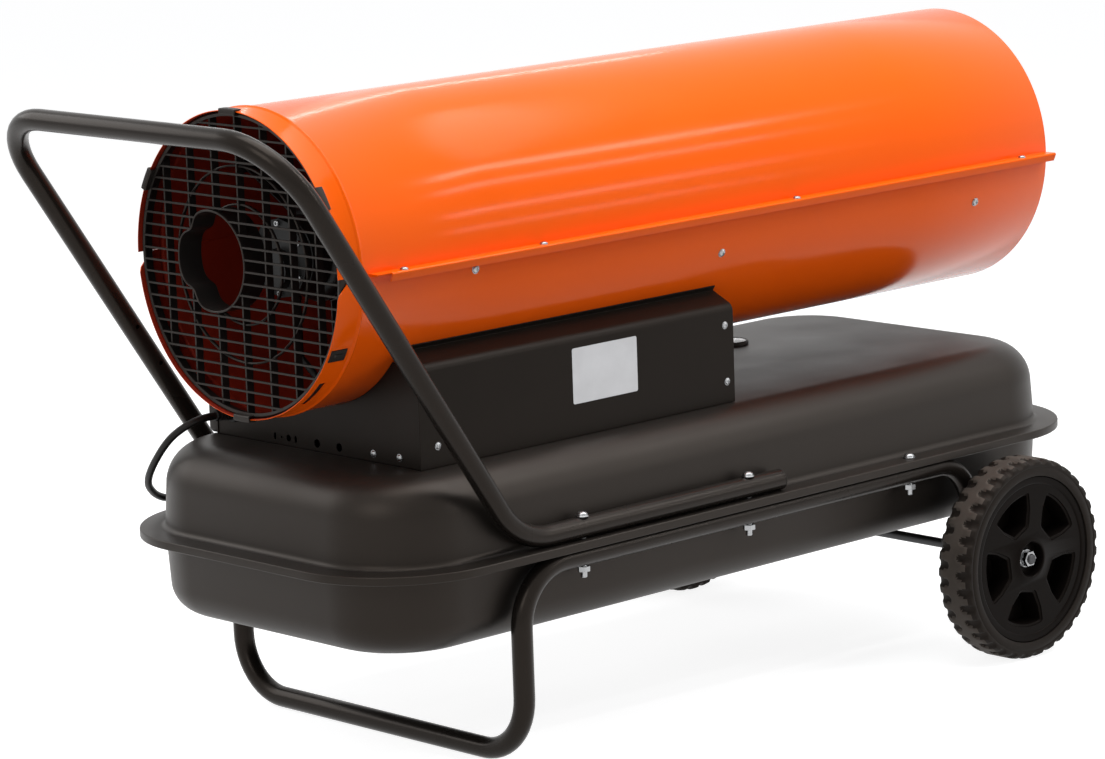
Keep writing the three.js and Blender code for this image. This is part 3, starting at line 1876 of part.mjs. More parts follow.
// Hoses: air from the pump and fuel from the filter, through the control box to the burner's nozzle

const hoseLevel = casingHeight - casingRadius + casingWall + 2 * hoseRadius;
const boxHoseLevel = filterTop + seat + hoseBend;
const nozzleSide = burnerBoreRadius;

function airHose() {
  const pumpMiddle = pumpPlace + pumpLength / 2;
  const line = new BentLine(
    [
      [pumpMiddle, 0, casingHeight - pumpRadius - seat],
      [pumpMiddle, 0, hoseLevel + 2 * hoseBend + airHoseDrop],
      [pumpMiddle, airHoseAside, hoseLevel + airHoseDrop],
      [pumpMiddle, airHoseAside, hoseLevel],
      [hoseHoleFrontPlace, airHoseAside, hoseLevel],
      [hoseHoleFrontPlace, airHoseAside, boxHoseLevel],
      [hoseHoleRearPlace, airHoseAside, boxHoseLevel],
      [hoseHoleRearPlace, airHoseAside, casingHeight],
      [hoseHoleRearPlace, -nozzleSide, casingHeight],
    ],
    [hoseBend],
    [hoseBendSteps],
  );
  return tube(line, hoseRadius, hoseSides);
}

function fuelHose() {
  const line = new BentLine(
    [
      [pickupPlace, pickupAside, filterTop + seat],
      [pickupPlace, pickupAside, boxHoseLevel],
      [hoseHoleRearPlace + hoseBend * 2, fuelHoseAside, boxHoseLevel],
      [hoseHoleRearPlace, fuelHoseAside, boxHoseLevel],
      [hoseHoleRearPlace, fuelHoseAside, casingHeight],
      [hoseHoleRearPlace, nozzleSide, casingHeight],
    ],
    [hoseBend],
    [hoseBendSteps],
  );
  return tube(line, hoseRadius, hoseSides);
}

// Strain relief of the power cord, in the front plate of the control box

const glandFace = boxStart - seat;
const glandTip = glandFace - glandFlange - glandLength;

function cordGland() {
  return spun(
    "x",
    [
      [glandTip, 0],
      [glandTip, glandTipRadius],
      [glandFace - glandFlange, glandRadius],
      [glandFace - glandFlange, glandFlangeRadius],
      [glandFace, glandFlangeRadius],
      [glandFace, glandNeck],
      [boxStart + boxWall + glandTail, glandNeck],
      [boxStart + boxWall + glandTail, 0],
    ],
    smallSteps,
    glandPlace,
    boxFloor + glandHeight,
  );
}

// Every piece of the machine, in the order of its assembly

piece("tank_lower_half", tankLower(), tankPaint);
piece("tank_upper_half", tankUpper(), tankPaint);
piece("filler_neck", fillerNeck(), zinc);
piece("filler_cap", fillerCap(), blackPlastic);
piece("fuel_gauge_case", gaugeCase(), chromed);
piece("fuel_gauge_needle", gaugeNeedle(), redPlastic);
piece("fuel_gauge_lens", gaugeLens(), clearPlastic);
piece("handle", handle(), blackPaint);
piece("foot_frame", footFrame(), blackPaint);
piece("axle", axle(), steel);
for (const { name, sign } of sides) {
  piece(`handle_end_plug_${name}`, handleEndPlug(sign), blackPlastic);
  piece(`wheel_rim_${name}`, wheelRim(sign), blackPlastic);
  piece(`tyre_${name}`, wheelTyre(sign), rubber);
  piece(`axle_nut_${name}`, axleNut(sign), zinc);
  boltPlaces.forEach((x, i) => piece(`flange_bolt_${name}_${i + 1}`, flangeBolt(x, sign), zinc));
}
piece("casing_lower", casingLower(), orangePaint);
piece("casing_upper", casingUpper(), orangePaint);
piece("inlet_grille", inletGrille(), blackPlastic);
piece("motor_bracket", motorBracket(), zinc);
piece("motor_body", motorBody(), steel);
piece("motor_shaft", motorShaft(), steel);
piece("fan", fan(), aluminium);
piece("pump_body", pumpBody(), aluminium);
piece("pump_rotor", pumpRotor(), steel);
piece("pump_cover", pumpCover(), aluminium);
piece("combustion_chamber", combustionChamber(), steel);
piece("chamber_rear_head", rearHead(), steel);
piece("flame_target", flameTarget(), steel);
piece("chamber_saddle_front", chamberSaddle(saddlePlaces[0]), zinc);
piece("chamber_saddle_rear", chamberSaddle(saddlePlaces[1]), zinc);
piece("burner_head", burnerBarrel(), aluminium);
piece("burner_nozzle", burnerNozzle(), brass);
piece("spark_electrodes", sparkElectrodes(), ceramic);
piece("flame_sensor", flameSensor(), clearPlastic);
piece("saddle_base", saddleBase(), blackPaint);
piece("near_side_cover", sideCover(-1), blackPaint);
piece("far_side_cover", farCover(), blackPaint);
piece("control_console", consoleHousing(), blackPlastic);
piece("power_switch_body", switchBody(), blackPlastic);
piece("power_switch_rocker", rocker(), redPlastic);
piece("thermostat_body", thermostatBody(), steel);
piece("thermostat_knob", thermostatKnob(), blackPlastic);
piece("ignition_transformer", ignitionTransformer(), steel);
piece("control_board", controlBoard(), greenBoard);
piece("fuel_filter", fuelFilter(), filterPlastic);
piece("fuel_hose", fuelHose(), rubber);
piece("air_hose", airHose(), rubber);
piece("cord_gland", cordGland(), blackPlastic);

// The machine leans until its foot tube and its wheels touch the same floor, its middle over the origin

const wheelbase = axlePlace - legPlace;
const climb = axleHeight - footBarHeight;
const radiusStep = wheelRadius - tubeRadius;
const lean = Math.asin(radiusStep / Math.hypot(wheelbase, climb)) - Math.atan2(climb, wheelbase);
machine.rotation.y = -lean;
machine.updateMatrixWorld(true);
const bounds = new THREE.Box3().setFromObject(machine, true);
const middle = bounds.getCenter(new THREE.Vector3());
machine.position.set(-middle.x, -middle.y, -bounds.min.z);
machine.updateMatrixWorld(true);

// The power cord lies in the floor's own frame. Its free run follows places chosen by hand.

const cordRoute = [
  [-445.1, 148, 377.7],
  [-454.8, 148.1, 377.4],
  [-464.7, 149.1, 376.1],
  [-473.6, 151.7, 373.4],
  [-481.6, 156, 369.1],
  [-487.7, 161.3, 363.7],
  [-491.9, 167.8, 357.4],
  [-493.8, 174.6, 350.7],
  [-494.2, 181.8, 343.8],
  [-493.7, 188.8, 337.1],
  [-492.6, 196, 330.2],
  [-490.8, 204.5, 322.2],
  [-488.2, 213.2, 314.1],
  [-484.8, 221.9, 306.1],
  [-480.5, 230.3, 298.5],
  [-475.3, 238, 291.3],
  [-469.1, 244.8, 284.9],
  [-462, 250.4, 279.3],
  [-448.1, 259.2, 270.2],
  [-431.5, 265.5, 263],
  [-411.5, 269, 258.5],
  [-389.5, 271.5, 253.5],
  [-367, 274, 246],
  [-345, 276.5, 234],
  [-325, 279, 217.5],
  [-306, 281.5, 197],
  [-287.5, 284, 174],
  [-268, 286.5, 150.5],
  [-246.5, 289.3, 127.5],
  [-223, 292, 105.5],
  [-197, 294.5, 85],
  [-169, 297, 67],
  [-139.5, 299.5, 51],
  [-109.5, 302, 37.5],
  [-79, 304.5, 25.5],
  [-48, 307, 15.5],
  [-17, 309.5, 8.6],
  [14, 311.4, 5.3],
  [32, 312, 4.8],
  [45, 312, 4.8],
];
const cordPlaces = cordRoute.map((place) => new THREE.Vector3(...place));
const cordCurve = new THREE.CatmullRomCurve3(cordPlaces);

// The coil spirals in on the floor, climbs a layer where it turns back, and spirals out on top. It starts
// and ends with a straight piece, and its turn starts where the free run ends.
const coilTurns = 2 * coilTurnsPerLayer + 1 / 2;
const coilStart = cordPlaces[cordPlaces.length - 1];

function coilPlaces(stepsPerTurn) {
  const steps = coilTurns * stepsPerTurn;
  const least = coilMeanDiameter / 2 - (coilPitch * coilTurns) / 4;
  const greatest = least + (coilPitch * coilTurns) / 2;
  const straight = 2 * cordRadius;
  const middle = coilStart.clone().add(new THREE.Vector3(seat + straight, greatest, 0));
  const climbStart = coilTurnsPerLayer / coilTurns;
  const places = Array.from({ length: steps + 1 }, (_, i) => {
    const share = i / steps;
    const radius = least + (greatest - least) * Math.abs(2 * share - 1);
    const climbed = THREE.MathUtils.smoothstep(share, climbStart, 1 - climbStart);
    const angle = 2 * Math.PI * coilTurns * share - Math.PI / 2;
    const arm = new THREE.Vector3(radius * Math.cos(angle), radius * Math.sin(angle), coilPitch * climbed);
    return arm.add(middle);
  });
  const first = places[0].clone().add(new THREE.Vector3(-straight, 0, 0));
  const last = places[steps].clone().add(new THREE.Vector3(-straight, 0, 0));
  return [first, ...places, last];
}

// The least distance between the surfaces of turns that lie half a turn or more apart along the cord
function leastCoilGap() {
  const perTurn = 4 * coilStepsPerTurn;
  const places = coilPlaces(perTurn);
  let least = Infinity;
  places.forEach((place, i) => {
    for (let k = i + perTurn / 2; k < places.length; k += 1) {
      least = Math.min(least, place.distanceTo(places[k]));
    }
  });
  return least - 2 * cordRadius;
}

const coil = new PlacedLine(coilPlaces(coilStepsPerTurn));
const cordLength = cordCurve.getLength() + new THREE.CatmullRomCurve3(coil.places).getLength();
console.log(`cord length ${cordLength.toFixed(0)} mm, least gap in the coil ${leastCoilGap().toFixed(2)} mm`);

// The plug has a ribbed neck, a waisted body, two flat blades and a round earth pin
function powerPlug() {
  const front = plugNeckLength + plugLength;
  const body = spun(
    "x",
    [
      [0, 0],
      [0, cordRadius + bladePlateThickness],
      [plugNeckLength, plugNeckRadius],
      [plugNeckLength, plugWaist],
      [plugNeckLength + plugLength / 3, plugWaist],
      [plugNeckLength + plugLength / 2, plugRadius],
      [front, plugRadius],
      [front, 0],
    ],
    16,
  );
  const blades = sides.map(({ sign }) => {
    const y = (sign * bladeSpacing) / 2;
    const half = bladePlateThickness / 2;
    return block(
      front - bladeLength,
      front + bladeLength,
      y - half,
      y + half,
      -bladeWidth / 2,
      bladeWidth / 2,
    );
  });
  const pin = disc("x", groundPinRadius, front - bladeLength, front + groundPinLength, 8, 0, -groundPinDrop);
  return joined(body, blades, pin);
}

const floor = new THREE.Group();
floor.add(machine);
piece("power_cord", tube(cordCurve, cordRadius, cordSides, 0, 0, cordSteps), rubber, floor);
piece("cord_coil", tube(coil, cordRadius, coilSides), rubber, floor);
const plug = piece("power_plug", powerPlug(), blackPlastic, floor);
plug.position.copy(coil.places[coil.steps]).add(new THREE.Vector3(-seat, 0, 0));
plug.rotation.z = Math.PI;

export default floor;
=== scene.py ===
# %% [markdown]
# # A diesel forced air heater
# A round orange casing holds a fan, a burner and a combustion chamber. It stands on a black fuel tank, and
# the tank hangs in bent tubes with a foot at one end and two wheels at the other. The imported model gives
# every piece its place and its size. This lesson gives the pieces their fine shapes, finishes, light and
# camera.

# %% Load the frame
import json
import math

import bmesh
import bpy
from mathutils import Matrix, Vector, geometry


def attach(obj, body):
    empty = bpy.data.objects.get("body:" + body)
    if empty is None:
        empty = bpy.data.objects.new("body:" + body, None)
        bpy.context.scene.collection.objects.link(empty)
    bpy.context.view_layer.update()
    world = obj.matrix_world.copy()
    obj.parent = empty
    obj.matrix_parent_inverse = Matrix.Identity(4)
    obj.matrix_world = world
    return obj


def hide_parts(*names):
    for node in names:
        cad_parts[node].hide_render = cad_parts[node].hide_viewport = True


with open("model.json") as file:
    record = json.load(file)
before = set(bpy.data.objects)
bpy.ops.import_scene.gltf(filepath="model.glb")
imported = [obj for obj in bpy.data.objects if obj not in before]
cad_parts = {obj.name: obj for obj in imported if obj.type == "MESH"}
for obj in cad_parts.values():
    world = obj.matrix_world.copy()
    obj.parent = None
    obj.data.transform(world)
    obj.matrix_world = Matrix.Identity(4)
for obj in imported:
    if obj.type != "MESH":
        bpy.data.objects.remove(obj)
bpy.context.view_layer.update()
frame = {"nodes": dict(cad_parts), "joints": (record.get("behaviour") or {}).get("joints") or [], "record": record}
record = frame["record"]

# %% [markdown]
# ## The machine's own axes
# The heater leans a little, because its foot and its wheels differ in height. Every piece is easier to draw
# square, along the casing, and to lean afterwards. The fan's axis, the filler cap's axis and a wheel's centre
# are in the frame, so the lean comes from them. Pieces that touch on the real machine are drawn a small gap
# apart.

# %% Find the machine's own axes
joints = {joint["name"]: joint for joint in frame["joints"]}
AXLE_PLACE = 0.998
AXLE_HEIGHT = -0.142
SIDES = ((-1, "near"), (1, "far"))
GAP = 0.0003
casing_way = Vector(joints["fan_spin"]["axis"]).normalized()
upward = Vector(joints["cap_lift"]["axis"]).normalized()
turn = Matrix((casing_way, Vector((0, 1, 0)), upward)).transposed()
wheel_place = Vector(joints["wheel_far_spin"]["pos_m"])
wheel_place.y = 0
to_row = Matrix.Translation(wheel_place - turn @ Vector((AXLE_PLACE, 0, AXLE_HEIGHT))) @ turn.to_4x4()
print("the machine leans", round(math.degrees(math.asin(casing_way.z)), 2), "degrees")

# %% [markdown]
# ## The camera
# A long lens from far away keeps the parallel edges nearly parallel, as in the picture. The place, the turn
# and the lens come from matching points of the real shape with the picture, and the shift keeps its framing.

# %% Set the camera
CAMERA_TARGET = Vector((-0.07228, 0, 0.35))
CAMERA_DISTANCE = 5.27084
CAMERA_AZIMUTH = math.radians(-43.298)
CAMERA_ELEVATION = math.radians(9.97)
CAMERA_ROLL = math.radians(-0.9286)
PICTURE_WIDTH = 1105
PICTURE_HEIGHT = 759
FOCAL_PIXELS = 4364.5
CENTRE_PIXEL_X = 531.94
CENTRE_PIXEL_Y = 412.1

back = Vector(
    (
        math.sin(CAMERA_AZIMUTH) * math.cos(CAMERA_ELEVATION),
        -math.cos(CAMERA_AZIMUTH) * math.cos(CAMERA_ELEVATION), math.sin(CAMERA_ELEVATION)
    )
)
level = Vector((math.cos(CAMERA_AZIMUTH), math.sin(CAMERA_AZIMUTH), 0))
rise = back.cross(level)
right = level * math.cos(CAMERA_ROLL) + rise * math.sin(CAMERA_ROLL)
head = rise * math.cos(CAMERA_ROLL) - level * math.sin(CAMERA_ROLL)
lens = bpy.data.cameras.new("camera")
lens.sensor_width = 36
lens.lens = FOCAL_PIXELS * lens.sensor_width / PICTURE_WIDTH
lens.shift_x = (PICTURE_WIDTH / 2 - CENTRE_PIXEL_X) / PICTURE_WIDTH
lens.shift_y = (CENTRE_PIXEL_Y - PICTURE_HEIGHT / 2) / PICTURE_WIDTH
lens.clip_end = 60
camera = bpy.data.objects.new("camera", lens)
bpy.context.collection.objects.link(camera)
view_turn = Matrix((right, head, back)).transposed()
camera.matrix_world = Matrix.Translation(CAMERA_TARGET + back * CAMERA_DISTANCE) @ view_turn.to_4x4()
bpy.context.scene.camera = camera
print("lens", round(lens.lens, 1), "mm")

# %% [markdown]
# ## Light, floor and backdrop
# The real casing shows long soft streaks, the picture of strip lights that run along it. A large soft light
# above gives the broad glow on its top. The room that lights the part is pale, and what the camera, a mirror
# or clear glass sees of it is white.

# %% Light the scene
STREAK_REACH = 3.0
STREAK_PLACE = 2.1
STREAK_CENTRE = 0.6
STREAK_LENGTH = 1.7
STREAKS = ((151, 0.04, 3), (53, 0.05, 19), (41, 0.04, 11), (22, 0.06, 10), (10, 0.06, 6))
ROOM_COLOR = (0.93, 0.95, 1.0, 1)
ROOM_GLOW = 0.27
WHITE = (1, 1, 1, 1)


def strip_light(name, place, target, width, length, power, along=(1, 0, 0)):
    """A soft light that faces a target, with its length turned along a given way."""
    lamp = bpy.data.lights.new(name, "AREA")
    lamp.shape = "RECTANGLE"
    lamp.size = length
    lamp.size_y = width
    lamp.energy = power
    holder = bpy.data.objects.new(name, lamp)
    bpy.context.collection.objects.link(holder)
    away = (Vector(place) - Vector(target)).normalized()
    side = (Vector(along) - away * away.dot(Vector(along))).normalized()
    facing = Matrix((side, away.cross(side), away)).transposed().to_4x4()
    holder.matrix_world = Matrix.Translation(place) @ facing


strip_light("overhead", (0.2, -0.3, 3.1), (0, 0, 0.5), 2.2, 3.4, 92)
strip_light("front_fill", (-3.4, -1.2, 2.2), (-0.4, 0, 0.5), 1.6, 1.6, 26, along=(0, 1, 0))
strip_light("far_fill", (-1.8, 2.8, 2.0), (0, 0, 0.5), 1.8, 2.4, 34)
for number, (rise_angle, width, power) in enumerate(STREAKS):
    above = math.radians(rise_angle)
    aside = -STREAK_REACH * math.cos(above)
    place = (STREAK_PLACE, aside, STREAK_CENTRE + STREAK_REACH * math.sin(above))
    target = (STREAK_PLACE, 0, STREAK_CENTRE)
    strip_light(f"streak_{number}", place, target, width, STREAK_LENGTH, power)


def fed(tree, node, inputs):
    """Gives each named input of a node its value, or a link from another node's output."""
    for name, value in inputs.items():
        if isinstance(value, bpy.types.NodeSocket):
            tree.links.new(value, node.inputs[name])
        else:
            node.inputs[name].default_value = value
    return node


def new_node(tree, kind, inputs, operation=None):
    node = tree.nodes.new(kind)
    if operation:
        node.operation = operation
    return fed(tree, node, inputs)


def bare_tree(owner):
    """The emptied node tree of a world or a material."""
    owner.use_nodes = True
    owner.node_tree.nodes.clear()
    return owner.node_tree


def white_share(tree):
    """One for rays from the camera, mirrors and glass, and nought for those that light the part."""
    ray = tree.nodes.new("ShaderNodeLightPath").outputs
    seen = new_node(tree, "ShaderNodeMath", {0: ray["Is Camera Ray"], 1: ray["Is Glossy Ray"]}, "MAXIMUM")
    through = {0: seen.outputs[0], 1: ray["Is Transmission Ray"]}
    return new_node(tree, "ShaderNodeMath", through, "MAXIMUM").outputs[0]


world = bpy.data.worlds.new("studio")
bpy.context.scene.world = world
world_tree = bare_tree(world)
room = new_node(world_tree, "ShaderNodeBackground", {"Color": ROOM_COLOR, "Strength": ROOM_GLOW})
white = new_node(world_tree, "ShaderNodeBackground", {"Color": WHITE, "Strength": 1})
world_parts = {"Fac": white_share(world_tree), 1: room.outputs[0], 2: white.outputs[0]}
world_mix = new_node(world_tree, "ShaderNodeMixShader", world_parts)
new_node(world_tree, "ShaderNodeOutputWorld", {"Surface": world_mix.outputs[0]})
bpy.context.scene.view_settings.view_transform = "Standard"

# %% Lay the floor
FLOOR_REACH = 14
FLOOR_DROP = 0.0005
FLOOR_PAINT = (0.45, 0.45, 0.45, 1)
FLOOR_GLOW = 0.87
floor_mesh = bpy.data.meshes.new("floor")
floor_corners = [
    (u * FLOOR_REACH, v * FLOOR_REACH, -FLOOR_DROP) for u, v in ((-1, -1), (1, -1), (1, 1), (-1, 1))
]
floor_mesh.from_pydata(floor_corners, [], [(0, 1, 2, 3)])
floor = bpy.data.objects.new("floor", floor_mesh)
bpy.context.collection.objects.link(floor)
floor_finish = bpy.data.materials.new("pale_floor")
floor_tree = bare_tree(floor_finish)
floor_paint = new_node(floor_tree, "ShaderNodeBsdfDiffuse", {"Color": FLOOR_PAINT})
floor_share = new_node(
    floor_tree, "ShaderNodeMath", {0: white_share(floor_tree), 1: FLOOR_GLOW}, "MULTIPLY"
)
floor_glow = new_node(
    floor_tree, "ShaderNodeEmission", {"Color": WHITE, "Strength": floor_share.outputs[0]}
)
floor_sum = new_node(
    floor_tree, "ShaderNodeAddShader", {0: floor_paint.outputs[0], 1: floor_glow.outputs[0]}
)
new_node(floor_tree, "ShaderNodeOutputMaterial", {"Surface": floor_sum.outputs[0]})
floor_mesh.materials.append(floor_finish)
print("floor laid")

# %% [markdown]
# ## Finishes
# Most of this machine is steel under powder coat, a baked paint with a skin like fine orange peel. One
# function makes such a coat: a fine noise moves the surface a few hundredths of a millimetre, and a wide
# one varies its colour and gloss a little. Plain metals and plastics come from the same function with other
# sizes.

# %% Make the finishes


PATCH_LOW = 0.3
PATCH_HIGH = 0.7
GRAIN_STRENGTH = 0.5


def coat(
    name, color, roughness, grain, depth, spread=0.06, metallic=0.0, uneven=0.05, patch=7.0, specular=0.5,
    tint=(1, 1, 1)
):
    """A finish with a fine grain of so many bumps a metre, and wide patches of slightly other colour."""
    finish = bpy.data.materials.new(name)
    finish.use_nodes = True
    tree = finish.node_tree
    places = tree.nodes.new("ShaderNodeTexCoord").outputs["Object"]
    fine = new_node(tree, "ShaderNodeTexNoise", {"Vector": places, "Scale": grain, "Detail": 2})
    bump = new_node(
        tree, "ShaderNodeBump",
        {"Height": fine.outputs["Fac"], "Strength": GRAIN_STRENGTH, "Distance": depth}
    )
    wide = new_node(
        tree, "ShaderNodeTexNoise", {"Vector": places, "Scale": patch, "Detail": 4}
    ).outputs["Fac"]
    tones = new_node(tree, "ShaderNodeValToRGB", {"Fac": wide})
    ramp = ((PATCH_LOW, 1 - spread), (PATCH_HIGH, 1 + spread))
    for stop, (place, share) in zip(tones.color_ramp.elements, ramp):
        stop.position = place
        stop.color = (*[min(1, channel * share) for channel in color], 1)
    reach = {"From Min": PATCH_LOW, "From Max": PATCH_HIGH}
    reach.update({"To Min": max(0.02, roughness - uneven), "To Max": min(1, roughness + uneven)})
    rough = new_node(tree, "ShaderNodeMapRange", {"Value": wide, **reach})
    inputs = {"Metallic": metallic, "Specular IOR Level": specular, "Specular Tint": (*tint, 1)}
    inputs.update({"Base Color": tones.outputs["Color"], "Roughness": rough.outputs["Result"]})
    fed(tree, tree.nodes["Principled BSDF"], {**inputs, "Normal": bump.outputs["Normal"]})
    return finish


ORANGE = (1.0, 0.122, 0.003)
WARM = (1, 0.84, 0.72)
orange_coat = coat(
    "orange_powder_coat", ORANGE, 0.15, 420, 0.00003, spread=0.02, uneven=0.02, specular=0.12,
    tint=(1, 0.62, 0.42)
)
tank_coat = coat(
    "textured_black_coat", (0.0125, 0.0103, 0.0088), 0.4, 1500, 0.00016, spread=0.12, specular=0.25,
    tint=WARM
)
tube_coat = coat(
    "satin_black_coat", (0.012, 0.0097, 0.0082), 0.26, 900, 0.00005, spread=0.12, specular=0.18, tint=WARM
)
box_coat = coat(
    "box_black_coat", (0.0085, 0.0064, 0.005), 0.38, 1200, 0.00008, spread=0.12, specular=0.1, tint=WARM
)
zinc = coat(
    "zinc_plate", (0.34, 0.345, 0.35), 0.26, 700, 0.00003, spread=0.08, metallic=1, uneven=0.08, patch=90
)
steel = coat("bare_steel", (0.33, 0.33, 0.34), 0.42, 800, 0.00004, spread=0.1, metallic=1, patch=30)
chrome = coat("bright_plate", (0.74, 0.75, 0.76), 0.1, 600, 0.00001, spread=0.03, metallic=1, uneven=0.03)
tinted_steel = coat(
    "heat_tinted_steel", (0.24, 0.17, 0.12), 0.46, 600, 0.00006, spread=0.35, metallic=1, patch=11
)
aluminium = coat(
    "cast_aluminium", (0.56, 0.57, 0.58), 0.45, 1100, 0.0001, spread=0.08, metallic=1, patch=25
)
brass = coat("turned_brass", (0.58, 0.4, 0.15), 0.3, 900, 0.00002, spread=0.08, metallic=1, patch=60)
plastic = coat(
    "moulded_black_plastic", (0.0105, 0.009, 0.008), 0.44, 1600, 0.00007, spread=0.1, specular=0.16,
    tint=WARM
)
grille_plastic = coat(
    "grille_plastic", (0.015, 0.013, 0.012), 0.4, 900, 0.00005, spread=0.12, specular=0.2, tint=WARM
)
rim_plastic = coat(
    "rim_plastic", (0.005, 0.0038, 0.0033), 0.36, 1300, 0.00006, spread=0.12, specular=0.04, tint=WARM
)
tyre_rubber = coat(
    "tyre_rubber", (0.01, 0.008, 0.0068), 0.55, 800, 0.0002, spread=0.2, patch=28, specular=0.12, tint=WARM
)
worn_tread = coat(
    "worn_tread", (0.048, 0.04, 0.034), 0.6, 800, 0.0002, spread=0.25, patch=28, specular=0.25, tint=WARM
)
cord_rubber = coat("cord_jacket", (0.008, 0.007, 0.0062), 0.45, 1400, 0.00005, spread=0.1, specular=0.2)
hose_rubber = coat("hose_rubber", (0.009, 0.008, 0.0072), 0.5, 1000, 0.00006, spread=0.1, specular=0.2)
ceramic = coat("glazed_ceramic", (0.82, 0.8, 0.72), 0.22, 500, 0.00002, spread=0.04)
board_green = coat("coated_board", (0.03, 0.15, 0.06), 0.35, 900, 0.00004, spread=0.12, patch=60)
signal_red = coat("signal_red", (0.46, 0.018, 0.014), 0.3, 900, 0.00002, spread=0.05)
white_print = coat("white_print", (0.78, 0.78, 0.76), 0.5, 1500, 0.00001, spread=0.03)
nylon = coat("milky_nylon", (0.66, 0.63, 0.54), 0.3, 700, 0.00003, spread=0.08)
foil = coat("bare_foil_label", (0.5, 0.5, 0.51), 0.36, 2200, 0.00002, spread=0.05, metallic=0.6, patch=40)
# A dark red for the shells' inner faces: painted shade, the shadow inside the casing.
painted_shade_inside = coat(
    "shaded_casing_inside", (0.24, 0.014, 0.003), 0.6, 500, 0.00004, spread=0.08, specular=0.2
)
# Black for the motor, the pump and the sensor inside the casing, where it is partly their enamel and partly
# painted shade. The transformer and the capacitors in the box are black themselves.
black_enamel_and_painted_shade = coat("motor_enamel", (0.012, 0.0115, 0.011), 0.4, 1100, 0.00006, spread=0.1, specular=0.25)
# A darker copy of the zinc for the bracket and the motor bolts inside the casing, where it is painted shade. The
# axle under the tank takes it as dull zinc.
dim_zinc_painted_shade = coat("dull_zinc", (0.07, 0.07, 0.072), 0.5, 700, 0.00004, spread=0.1, metallic=1, patch=60)
# The fan's near-black colour is painted shade of the casing's inside.
fan_black = coat("fan_black", (0.01, 0.0088, 0.008), 0.5, 900, 0.00004, spread=0.1, specular=0.2)
terminal_green = coat("terminal_green", (0.05, 0.24, 0.1), 0.4, 900, 0.00004, spread=0.05)
clear = bpy.data.materials.new("clear_window")
clear.use_nodes = True
clear_tree = clear.node_tree
ripple = new_node(clear_tree, "ShaderNodeTexNoise", {"Scale": 40})
haze = new_node(
    clear_tree, "ShaderNodeMapRange", {"Value": ripple.outputs["Fac"], "To Min": 0.03, "To Max": 0.12}
)
glass = {"Transmission Weight": 0.95, "IOR": 1.46, "Roughness": haze.outputs["Result"]}
fed(clear_tree, clear_tree.nodes["Principled BSDF"], glass)
print("finishes:", len(bpy.data.materials))

# %% [markdown]
# ## Small tools for shapes
# A shape here is a list of corners and a list of faces. Four ways of making one are enough: spinning a
# profile, sweeping a section along a path, skinning rings, and drawing out a flat outline that may have
# holes.

# %% Spin, sweep, skin and draw out

AXES = {"X": (1, 2, 0), "Y": (0, 2, 1), "Z": (0, 1, 2)}


def laid(axis, u, v, along):
    place = [0.0, 0.0, 0.0]
    first, second, third = AXES[axis]
    place[first] = u
    place[second] = v
    place[third] = along
    return tuple(place)


def spun(profile, steps, axis="X", centre=(0.0, 0.0), begin=0.0, end=360.0):
    """A closed profile of (along, radius) pairs turned round an axis, all the way or between two angles."""
    whole = end - begin >= 359.99
    rings = steps if whole else steps + 1
    count = len(profile)
    places = []
    for k in range(rings):
        angle = math.radians(begin + (end - begin) * k / steps)
        for along, radius in profile:
            u = centre[0] + radius * math.cos(angle)
            v = centre[1] + radius * math.sin(angle)
            places.append(laid(axis, u, v, along))
    faces = []
    for k in range(steps):
        low = k * count
        high = ((k + 1) % rings) * count
        for i in range(count):
            j = (i + 1) % count
            faces.append((low + i, low + j, high + j, high + i))
    if not whole:
        faces.append(tuple(range(count)))
        faces.append(tuple(range(steps * count, steps * count + count))[::-1])
    return places, faces


def skinned(rings, closed=False):
    """Rings of equally many corners, joined one to the next, with flat ends unless the rings close."""
    count = len(rings[0])
    places = [tuple(place) for ring in rings for place in ring]
    faces = []
    spans = len(rings) if closed else len(rings) - 1
    for r in range(spans):
        low = r * count
        high = ((r + 1) % len(rings)) * count
        for i in range(count):
            j = (i + 1) % count
            faces.append((low + i, low + j, high + j, high + i))
    if not closed:
        faces.append(tuple(range(count))[::-1])
        faces.append(tuple(range((len(rings) - 1) * count, len(rings) * count)))
    return places, faces


def carried(path, section):
    """The rings of a section of (u, v) pairs that is carried along a path without twist."""
    points = [Vector(point) for point in path]
    heading = (points[1] - points[0]).normalized()
    side = heading.orthogonal().normalized()
    rings = []
    for i, point in enumerate(points):
        before = points[max(i - 1, 0)]
        after = points[min(i + 1, len(points) - 1)]
        new_heading = (after - before).normalized()
        side = (side - new_heading * side.dot(new_heading)).normalized()
        other = new_heading.cross(side)
        rings.append([point + side * u + other * v for u, v in section])
    return rings


def swept(path, section):
    return skinned(carried(path, section))


def round_section(radius, sides):
    return [
        (radius * math.cos(2 * math.pi * k / sides), radius * math.sin(2 * math.pi * k / sides))
        for k in range(sides)
    ]


def offset(outline, distance):
    """An outline moved inwards by a distance, if its corners run against the clock."""
    moved = []
    count = len(outline)
    for i in range(count):
        before = Vector(outline[i - 1])
        here = Vector(outline[i])
        after = Vector(outline[(i + 1) % count])
        first = (here - before).normalized()
        second = (after - here).normalized()
        normal = Vector((-first.y - second.y, first.x + second.x))
        if normal.length < 1e-9:
            moved.append(tuple(here))
            continue
        normal.normalize()
        slant = max(0.3, normal.dot(Vector((-first.y, first.x))))
        moved.append(tuple(here + normal * (distance / slant)))
    return moved


def turned_left(outline):
    area = sum(a[0] * b[1] - b[0] * a[1] for a, b in zip(outline, outline[1:] + outline[:1]))
    return list(outline) if area > 0 else list(outline)[::-1]


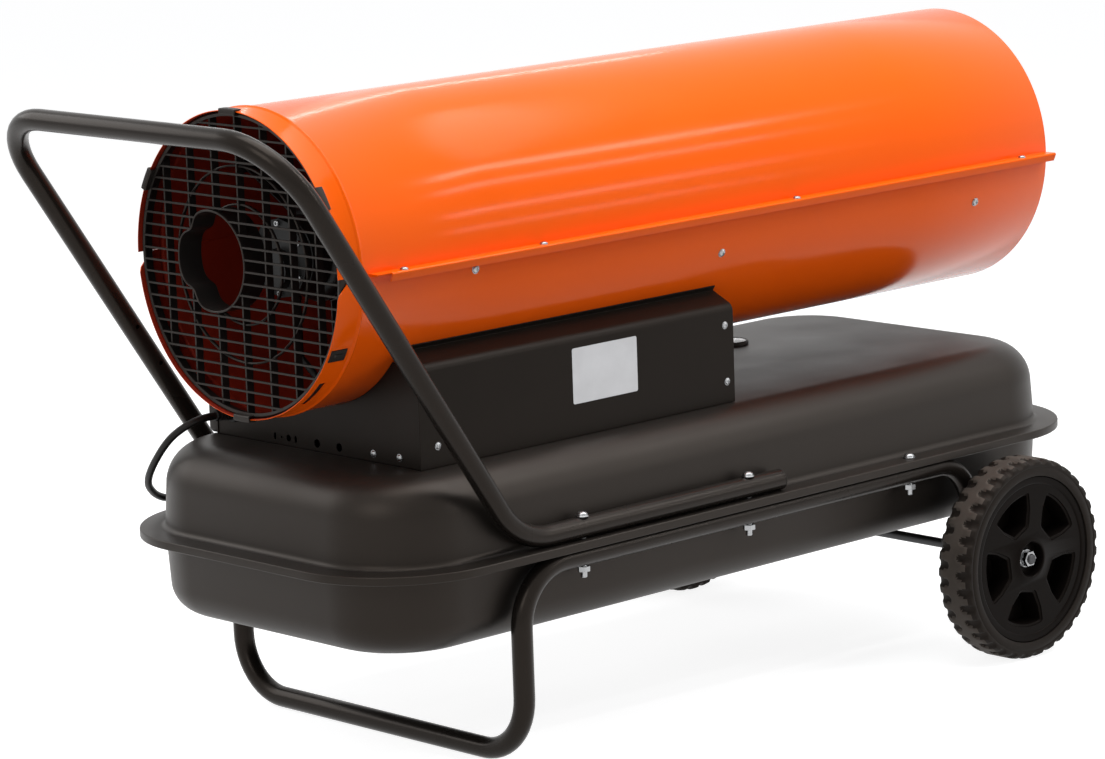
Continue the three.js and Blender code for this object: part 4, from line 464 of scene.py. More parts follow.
def drawn(outline, axis, low, high, holes=(), chamfer=0.0, hole_chamfer=0.0):
    """A flat outline with holes, drawn out between two places, with its edges broken by a chamfer."""
    loops = [(turned_left(outline), chamfer)] + [(turned_left(hole), -hole_chamfer) for hole in holes]
    places = []
    faces = []
    end_loops = {low: [], high: []}
    for loop, edge in loops:
        inner = offset(loop, edge) if edge else loop
        if edge:
            levels = [(inner, low), (loop, low + abs(edge)), (loop, high - abs(edge)), (inner, high)]
        else:
            levels = [(loop, low), (loop, high)]
        base = len(places)
        count = len(loop)
        for ring, along in levels:
            places.extend(laid(axis, u, v, along) for u, v in ring)
        for r in range(len(levels) - 1):
            for i in range(count):
                j = (i + 1) % count
                a = base + r * count
                faces.append((a + i, a + j, a + count + j, a + count + i))
        end_loops[low].append((inner, base))
        end_loops[high].append((inner, base + (len(levels) - 1) * count))
    for loops_here in end_loops.values():
        flat = [[Vector((u, v, 0)) for u, v in ring] for ring, _ in loops_here]
        index = [start + i for ring, start in loops_here for i in range(len(ring))]
        for triangle in geometry.tessellate_polygon(flat):
            faces.append(tuple(index[i] for i in triangle))
    return places, faces


def circle(u, v, radius, steps, begin=0.0, end=360.0):
    """Places on a circle, all round or from one angle to another."""
    spread = end - begin
    count = steps if spread >= 359.99 else steps + 1
    angles = [math.radians(begin + spread * k / steps) for k in range(count)]
    return [(u + radius * math.cos(angle), v + radius * math.sin(angle)) for angle in angles]


def rounded_rectangle(u0, u1, v0, v1, radius, steps=6):
    corners = [
        (u1 - radius, v1 - radius, 0), (u0 + radius, v1 - radius, 90), (u0 + radius, v0 + radius, 180),
        (u1 - radius, v0 + radius, 270)
    ]
    return [place for u, v, angle in corners for place in circle(u, v, radius, steps, angle, angle + 90)]


def raised(base, profile, way=1):
    """A profile whose places are counted from a base, forwards or backwards."""
    return [(base + way * along, radius) for along, radius in profile]


def rod(low, high, radius):
    """The profile of a plain rod for spun()."""
    return [(low, 0), (low, radius), (high, radius), (high, 0)]


def chamfered_rod(low, high, radius, chamfer):
    """The profile of a rod whose ends have a chamfer."""
    start = [(low, 0), (low, radius - chamfer), (low + chamfer, radius)]
    return start + [(high - chamfer, radius), (high, radius - chamfer), (high, 0)]


def brick(x0, x1, y0, y1, z0, z1, chamfer=0.0):
    return drawn([(x0, y0), (x1, y0), (x1, y1), (x0, y1)], "Z", z0, z1, chamfer=chamfer)


def moved(shape, matrix):
    places, faces = shape
    return [tuple(matrix @ Vector(place)) for place in places], faces


# %% [markdown]
# A finished piece is one mesh whose place is in its corners. It is leaned with the machine, its doubled
# corners are merged, its faces are turned outwards, and it is told which body it rides on.

# %% Turn shapes into pieces

body_of_node = {node: body for body, nodes in record["behaviour"]["bodies"].items() for node in nodes}


def merged_mesh(name, shapes, drop_slivers=False):
    """One mesh of closed shapes, with doubled corners merged and faces turned outwards."""
    places = []
    faces = []
    for shape_places, shape_faces in shapes:
        start = len(places)
        places.extend(shape_places)
        faces.extend(tuple(start + i for i in face) for face in shape_faces)
    mesh = bpy.data.meshes.new(name)
    mesh.from_pydata(places, [], faces)
    form = bmesh.new()
    form.from_mesh(mesh)
    bmesh.ops.remove_doubles(form, verts=form.verts, dist=2e-6)
    if drop_slivers:
        bmesh.ops.dissolve_degenerate(form, edges=form.edges, dist=1e-6)
    bmesh.ops.recalc_face_normals(form, faces=form.faces)
    form.to_mesh(mesh)
    form.free()
    return mesh


def piece(name, shapes, finish, slot, lean=True, **words):
    """One object from one or more closed shapes, leaned with the machine unless it hangs or lies free."""
    mesh = merged_mesh(name, [shapes] if isinstance(shapes, tuple) else shapes, drop_slivers=True)
    if lean:
        mesh.transform(to_row)
    return finished(bpy.data.objects.new(name, mesh), finish, slot, **words)


def finished(thing, finish, slot, node=None, stands_for=(), crease=32, edge=0.0, segments=2):
    """Gives an object its finish and its body; the slot is not used. It replaces the nodes that it stands for."""
    mesh = thing.data
    mesh.materials.clear()
    mesh.materials.append(finish)
    mesh.polygons.foreach_set("use_smooth", [True] * len(mesh.polygons))
    mesh.set_sharp_from_angle(angle=math.radians(crease))
    if thing.name not in bpy.context.collection.objects:
        bpy.context.collection.objects.link(thing)
    if edge > 0:
        bevel = thing.modifiers.new("broken_edges", "BEVEL")
        bevel.width = edge
        bevel.segments = segments
        bevel.limit_method = "ANGLE"
        bevel.angle_limit = math.radians(crease)
        bevel.harden_normals = True
    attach(thing, body_of_node[node or stands_for[0]])
    if stands_for:
        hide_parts(*stands_for)
    return thing


def refined(node, finish, slot, edge):
    """A copy of a frame node with merged corners, smooth rounds and broken edges, in the node's place."""
    mesh = frame["nodes"][node].data.copy()
    mesh.name = node + "_skin"
    form = bmesh.new()
    form.from_mesh(mesh)
    bmesh.ops.remove_doubles(form, verts=form.verts, dist=5e-6)
    bmesh.ops.dissolve_limit(form, angle_limit=math.radians(0.5), verts=form.verts, edges=form.edges)
    form.to_mesh(mesh)
    form.free()
    return finished(
        bpy.data.objects.new(mesh.name, mesh), finish, slot, stands_for=(node,), crease=40, edge=edge
    )


# %% [markdown]
# ## The power cord
# A rubber mains lead of 9 mm leaves the control box through a tapered gland, hangs down behind the tank,
# clears the foot frame and lies on the floor behind the machine, where its spare length is wound in a flat
# coil of two layers that ends in the plug. The route is given as a list of points and the coil is worked out.

# %% Wind the cord

CORD_RADIUS = 0.0045
CORD_SIDES = 14
COIL_MEAN_RADIUS = 0.045
COIL_PITCH = 0.0097
COIL_TURNS_PER_LAYER = 2
COIL_STEPS_PER_TURN = 36
CORD_ROUTE = [
    (-0.4451, 0.148, 0.3777), (-0.4548, 0.1481, 0.3774), (-0.4647, 0.1491, 0.3761),
    (-0.4736, 0.1517, 0.3734), (-0.4816, 0.156, 0.3691), (-0.4877, 0.1613, 0.3637),
    (-0.4919, 0.1678, 0.3574), (-0.4938, 0.1746, 0.3507), (-0.4942, 0.1818, 0.3438),
    (-0.4937, 0.1888, 0.3371), (-0.4926, 0.196, 0.3302), (-0.4908, 0.2045, 0.3222),
    (-0.4882, 0.2132, 0.3141), (-0.4848, 0.2219, 0.3061), (-0.4805, 0.2303, 0.2985),
    (-0.4753, 0.238, 0.2913), (-0.4691, 0.2448, 0.2849), (-0.462, 0.2504, 0.2793),
    (-0.4481, 0.2592, 0.2702), (-0.4315, 0.2655, 0.263), (-0.4115, 0.269, 0.2585),
    (-0.3895, 0.2715, 0.2535), (-0.367, 0.274, 0.246), (-0.345, 0.2765, 0.234), (-0.325, 0.279, 0.2175),
    (-0.306, 0.2815, 0.197), (-0.2875, 0.284, 0.174), (-0.268, 0.2865, 0.1505), (-0.2465, 0.2893, 0.1275),
    (-0.223, 0.292, 0.1055), (-0.197, 0.2945, 0.085), (-0.169, 0.297, 0.067), (-0.1395, 0.2995, 0.051),
    (-0.1095, 0.302, 0.0375), (-0.079, 0.3045, 0.0255), (-0.048, 0.307, 0.0155), (-0.017, 0.3095, 0.0086),
    (0.014, 0.3114, 0.0053), (0.032, 0.312, 0.0048), (0.045, 0.312, 0.0048)
]


def smooth_line(points, steps):
    """Points on a smooth curve through the given ones, by the centripetal rule."""
    line = []
    for i in range(len(points) - 1):
        p1 = Vector(points[i])
        p2 = Vector(points[i + 1])
        p0 = Vector(points[i - 1]) if i > 0 else p1 * 2 - p2
        p3 = Vector(points[i + 2]) if i + 2 < len(points) else p2 * 2 - p1
        t1 = (p1 - p0).length ** 0.5
        t2 = t1 + (p2 - p1).length ** 0.5
        t3 = t2 + (p3 - p2).length ** 0.5
        for k in range(steps):
            t = t1 + (t2 - t1) * k / steps
            a1 = p0 * ((t1 - t) / t1) + p1 * (t / t1)
            a2 = p1 * ((t2 - t) / (t2 - t1)) + p2 * ((t - t1) / (t2 - t1))
            a3 = p2 * ((t3 - t) / (t3 - t2)) + p3 * ((t - t2) / (t3 - t2))
            b1 = a1 * ((t2 - t) / t2) + a2 * (t / t2)
            b2 = a2 * ((t3 - t) / (t3 - t1)) + a3 * ((t - t1) / (t3 - t1))
            line.append(b1 * ((t2 - t) / (t2 - t1)) + b2 * ((t - t1) / (t2 - t1)))
    line.append(Vector(points[-1]))
    return line


def coil_line(start):
    turns = 2 * COIL_TURNS_PER_LAYER + 0.5
    steps = round(turns * COIL_STEPS_PER_TURN)
    least = COIL_MEAN_RADIUS - COIL_PITCH * turns / 4
    greatest = least + COIL_PITCH * turns / 2
    straight = 2 * CORD_RADIUS
    middle = Vector(start) + Vector((0.0003 + straight, greatest, 0))
    climb_start = COIL_TURNS_PER_LAYER / turns
    line = []
    for i in range(steps + 1):
        share = i / steps
        radius = least + (greatest - least) * abs(2 * share - 1)
        climb = min(1, max(0, (share - climb_start) / (1 - 2 * climb_start)))
        climb = climb * climb * (3 - 2 * climb)
        angle = 2 * math.pi * turns * share - math.pi / 2
        line.append(
            middle + Vector((radius * math.cos(angle), radius * math.sin(angle), COIL_PITCH * climb))
        )
    return line + [line[-1] - Vector((straight, 0, 0))]


free_run = smooth_line(CORD_ROUTE, 4)
cord_path = free_run + coil_line(CORD_ROUTE[-1])
power_cord = piece(
    "power_lead", swept(cord_path, round_section(CORD_RADIUS, CORD_SIDES)), cord_rubber, "rubber",
    stands_for=("power_cord", "cord_coil"), lean=False
)

# %% [markdown]
# The plug is moulded on: a ribbed neck that bends with the cord, a waisted grip, two flat blades and a round
# earth pin. It lies on the floor beside the coil.

# %% Mould the plug

PLUG_PLACE = cord_path[-1] - Vector((0.0003, 0, 0))
plug_profile = [(0, 0), (0, 0.0061), (0.001, 0.0066)]
for rib in range(5):
    start = 0.002 + 0.0044 * rib
    radius = 0.0066 + 0.00028 * rib
    plug_profile += [
        (start, radius), (start + 0.0006, radius + 0.0008), (start + 0.0026, radius + 0.0008),
        (start + 0.0032, radius)
    ]
plug_profile += [
    (0.024, 0.0082), (0.0252, 0.0112), (0.03, 0.0118), (0.037, 0.0115), (0.043, 0.0129), (0.048, 0.0134)
]
plug_profile += [(0.0565, 0.0134), (0.058, 0.0124), (0.058, 0)]
flip = Matrix.Translation(PLUG_PLACE) @ Matrix.Rotation(math.pi, 4, "Z")
plug_grip = moved(spun(plug_profile, 40, "X"), flip)
power_plug = piece("mains_plug", plug_grip, plastic, "rubber", stands_for=("power_plug",), lean=False)
blades = [
    brick(0.05, 0.0758, side - 0.0008, side + 0.0008, -0.00315, 0.00315, 0.0004)
    for side in (-0.00635, 0.00635)
]
earth = spun(
    [(0.05, 0), (0.05, 0.0024), (0.0765, 0.0024), (0.078, 0.0012), (0.078, 0)], 20, "X", (0, -0.008)
)
plug_pins = piece(
    "plug_pins", [moved(shape, flip) for shape in blades + [earth]], chrome, "rubber", node="power_plug",
    lean=False
)
print("plug at", tuple(round(value, 3) for value in PLUG_PLACE))

# %% [markdown]
# ## The casing
# Two half shells of thin sheet meet at the sides, where their flanges are screwed together. The upper
# flange folds down over the lower one. A rolled bead near the inlet stiffens the round, and the lower
# shell's front corners are cut back. Each shell is a thin profile spun through half a turn.

# %% Roll the casing shells

CASING_RADIUS = 0.1766
CASING_WALL = 0.0012
CASING_LENGTH = 1.205
CASING_AXIS = 0.3355
BEAD_START = 0.0315
BEAD_WIDTH = 0.0075
BEAD_HEIGHT = 0.0019
SEAM_GAP = 0.00015
SHELL_STEPS = 96


def shell_profile():
    outer = [(0.0004, CASING_RADIUS - 0.0004), (0.0008, CASING_RADIUS)]
    for k in range(9):
        share = k / 8
        outer.append(
            (
                BEAD_START + BEAD_WIDTH * share,
                CASING_RADIUS + BEAD_HEIGHT * math.sin(math.pi * share) ** 1.5
            )
        )
    outer += [(CASING_LENGTH * share, CASING_RADIUS) for share in (0.2, 0.4, 0.6, 0.8)]
    outer += [(CASING_LENGTH - 0.0008, CASING_RADIUS), (CASING_LENGTH, CASING_RADIUS - 0.0004)]
    inner = [(x, radius - CASING_WALL) for x, radius in outer[::-1]]
    inner[0] = (CASING_LENGTH, CASING_RADIUS - 0.0008)
    return outer + inner[:-1] + [(0.0004, CASING_RADIUS - 0.0008)]


CORNER_CUT = 0.02


def corner_cut(shape):
    """The lower shell's front corners, drawn back in a slant below the seam."""
    places, faces = shape
    cut = []
    for x, y, z in places:
        start = CORNER_CUT - (CASING_AXIS - z)
        cut.append((max(x, start) if start > 0 else x, y, z))
    return cut, faces


half_lift = math.degrees(SEAM_GAP / CASING_RADIUS)
upper_shell = spun(shell_profile(), SHELL_STEPS, "X", (0, CASING_AXIS), half_lift, 180 - half_lift)
lower_shell = corner_cut(
    spun(shell_profile(), SHELL_STEPS, "X", (0, CASING_AXIS), 180 + half_lift, 360 - half_lift)
)

FLANGE_WIDTH = 0.017
FLANGE_START = 0.045
LIP_START = 0.066
LIP_DEPTH = 0.009
LIP_TUCK = 0.0035
BEND_RADIUS = 0.0022


def upper_flange(side):
    root = CASING_RADIUS - CASING_WALL / 2
    edge = CASING_RADIUS + FLANGE_WIDTH
    low = CASING_AXIS + SEAM_GAP
    top = low + CASING_WALL
    middle = (edge - BEND_RADIUS, top - BEND_RADIUS)
    bend = circle(*middle, BEND_RADIUS, 6, 90, -8)
    inner_bend = circle(*middle, BEND_RADIUS - CASING_WALL, 6, -8, 90)
    end = (edge - LIP_TUCK, CASING_AXIS - LIP_DEPTH)
    lip = [(root, top)] + bend + [end, (end[0] - CASING_WALL, end[1] + 0.0002)] + inner_bend + [(root, low)]
    strip = [(root, low), (middle[0], low), (middle[0], top), (root, top)]
    full = drawn([(side * y, z) for y, z in lip], "X", LIP_START, CASING_LENGTH - 0.001)
    front = drawn([(side * y, z) for y, z in strip], "X", FLANGE_START, LIP_START)
    return [full, front]


def lower_flange(side):
    root = CASING_RADIUS - CASING_WALL / 2
    edge = CASING_RADIUS + FLANGE_WIDTH - LIP_TUCK - 2 * CASING_WALL
    high = CASING_AXIS - SEAM_GAP
    strip = [(root, high - CASING_WALL), (edge, high - CASING_WALL), (edge, high), (root, high)]
    return drawn([(side * y, z) for y, z in strip], "X", FLANGE_START, CASING_LENGTH - 0.001)


casing_upper = piece(
    "upper_shell", [upper_shell, *upper_flange(-1), *upper_flange(1)], orange_coat, "casing",
    stands_for=("casing_upper",)
)
print("upper shell", len(casing_upper.data.polygons), "faces")

# %% [markdown]
# ## Nodes that repeat a shape
# Screws are one shape in many places. A small node tree takes a cloud of points, each with a heading, and
# sets the shape on every point, turned to face along the heading. A second tree sets a shape round an axis,
# for hooks and fan blades. Both end in Realize Instances, so the result is a plain mesh.

# %% Build the trees that repeat a shape


def new_tree(name, inputs):
    """A tree that takes a geometry and the named inputs, and the sockets that bring them in."""
    tree = bpy.data.node_groups.new(name, "GeometryNodeTree")
    for way in ("INPUT", "OUTPUT"):
        tree.interface.new_socket("Geometry", in_out=way, socket_type="NodeSocketGeometry")
    for label, kind in inputs:
        tree.interface.new_socket(label, in_out="INPUT", socket_type="NodeSocket" + kind)
    return tree, tree.nodes.new("NodeGroupInput").outputs


def evaluated_mesh(thing):
    """A plain mesh of an object as its modifiers leave it."""
    bpy.context.view_layer.update()
    return bpy.data.meshes.new_from_object(thing.evaluated_get(bpy.context.evaluated_depsgraph_get()))


def grown(name, seed, tree, settings):
    """Runs a tree on a mesh and returns the plain mesh that comes out."""
    base = bpy.data.objects.new(name, seed)
    bpy.context.collection.objects.link(base)
    modifier = base.modifiers.new("growth", "NODES")
    modifier.node_group = tree
    names = {item.name: item.identifier for item in tree.interface.items_tree if item.in_out == "INPUT"}
    for label, value in settings.items():
        modifier[names[label]] = value
    result = evaluated_mesh(base)
    bpy.data.objects.remove(base)
    return result


def set_copies(tree, given, points, shape, **turned):
    """Ends a tree: sets a shape on points, makes the copies real and gives them the finish."""
    copies = new_node(tree, "GeometryNodeInstanceOnPoints", {"Points": points, "Instance": shape, **turned})
    real = new_node(tree, "GeometryNodeRealizeInstances", {"Geometry": copies.outputs["Instances"]})
    paint = {"Geometry": real.outputs["Geometry"], "Material": given["Finish"]}
    painted = new_node(tree, "GeometryNodeSetMaterial", paint)
    new_node(tree, "NodeGroupOutput", {"Geometry": painted.outputs["Geometry"]})
    return tree


def set_on_points_tree():
    """Copies of a shape on a cloud of points, each turned along its point's heading."""
    tree, given = new_tree(
        "set_on_points", [("Shape", "Object"), ("Size", "Float"), ("Finish", "Material")]
    )
    shape = new_node(tree, "GeometryNodeObjectInfo", {"Object": given["Shape"]}).outputs["Geometry"]
    heading = tree.nodes.new("GeometryNodeInputNamedAttribute")
    heading.data_type = "FLOAT_VECTOR"
    heading.inputs["Name"].default_value = "heading"
    aim = tree.nodes.new("FunctionNodeAlignRotationToVector")
    aim.axis = "Z"
    fed(tree, aim, {"Vector": heading.outputs["Attribute"]})
    turned = {"Rotation": aim.outputs["Rotation"], "Scale": given["Size"]}
    return set_copies(tree, given, given["Geometry"], shape, **turned)


def round_the_axis_tree():
    """Copies of a shape turned about X, as many as Count, the first one by First Turn."""
    inputs = [("Shape", "Object"), ("Count", "Int"), ("First Turn", "Float"), ("Finish", "Material")]
    tree, given = new_tree("round_the_axis", inputs)
    shape = new_node(tree, "GeometryNodeObjectInfo", {"Object": given["Shape"]}).outputs["Geometry"]
    line = new_node(tree, "GeometryNodeMeshLine", {"Offset": (0, 0, 0), "Count": given["Count"]})
    number = tree.nodes.new("GeometryNodeInputIndex").outputs["Index"]
    share = new_node(tree, "ShaderNodeMath", {0: number, 1: given["Count"]}, "DIVIDE")
    turned_by = {0: share.outputs[0], 1: 2 * math.pi, 2: given["First Turn"]}
    angle = new_node(tree, "ShaderNodeMath", turned_by, "MULTIPLY_ADD")
    around = new_node(tree, "ShaderNodeCombineXYZ", {"X": angle.outputs[0]})
    return set_copies(tree, given, line.outputs["Mesh"], shape, Rotation=around.outputs["Vector"])


set_on_points = set_on_points_tree()
round_the_axis = round_the_axis_tree()


def template(name, shapes):
    """A shape that the trees copy or a Boolean uses. It isn't shown and isn't part of the heater."""
    return bpy.data.objects.new(name, merged_mesh(name, shapes))


def shown_mesh(name, mesh, finish, slot, centre=(0.0, 0.0, 0.0), **words):
    mesh.name = name
    mesh.transform(Matrix.Translation(centre))
    mesh.transform(to_row)
    return finished(bpy.data.objects.new(name, mesh), finish, slot, **words)


def set_screws(name, shape, places, headings, node, size=1.0):
    """Zinc screws on a list of places, each along its own heading."""
    cloud = bpy.data.meshes.new(name + "_places")
    cloud.from_pydata(places, [], [])
    directions = cloud.attributes.new("heading", "FLOAT_VECTOR", "POINT")
    for i, heading in enumerate(headings):
        directions.data[i].vector = Vector(heading).normalized()
    mesh = grown(cloud.name, cloud, set_on_points, {"Shape": shape, "Size": size, "Finish": zinc})
    return shown_mesh(name, mesh, zinc, "zinc", node=node)


def round_row(name, shape, count, first_turn, finish, slot, centre, **words):
    """Count copies of a template round the casing's axis or any axis along X."""
    seed = bpy.data.meshes.new(name + "_seed")
    settings = {"Shape": shape, "Count": count, "First Turn": math.radians(first_turn), "Finish": finish}
    return shown_mesh(name, grown(seed.name, seed, round_the_axis, settings), finish, slot, centre, **words)


print("trees:", ", ".join(tree.name for tree in bpy.data.node_groups))

# %% [markdown]
# ## Screws of the casing
# Pan head screws with a cross recess hold the flanges and the brackets inside. The recess is cut from one
# spun head with a Boolean, once, and the tree repeats that head.

# %% Cut one screw head and set the casing's screws


def carved(thing, cutters):
    """An object's mesh with the cutters' shapes taken away."""
    bpy.context.collection.objects.link(thing)
    for cutter in cutters:
        bpy.context.collection.objects.link(cutter)
        knife = thing.modifiers.new("knife", "BOOLEAN")
        knife.operation = "DIFFERENCE"
        knife.solver = "EXACT"
        knife.object = cutter
    result = evaluated_mesh(thing)
    for cutter in cutters:
        bpy.data.objects.remove(cutter)
    name = thing.name
    bpy.data.objects.remove(thing)
    return bpy.data.objects.new(name, result)


SCREW_RADIUS = 0.0046
head_profile = [
    (-0.004, 0), (-0.004, 0.0019), (0, 0.0019), (0, SCREW_RADIUS + 0.0008), (0.0006, SCREW_RADIUS + 0.0008)
]
head_profile += [(0.0007, SCREW_RADIUS)]
head_profile += [
    (0.0012 + 0.0018 * math.sin(math.radians(a)), SCREW_RADIUS * math.cos(math.radians(a)))
    for a in (0, 20, 40, 60, 78)
]
head_profile += [(0.003, 0)]
screw_blank = template("screw_head", [spun(head_profile, 28, "Z")])
cross = [
    brick(-0.0024, 0.0024, -0.0005, 0.0005, 0.0016, 0.006),
    brick(-0.0005, 0.0005, -0.0024, 0.0024, 0.0016, 0.006)
]
screw_head = carved(screw_blank, [template("cross_bar_a", cross[:1]), template("cross_bar_b", cross[1:])])

FLANGE_SCREW_ASIDE = 0.1862
SIDE_SCREWS = ((0.206, -5.0), (0.612, -17.0), (1.072, -15.7))
flange_level = CASING_AXIS + SEAM_GAP + CASING_WALL
flange_places = [
    (x, side * FLANGE_SCREW_ASIDE, flange_level)
    for x in (0.0895, 0.3039, 0.7269, 1.1453)
    for side in (-1, 1)
]
set_screws("flange_screws", screw_head, flange_places, [(0, 0, 1)] * len(flange_places), "casing_upper")
side_places = []
side_headings = []
for x, angle in SIDE_SCREWS:
    for side in (-1, 1):
        out = Vector((0, side * math.cos(math.radians(angle)), math.sin(math.radians(angle))))
        side_places.append(tuple(Vector((x, 0, CASING_AXIS)) + out * CASING_RADIUS))
        side_headings.append(tuple(out))
set_screws("casing_side_screws", screw_head, side_places, side_headings, "casing_lower")
screw_tip = template(
    "screw_tip", [spun([(0, 0), (0, 0.0018), (0.005, 0.0018), (0.0065, 0.0008), (0.0065, 0)], 12, "Z")]
)
tip_places = [(x, y, CASING_AXIS - SEAM_GAP - CASING_WALL) for x, y, _ in flange_places]
set_screws("flange_screw_tips", screw_tip, tip_places, [(0, 0, -1)] * len(tip_places), "casing_lower")
print("casing screws:", len(flange_places) + len(side_places))

# %% [markdown]
# The lower shell is pierced before it is bent: two slots near its front corner take tabs of the grille, and
# three round holes in its floor let the hoses through. Here the cuts are Booleans on the spun shell, and the
# flanges join the result. The inside of both shells lies in its own shade, and that shade is painted on its
# faces as a darker colour.

# %% Pierce the lower shell and paint shade on the insides


def as_shape(thing):
    """The places and faces of an object that is then dropped."""
    mesh = thing.data
    shape = (
        [tuple(corner.co) for corner in mesh.vertices], [tuple(face.vertices) for face in mesh.polygons]
    )
    bpy.data.objects.remove(thing)
    return shape


def shell_slot(name, begin, end, start_angle, end_angle):
    section = [
        (begin, CASING_RADIUS - 0.006), (end, CASING_RADIUS - 0.006), (end, CASING_RADIUS + 0.006),
        (begin, CASING_RADIUS + 0.006)
    ]
    return template(name, [spun(section, 8, "X", (0, CASING_AXIS), start_angle, end_angle)])


HOSE_HOLE_RADIUS = 0.006
HOSE_HOLES = ((0.184, -0.026), (0.3, -0.026), (0.3, 0.026))
TAB_SLOT = (0.0035, 0.028, 207.5, 213.0)
OPEN_SLOT = (0.009, 0.018, 224.0, 239.0)
casing_floor = CASING_AXIS - CASING_RADIUS
shell_cutters = [shell_slot("tab_slot", *TAB_SLOT), shell_slot("open_slot", *OPEN_SLOT)]
for number, place in enumerate(HOSE_HOLES):
    hole = spun(rod(casing_floor - 0.006, casing_floor + 0.012, HOSE_HOLE_RADIUS), 20, "Z", place)
    shell_cutters.append(template(f"hose_hole_{number}", [hole]))
pierced = as_shape(carved(template("lower_shell_blank", [lower_shell]), shell_cutters))
casing_lower = piece(
    "lower_shell", [pierced, lower_flange(-1), lower_flange(1)], orange_coat, "casing",
    stands_for=("casing_lower",)
)
axis_start = to_row @ Vector((0, 0, CASING_AXIS))
sheet_middle = CASING_RADIUS + BEAD_HEIGHT - CASING_WALL * 0.5
# The inner faces of both shells get the painted shade.
for shell in (casing_upper, casing_lower):
    shell.data.materials.append(painted_shade_inside)
    for face in shell.data.polygons:
        out = face.center - axis_start
        out -= casing_way * out.dot(casing_way)
        if out.length < sheet_middle and face.normal.dot(out) < -0.5 * out.length:
            face.material_index = 1
print("lower shell", len(casing_lower.data.polygons), "faces")

# %% [markdown]
# ## The inlet grille
# It is one moulding: level bars in front, upright ribs and two rings behind them, a rim, a deep collar round
# the window, and hooks that clip over the casing's edge. Every bar is as long as the circle allows at its
# height, so a rule makes the field of bars: a node tree sets one bar on each line and scales it to the chord.

# %% Grow the bars and ribs of the grille

GRILLE_FRONT = 0.005
GRILLE_DEPTH = 0.013
GRILLE_RIM = 0.005
GRILLE_RADIUS = CASING_RADIUS - CASING_WALL - 0.001
BAR_PITCH = 0.0138
BAR_HEIGHT = 0.0022
BAR_DEPTH = 0.003
RIB_PITCH = 0.0439
RIB_WIDTH = 0.0026
RIB_COUNT = 7
RING_RADII = (0.114, 0.07)


def chord_field_tree():
    """Bars across a round field, a pitch apart, each as long as the circle is wide at its place."""
    inputs = [(label, "Float") for label in ("Radius", "Pitch", "First", "Thickness", "Depth")]
    tree, given = new_tree("chord_field", inputs + [("Count", "Int"), ("Finish", "Material")])

    def result_of(operation, *sources):
        return new_node(tree, "ShaderNodeMath", dict(enumerate(sources)), operation).outputs[0]

    line = new_node(tree, "GeometryNodeMeshLine", {"Offset": (0, 0, 0), "Count": given["Count"]})
    number = tree.nodes.new("GeometryNodeInputIndex").outputs["Index"]
    place = result_of("MULTIPLY_ADD", number, given["Pitch"], given["First"])
    off_centre = result_of("POWER", result_of("ABSOLUTE", place), 2.0)
    squared = result_of("SUBTRACT", result_of("POWER", given["Radius"], 2.0), off_centre)
    chord = result_of("MULTIPLY", result_of("SQRT", squared), 2.0)
    lift = new_node(tree, "ShaderNodeCombineXYZ", {"Z": place}).outputs["Vector"]
    raised = new_node(tree, "GeometryNodeSetPosition", {"Geometry": line.outputs["Mesh"], "Position": lift})
    sizes = new_node(tree, "ShaderNodeCombineXYZ", {"X": given["Depth"], "Y": 1, "Z": given["Thickness"]})
    bar = new_node(tree, "GeometryNodeMeshCube", {"Size": sizes.outputs["Vector"]}).outputs["Mesh"]
    stretch = new_node(tree, "ShaderNodeCombineXYZ", {"X": 1, "Y": chord, "Z": 1})
    return set_copies(tree, given, raised.outputs["Geometry"], bar, Scale=stretch.outputs["Vector"])


chord_field = chord_field_tree()


def field_of_bars(name, pitch, count, thickness, depth, place, upright):
    """Count bars with the middle of the field on the casing's axis, as an object that isn't finished yet."""
    settings = {"Radius": GRILLE_RADIUS - GRILLE_RIM / 2, "Pitch": pitch, "First": -(count - 1) / 2 * pitch}
    settings.update({"Count": count, "Thickness": thickness, "Depth": depth, "Finish": grille_plastic})
    mesh = grown(name + "_seed", bpy.data.meshes.new(name), chord_field, settings)
    if upright:
        mesh.transform(Matrix.Rotation(math.pi / 2, 4, "X"))
    mesh.transform(Matrix.Translation((place, 0, CASING_AXIS)))
    return bpy.data.objects.new(name, mesh)


bar_count = 2 * int((GRILLE_RADIUS - GRILLE_RIM / 2) / BAR_PITCH)
bars_place = GRILLE_FRONT + BAR_DEPTH / 2
bars = field_of_bars("grille_bars", BAR_PITCH, bar_count, BAR_HEIGHT, BAR_DEPTH, bars_place, False)
rib_depth = GRILLE_DEPTH - BAR_DEPTH
ribs_place = GRILLE_FRONT + BAR_DEPTH + rib_depth / 2
ribs = field_of_bars("grille_ribs", RIB_PITCH, RIB_COUNT, RIB_WIDTH, rib_depth, ribs_place, True)
print("bars:", bar_count, "ribs:", RIB_COUNT)

# %% [markdown]
# The window's collar isn't quite round. Its outline swells a little to the far side and is pinched above and
# below that, so its radius is a rule of the angle. The bars and ribs are cut where the window opens, with a
# Boolean, and the collar closes their ends.

# %% Mould the window's collar, the rings and the rim

WINDOW_ASIDE = 0.049
WINDOW_RADIUS = 0.057
WINDOW_PINCH = 0.009
WINDOW_PINCH_ANGLE = 46
WINDOW_PINCH_SPREAD = 14
WINDOW_WALL = 0.0025
COLLAR_DEPTH = 0.033
WINDOW_STEPS = 120


def window_outline(grow):
    outline = []
    for k in range(WINDOW_STEPS):
        turned = 360 * k / WINDOW_STEPS
        from_far_side = min(turned, 360 - turned)
        pinch = WINDOW_PINCH * math.exp(
            -(((from_far_side - WINDOW_PINCH_ANGLE) / WINDOW_PINCH_SPREAD) ** 2)
        )
        radius = WINDOW_RADIUS + grow - pinch
        angle = math.radians(turned)
        outline.append((WINDOW_ASIDE + radius * math.cos(angle), CASING_AXIS + radius * math.sin(angle)))
    return outline


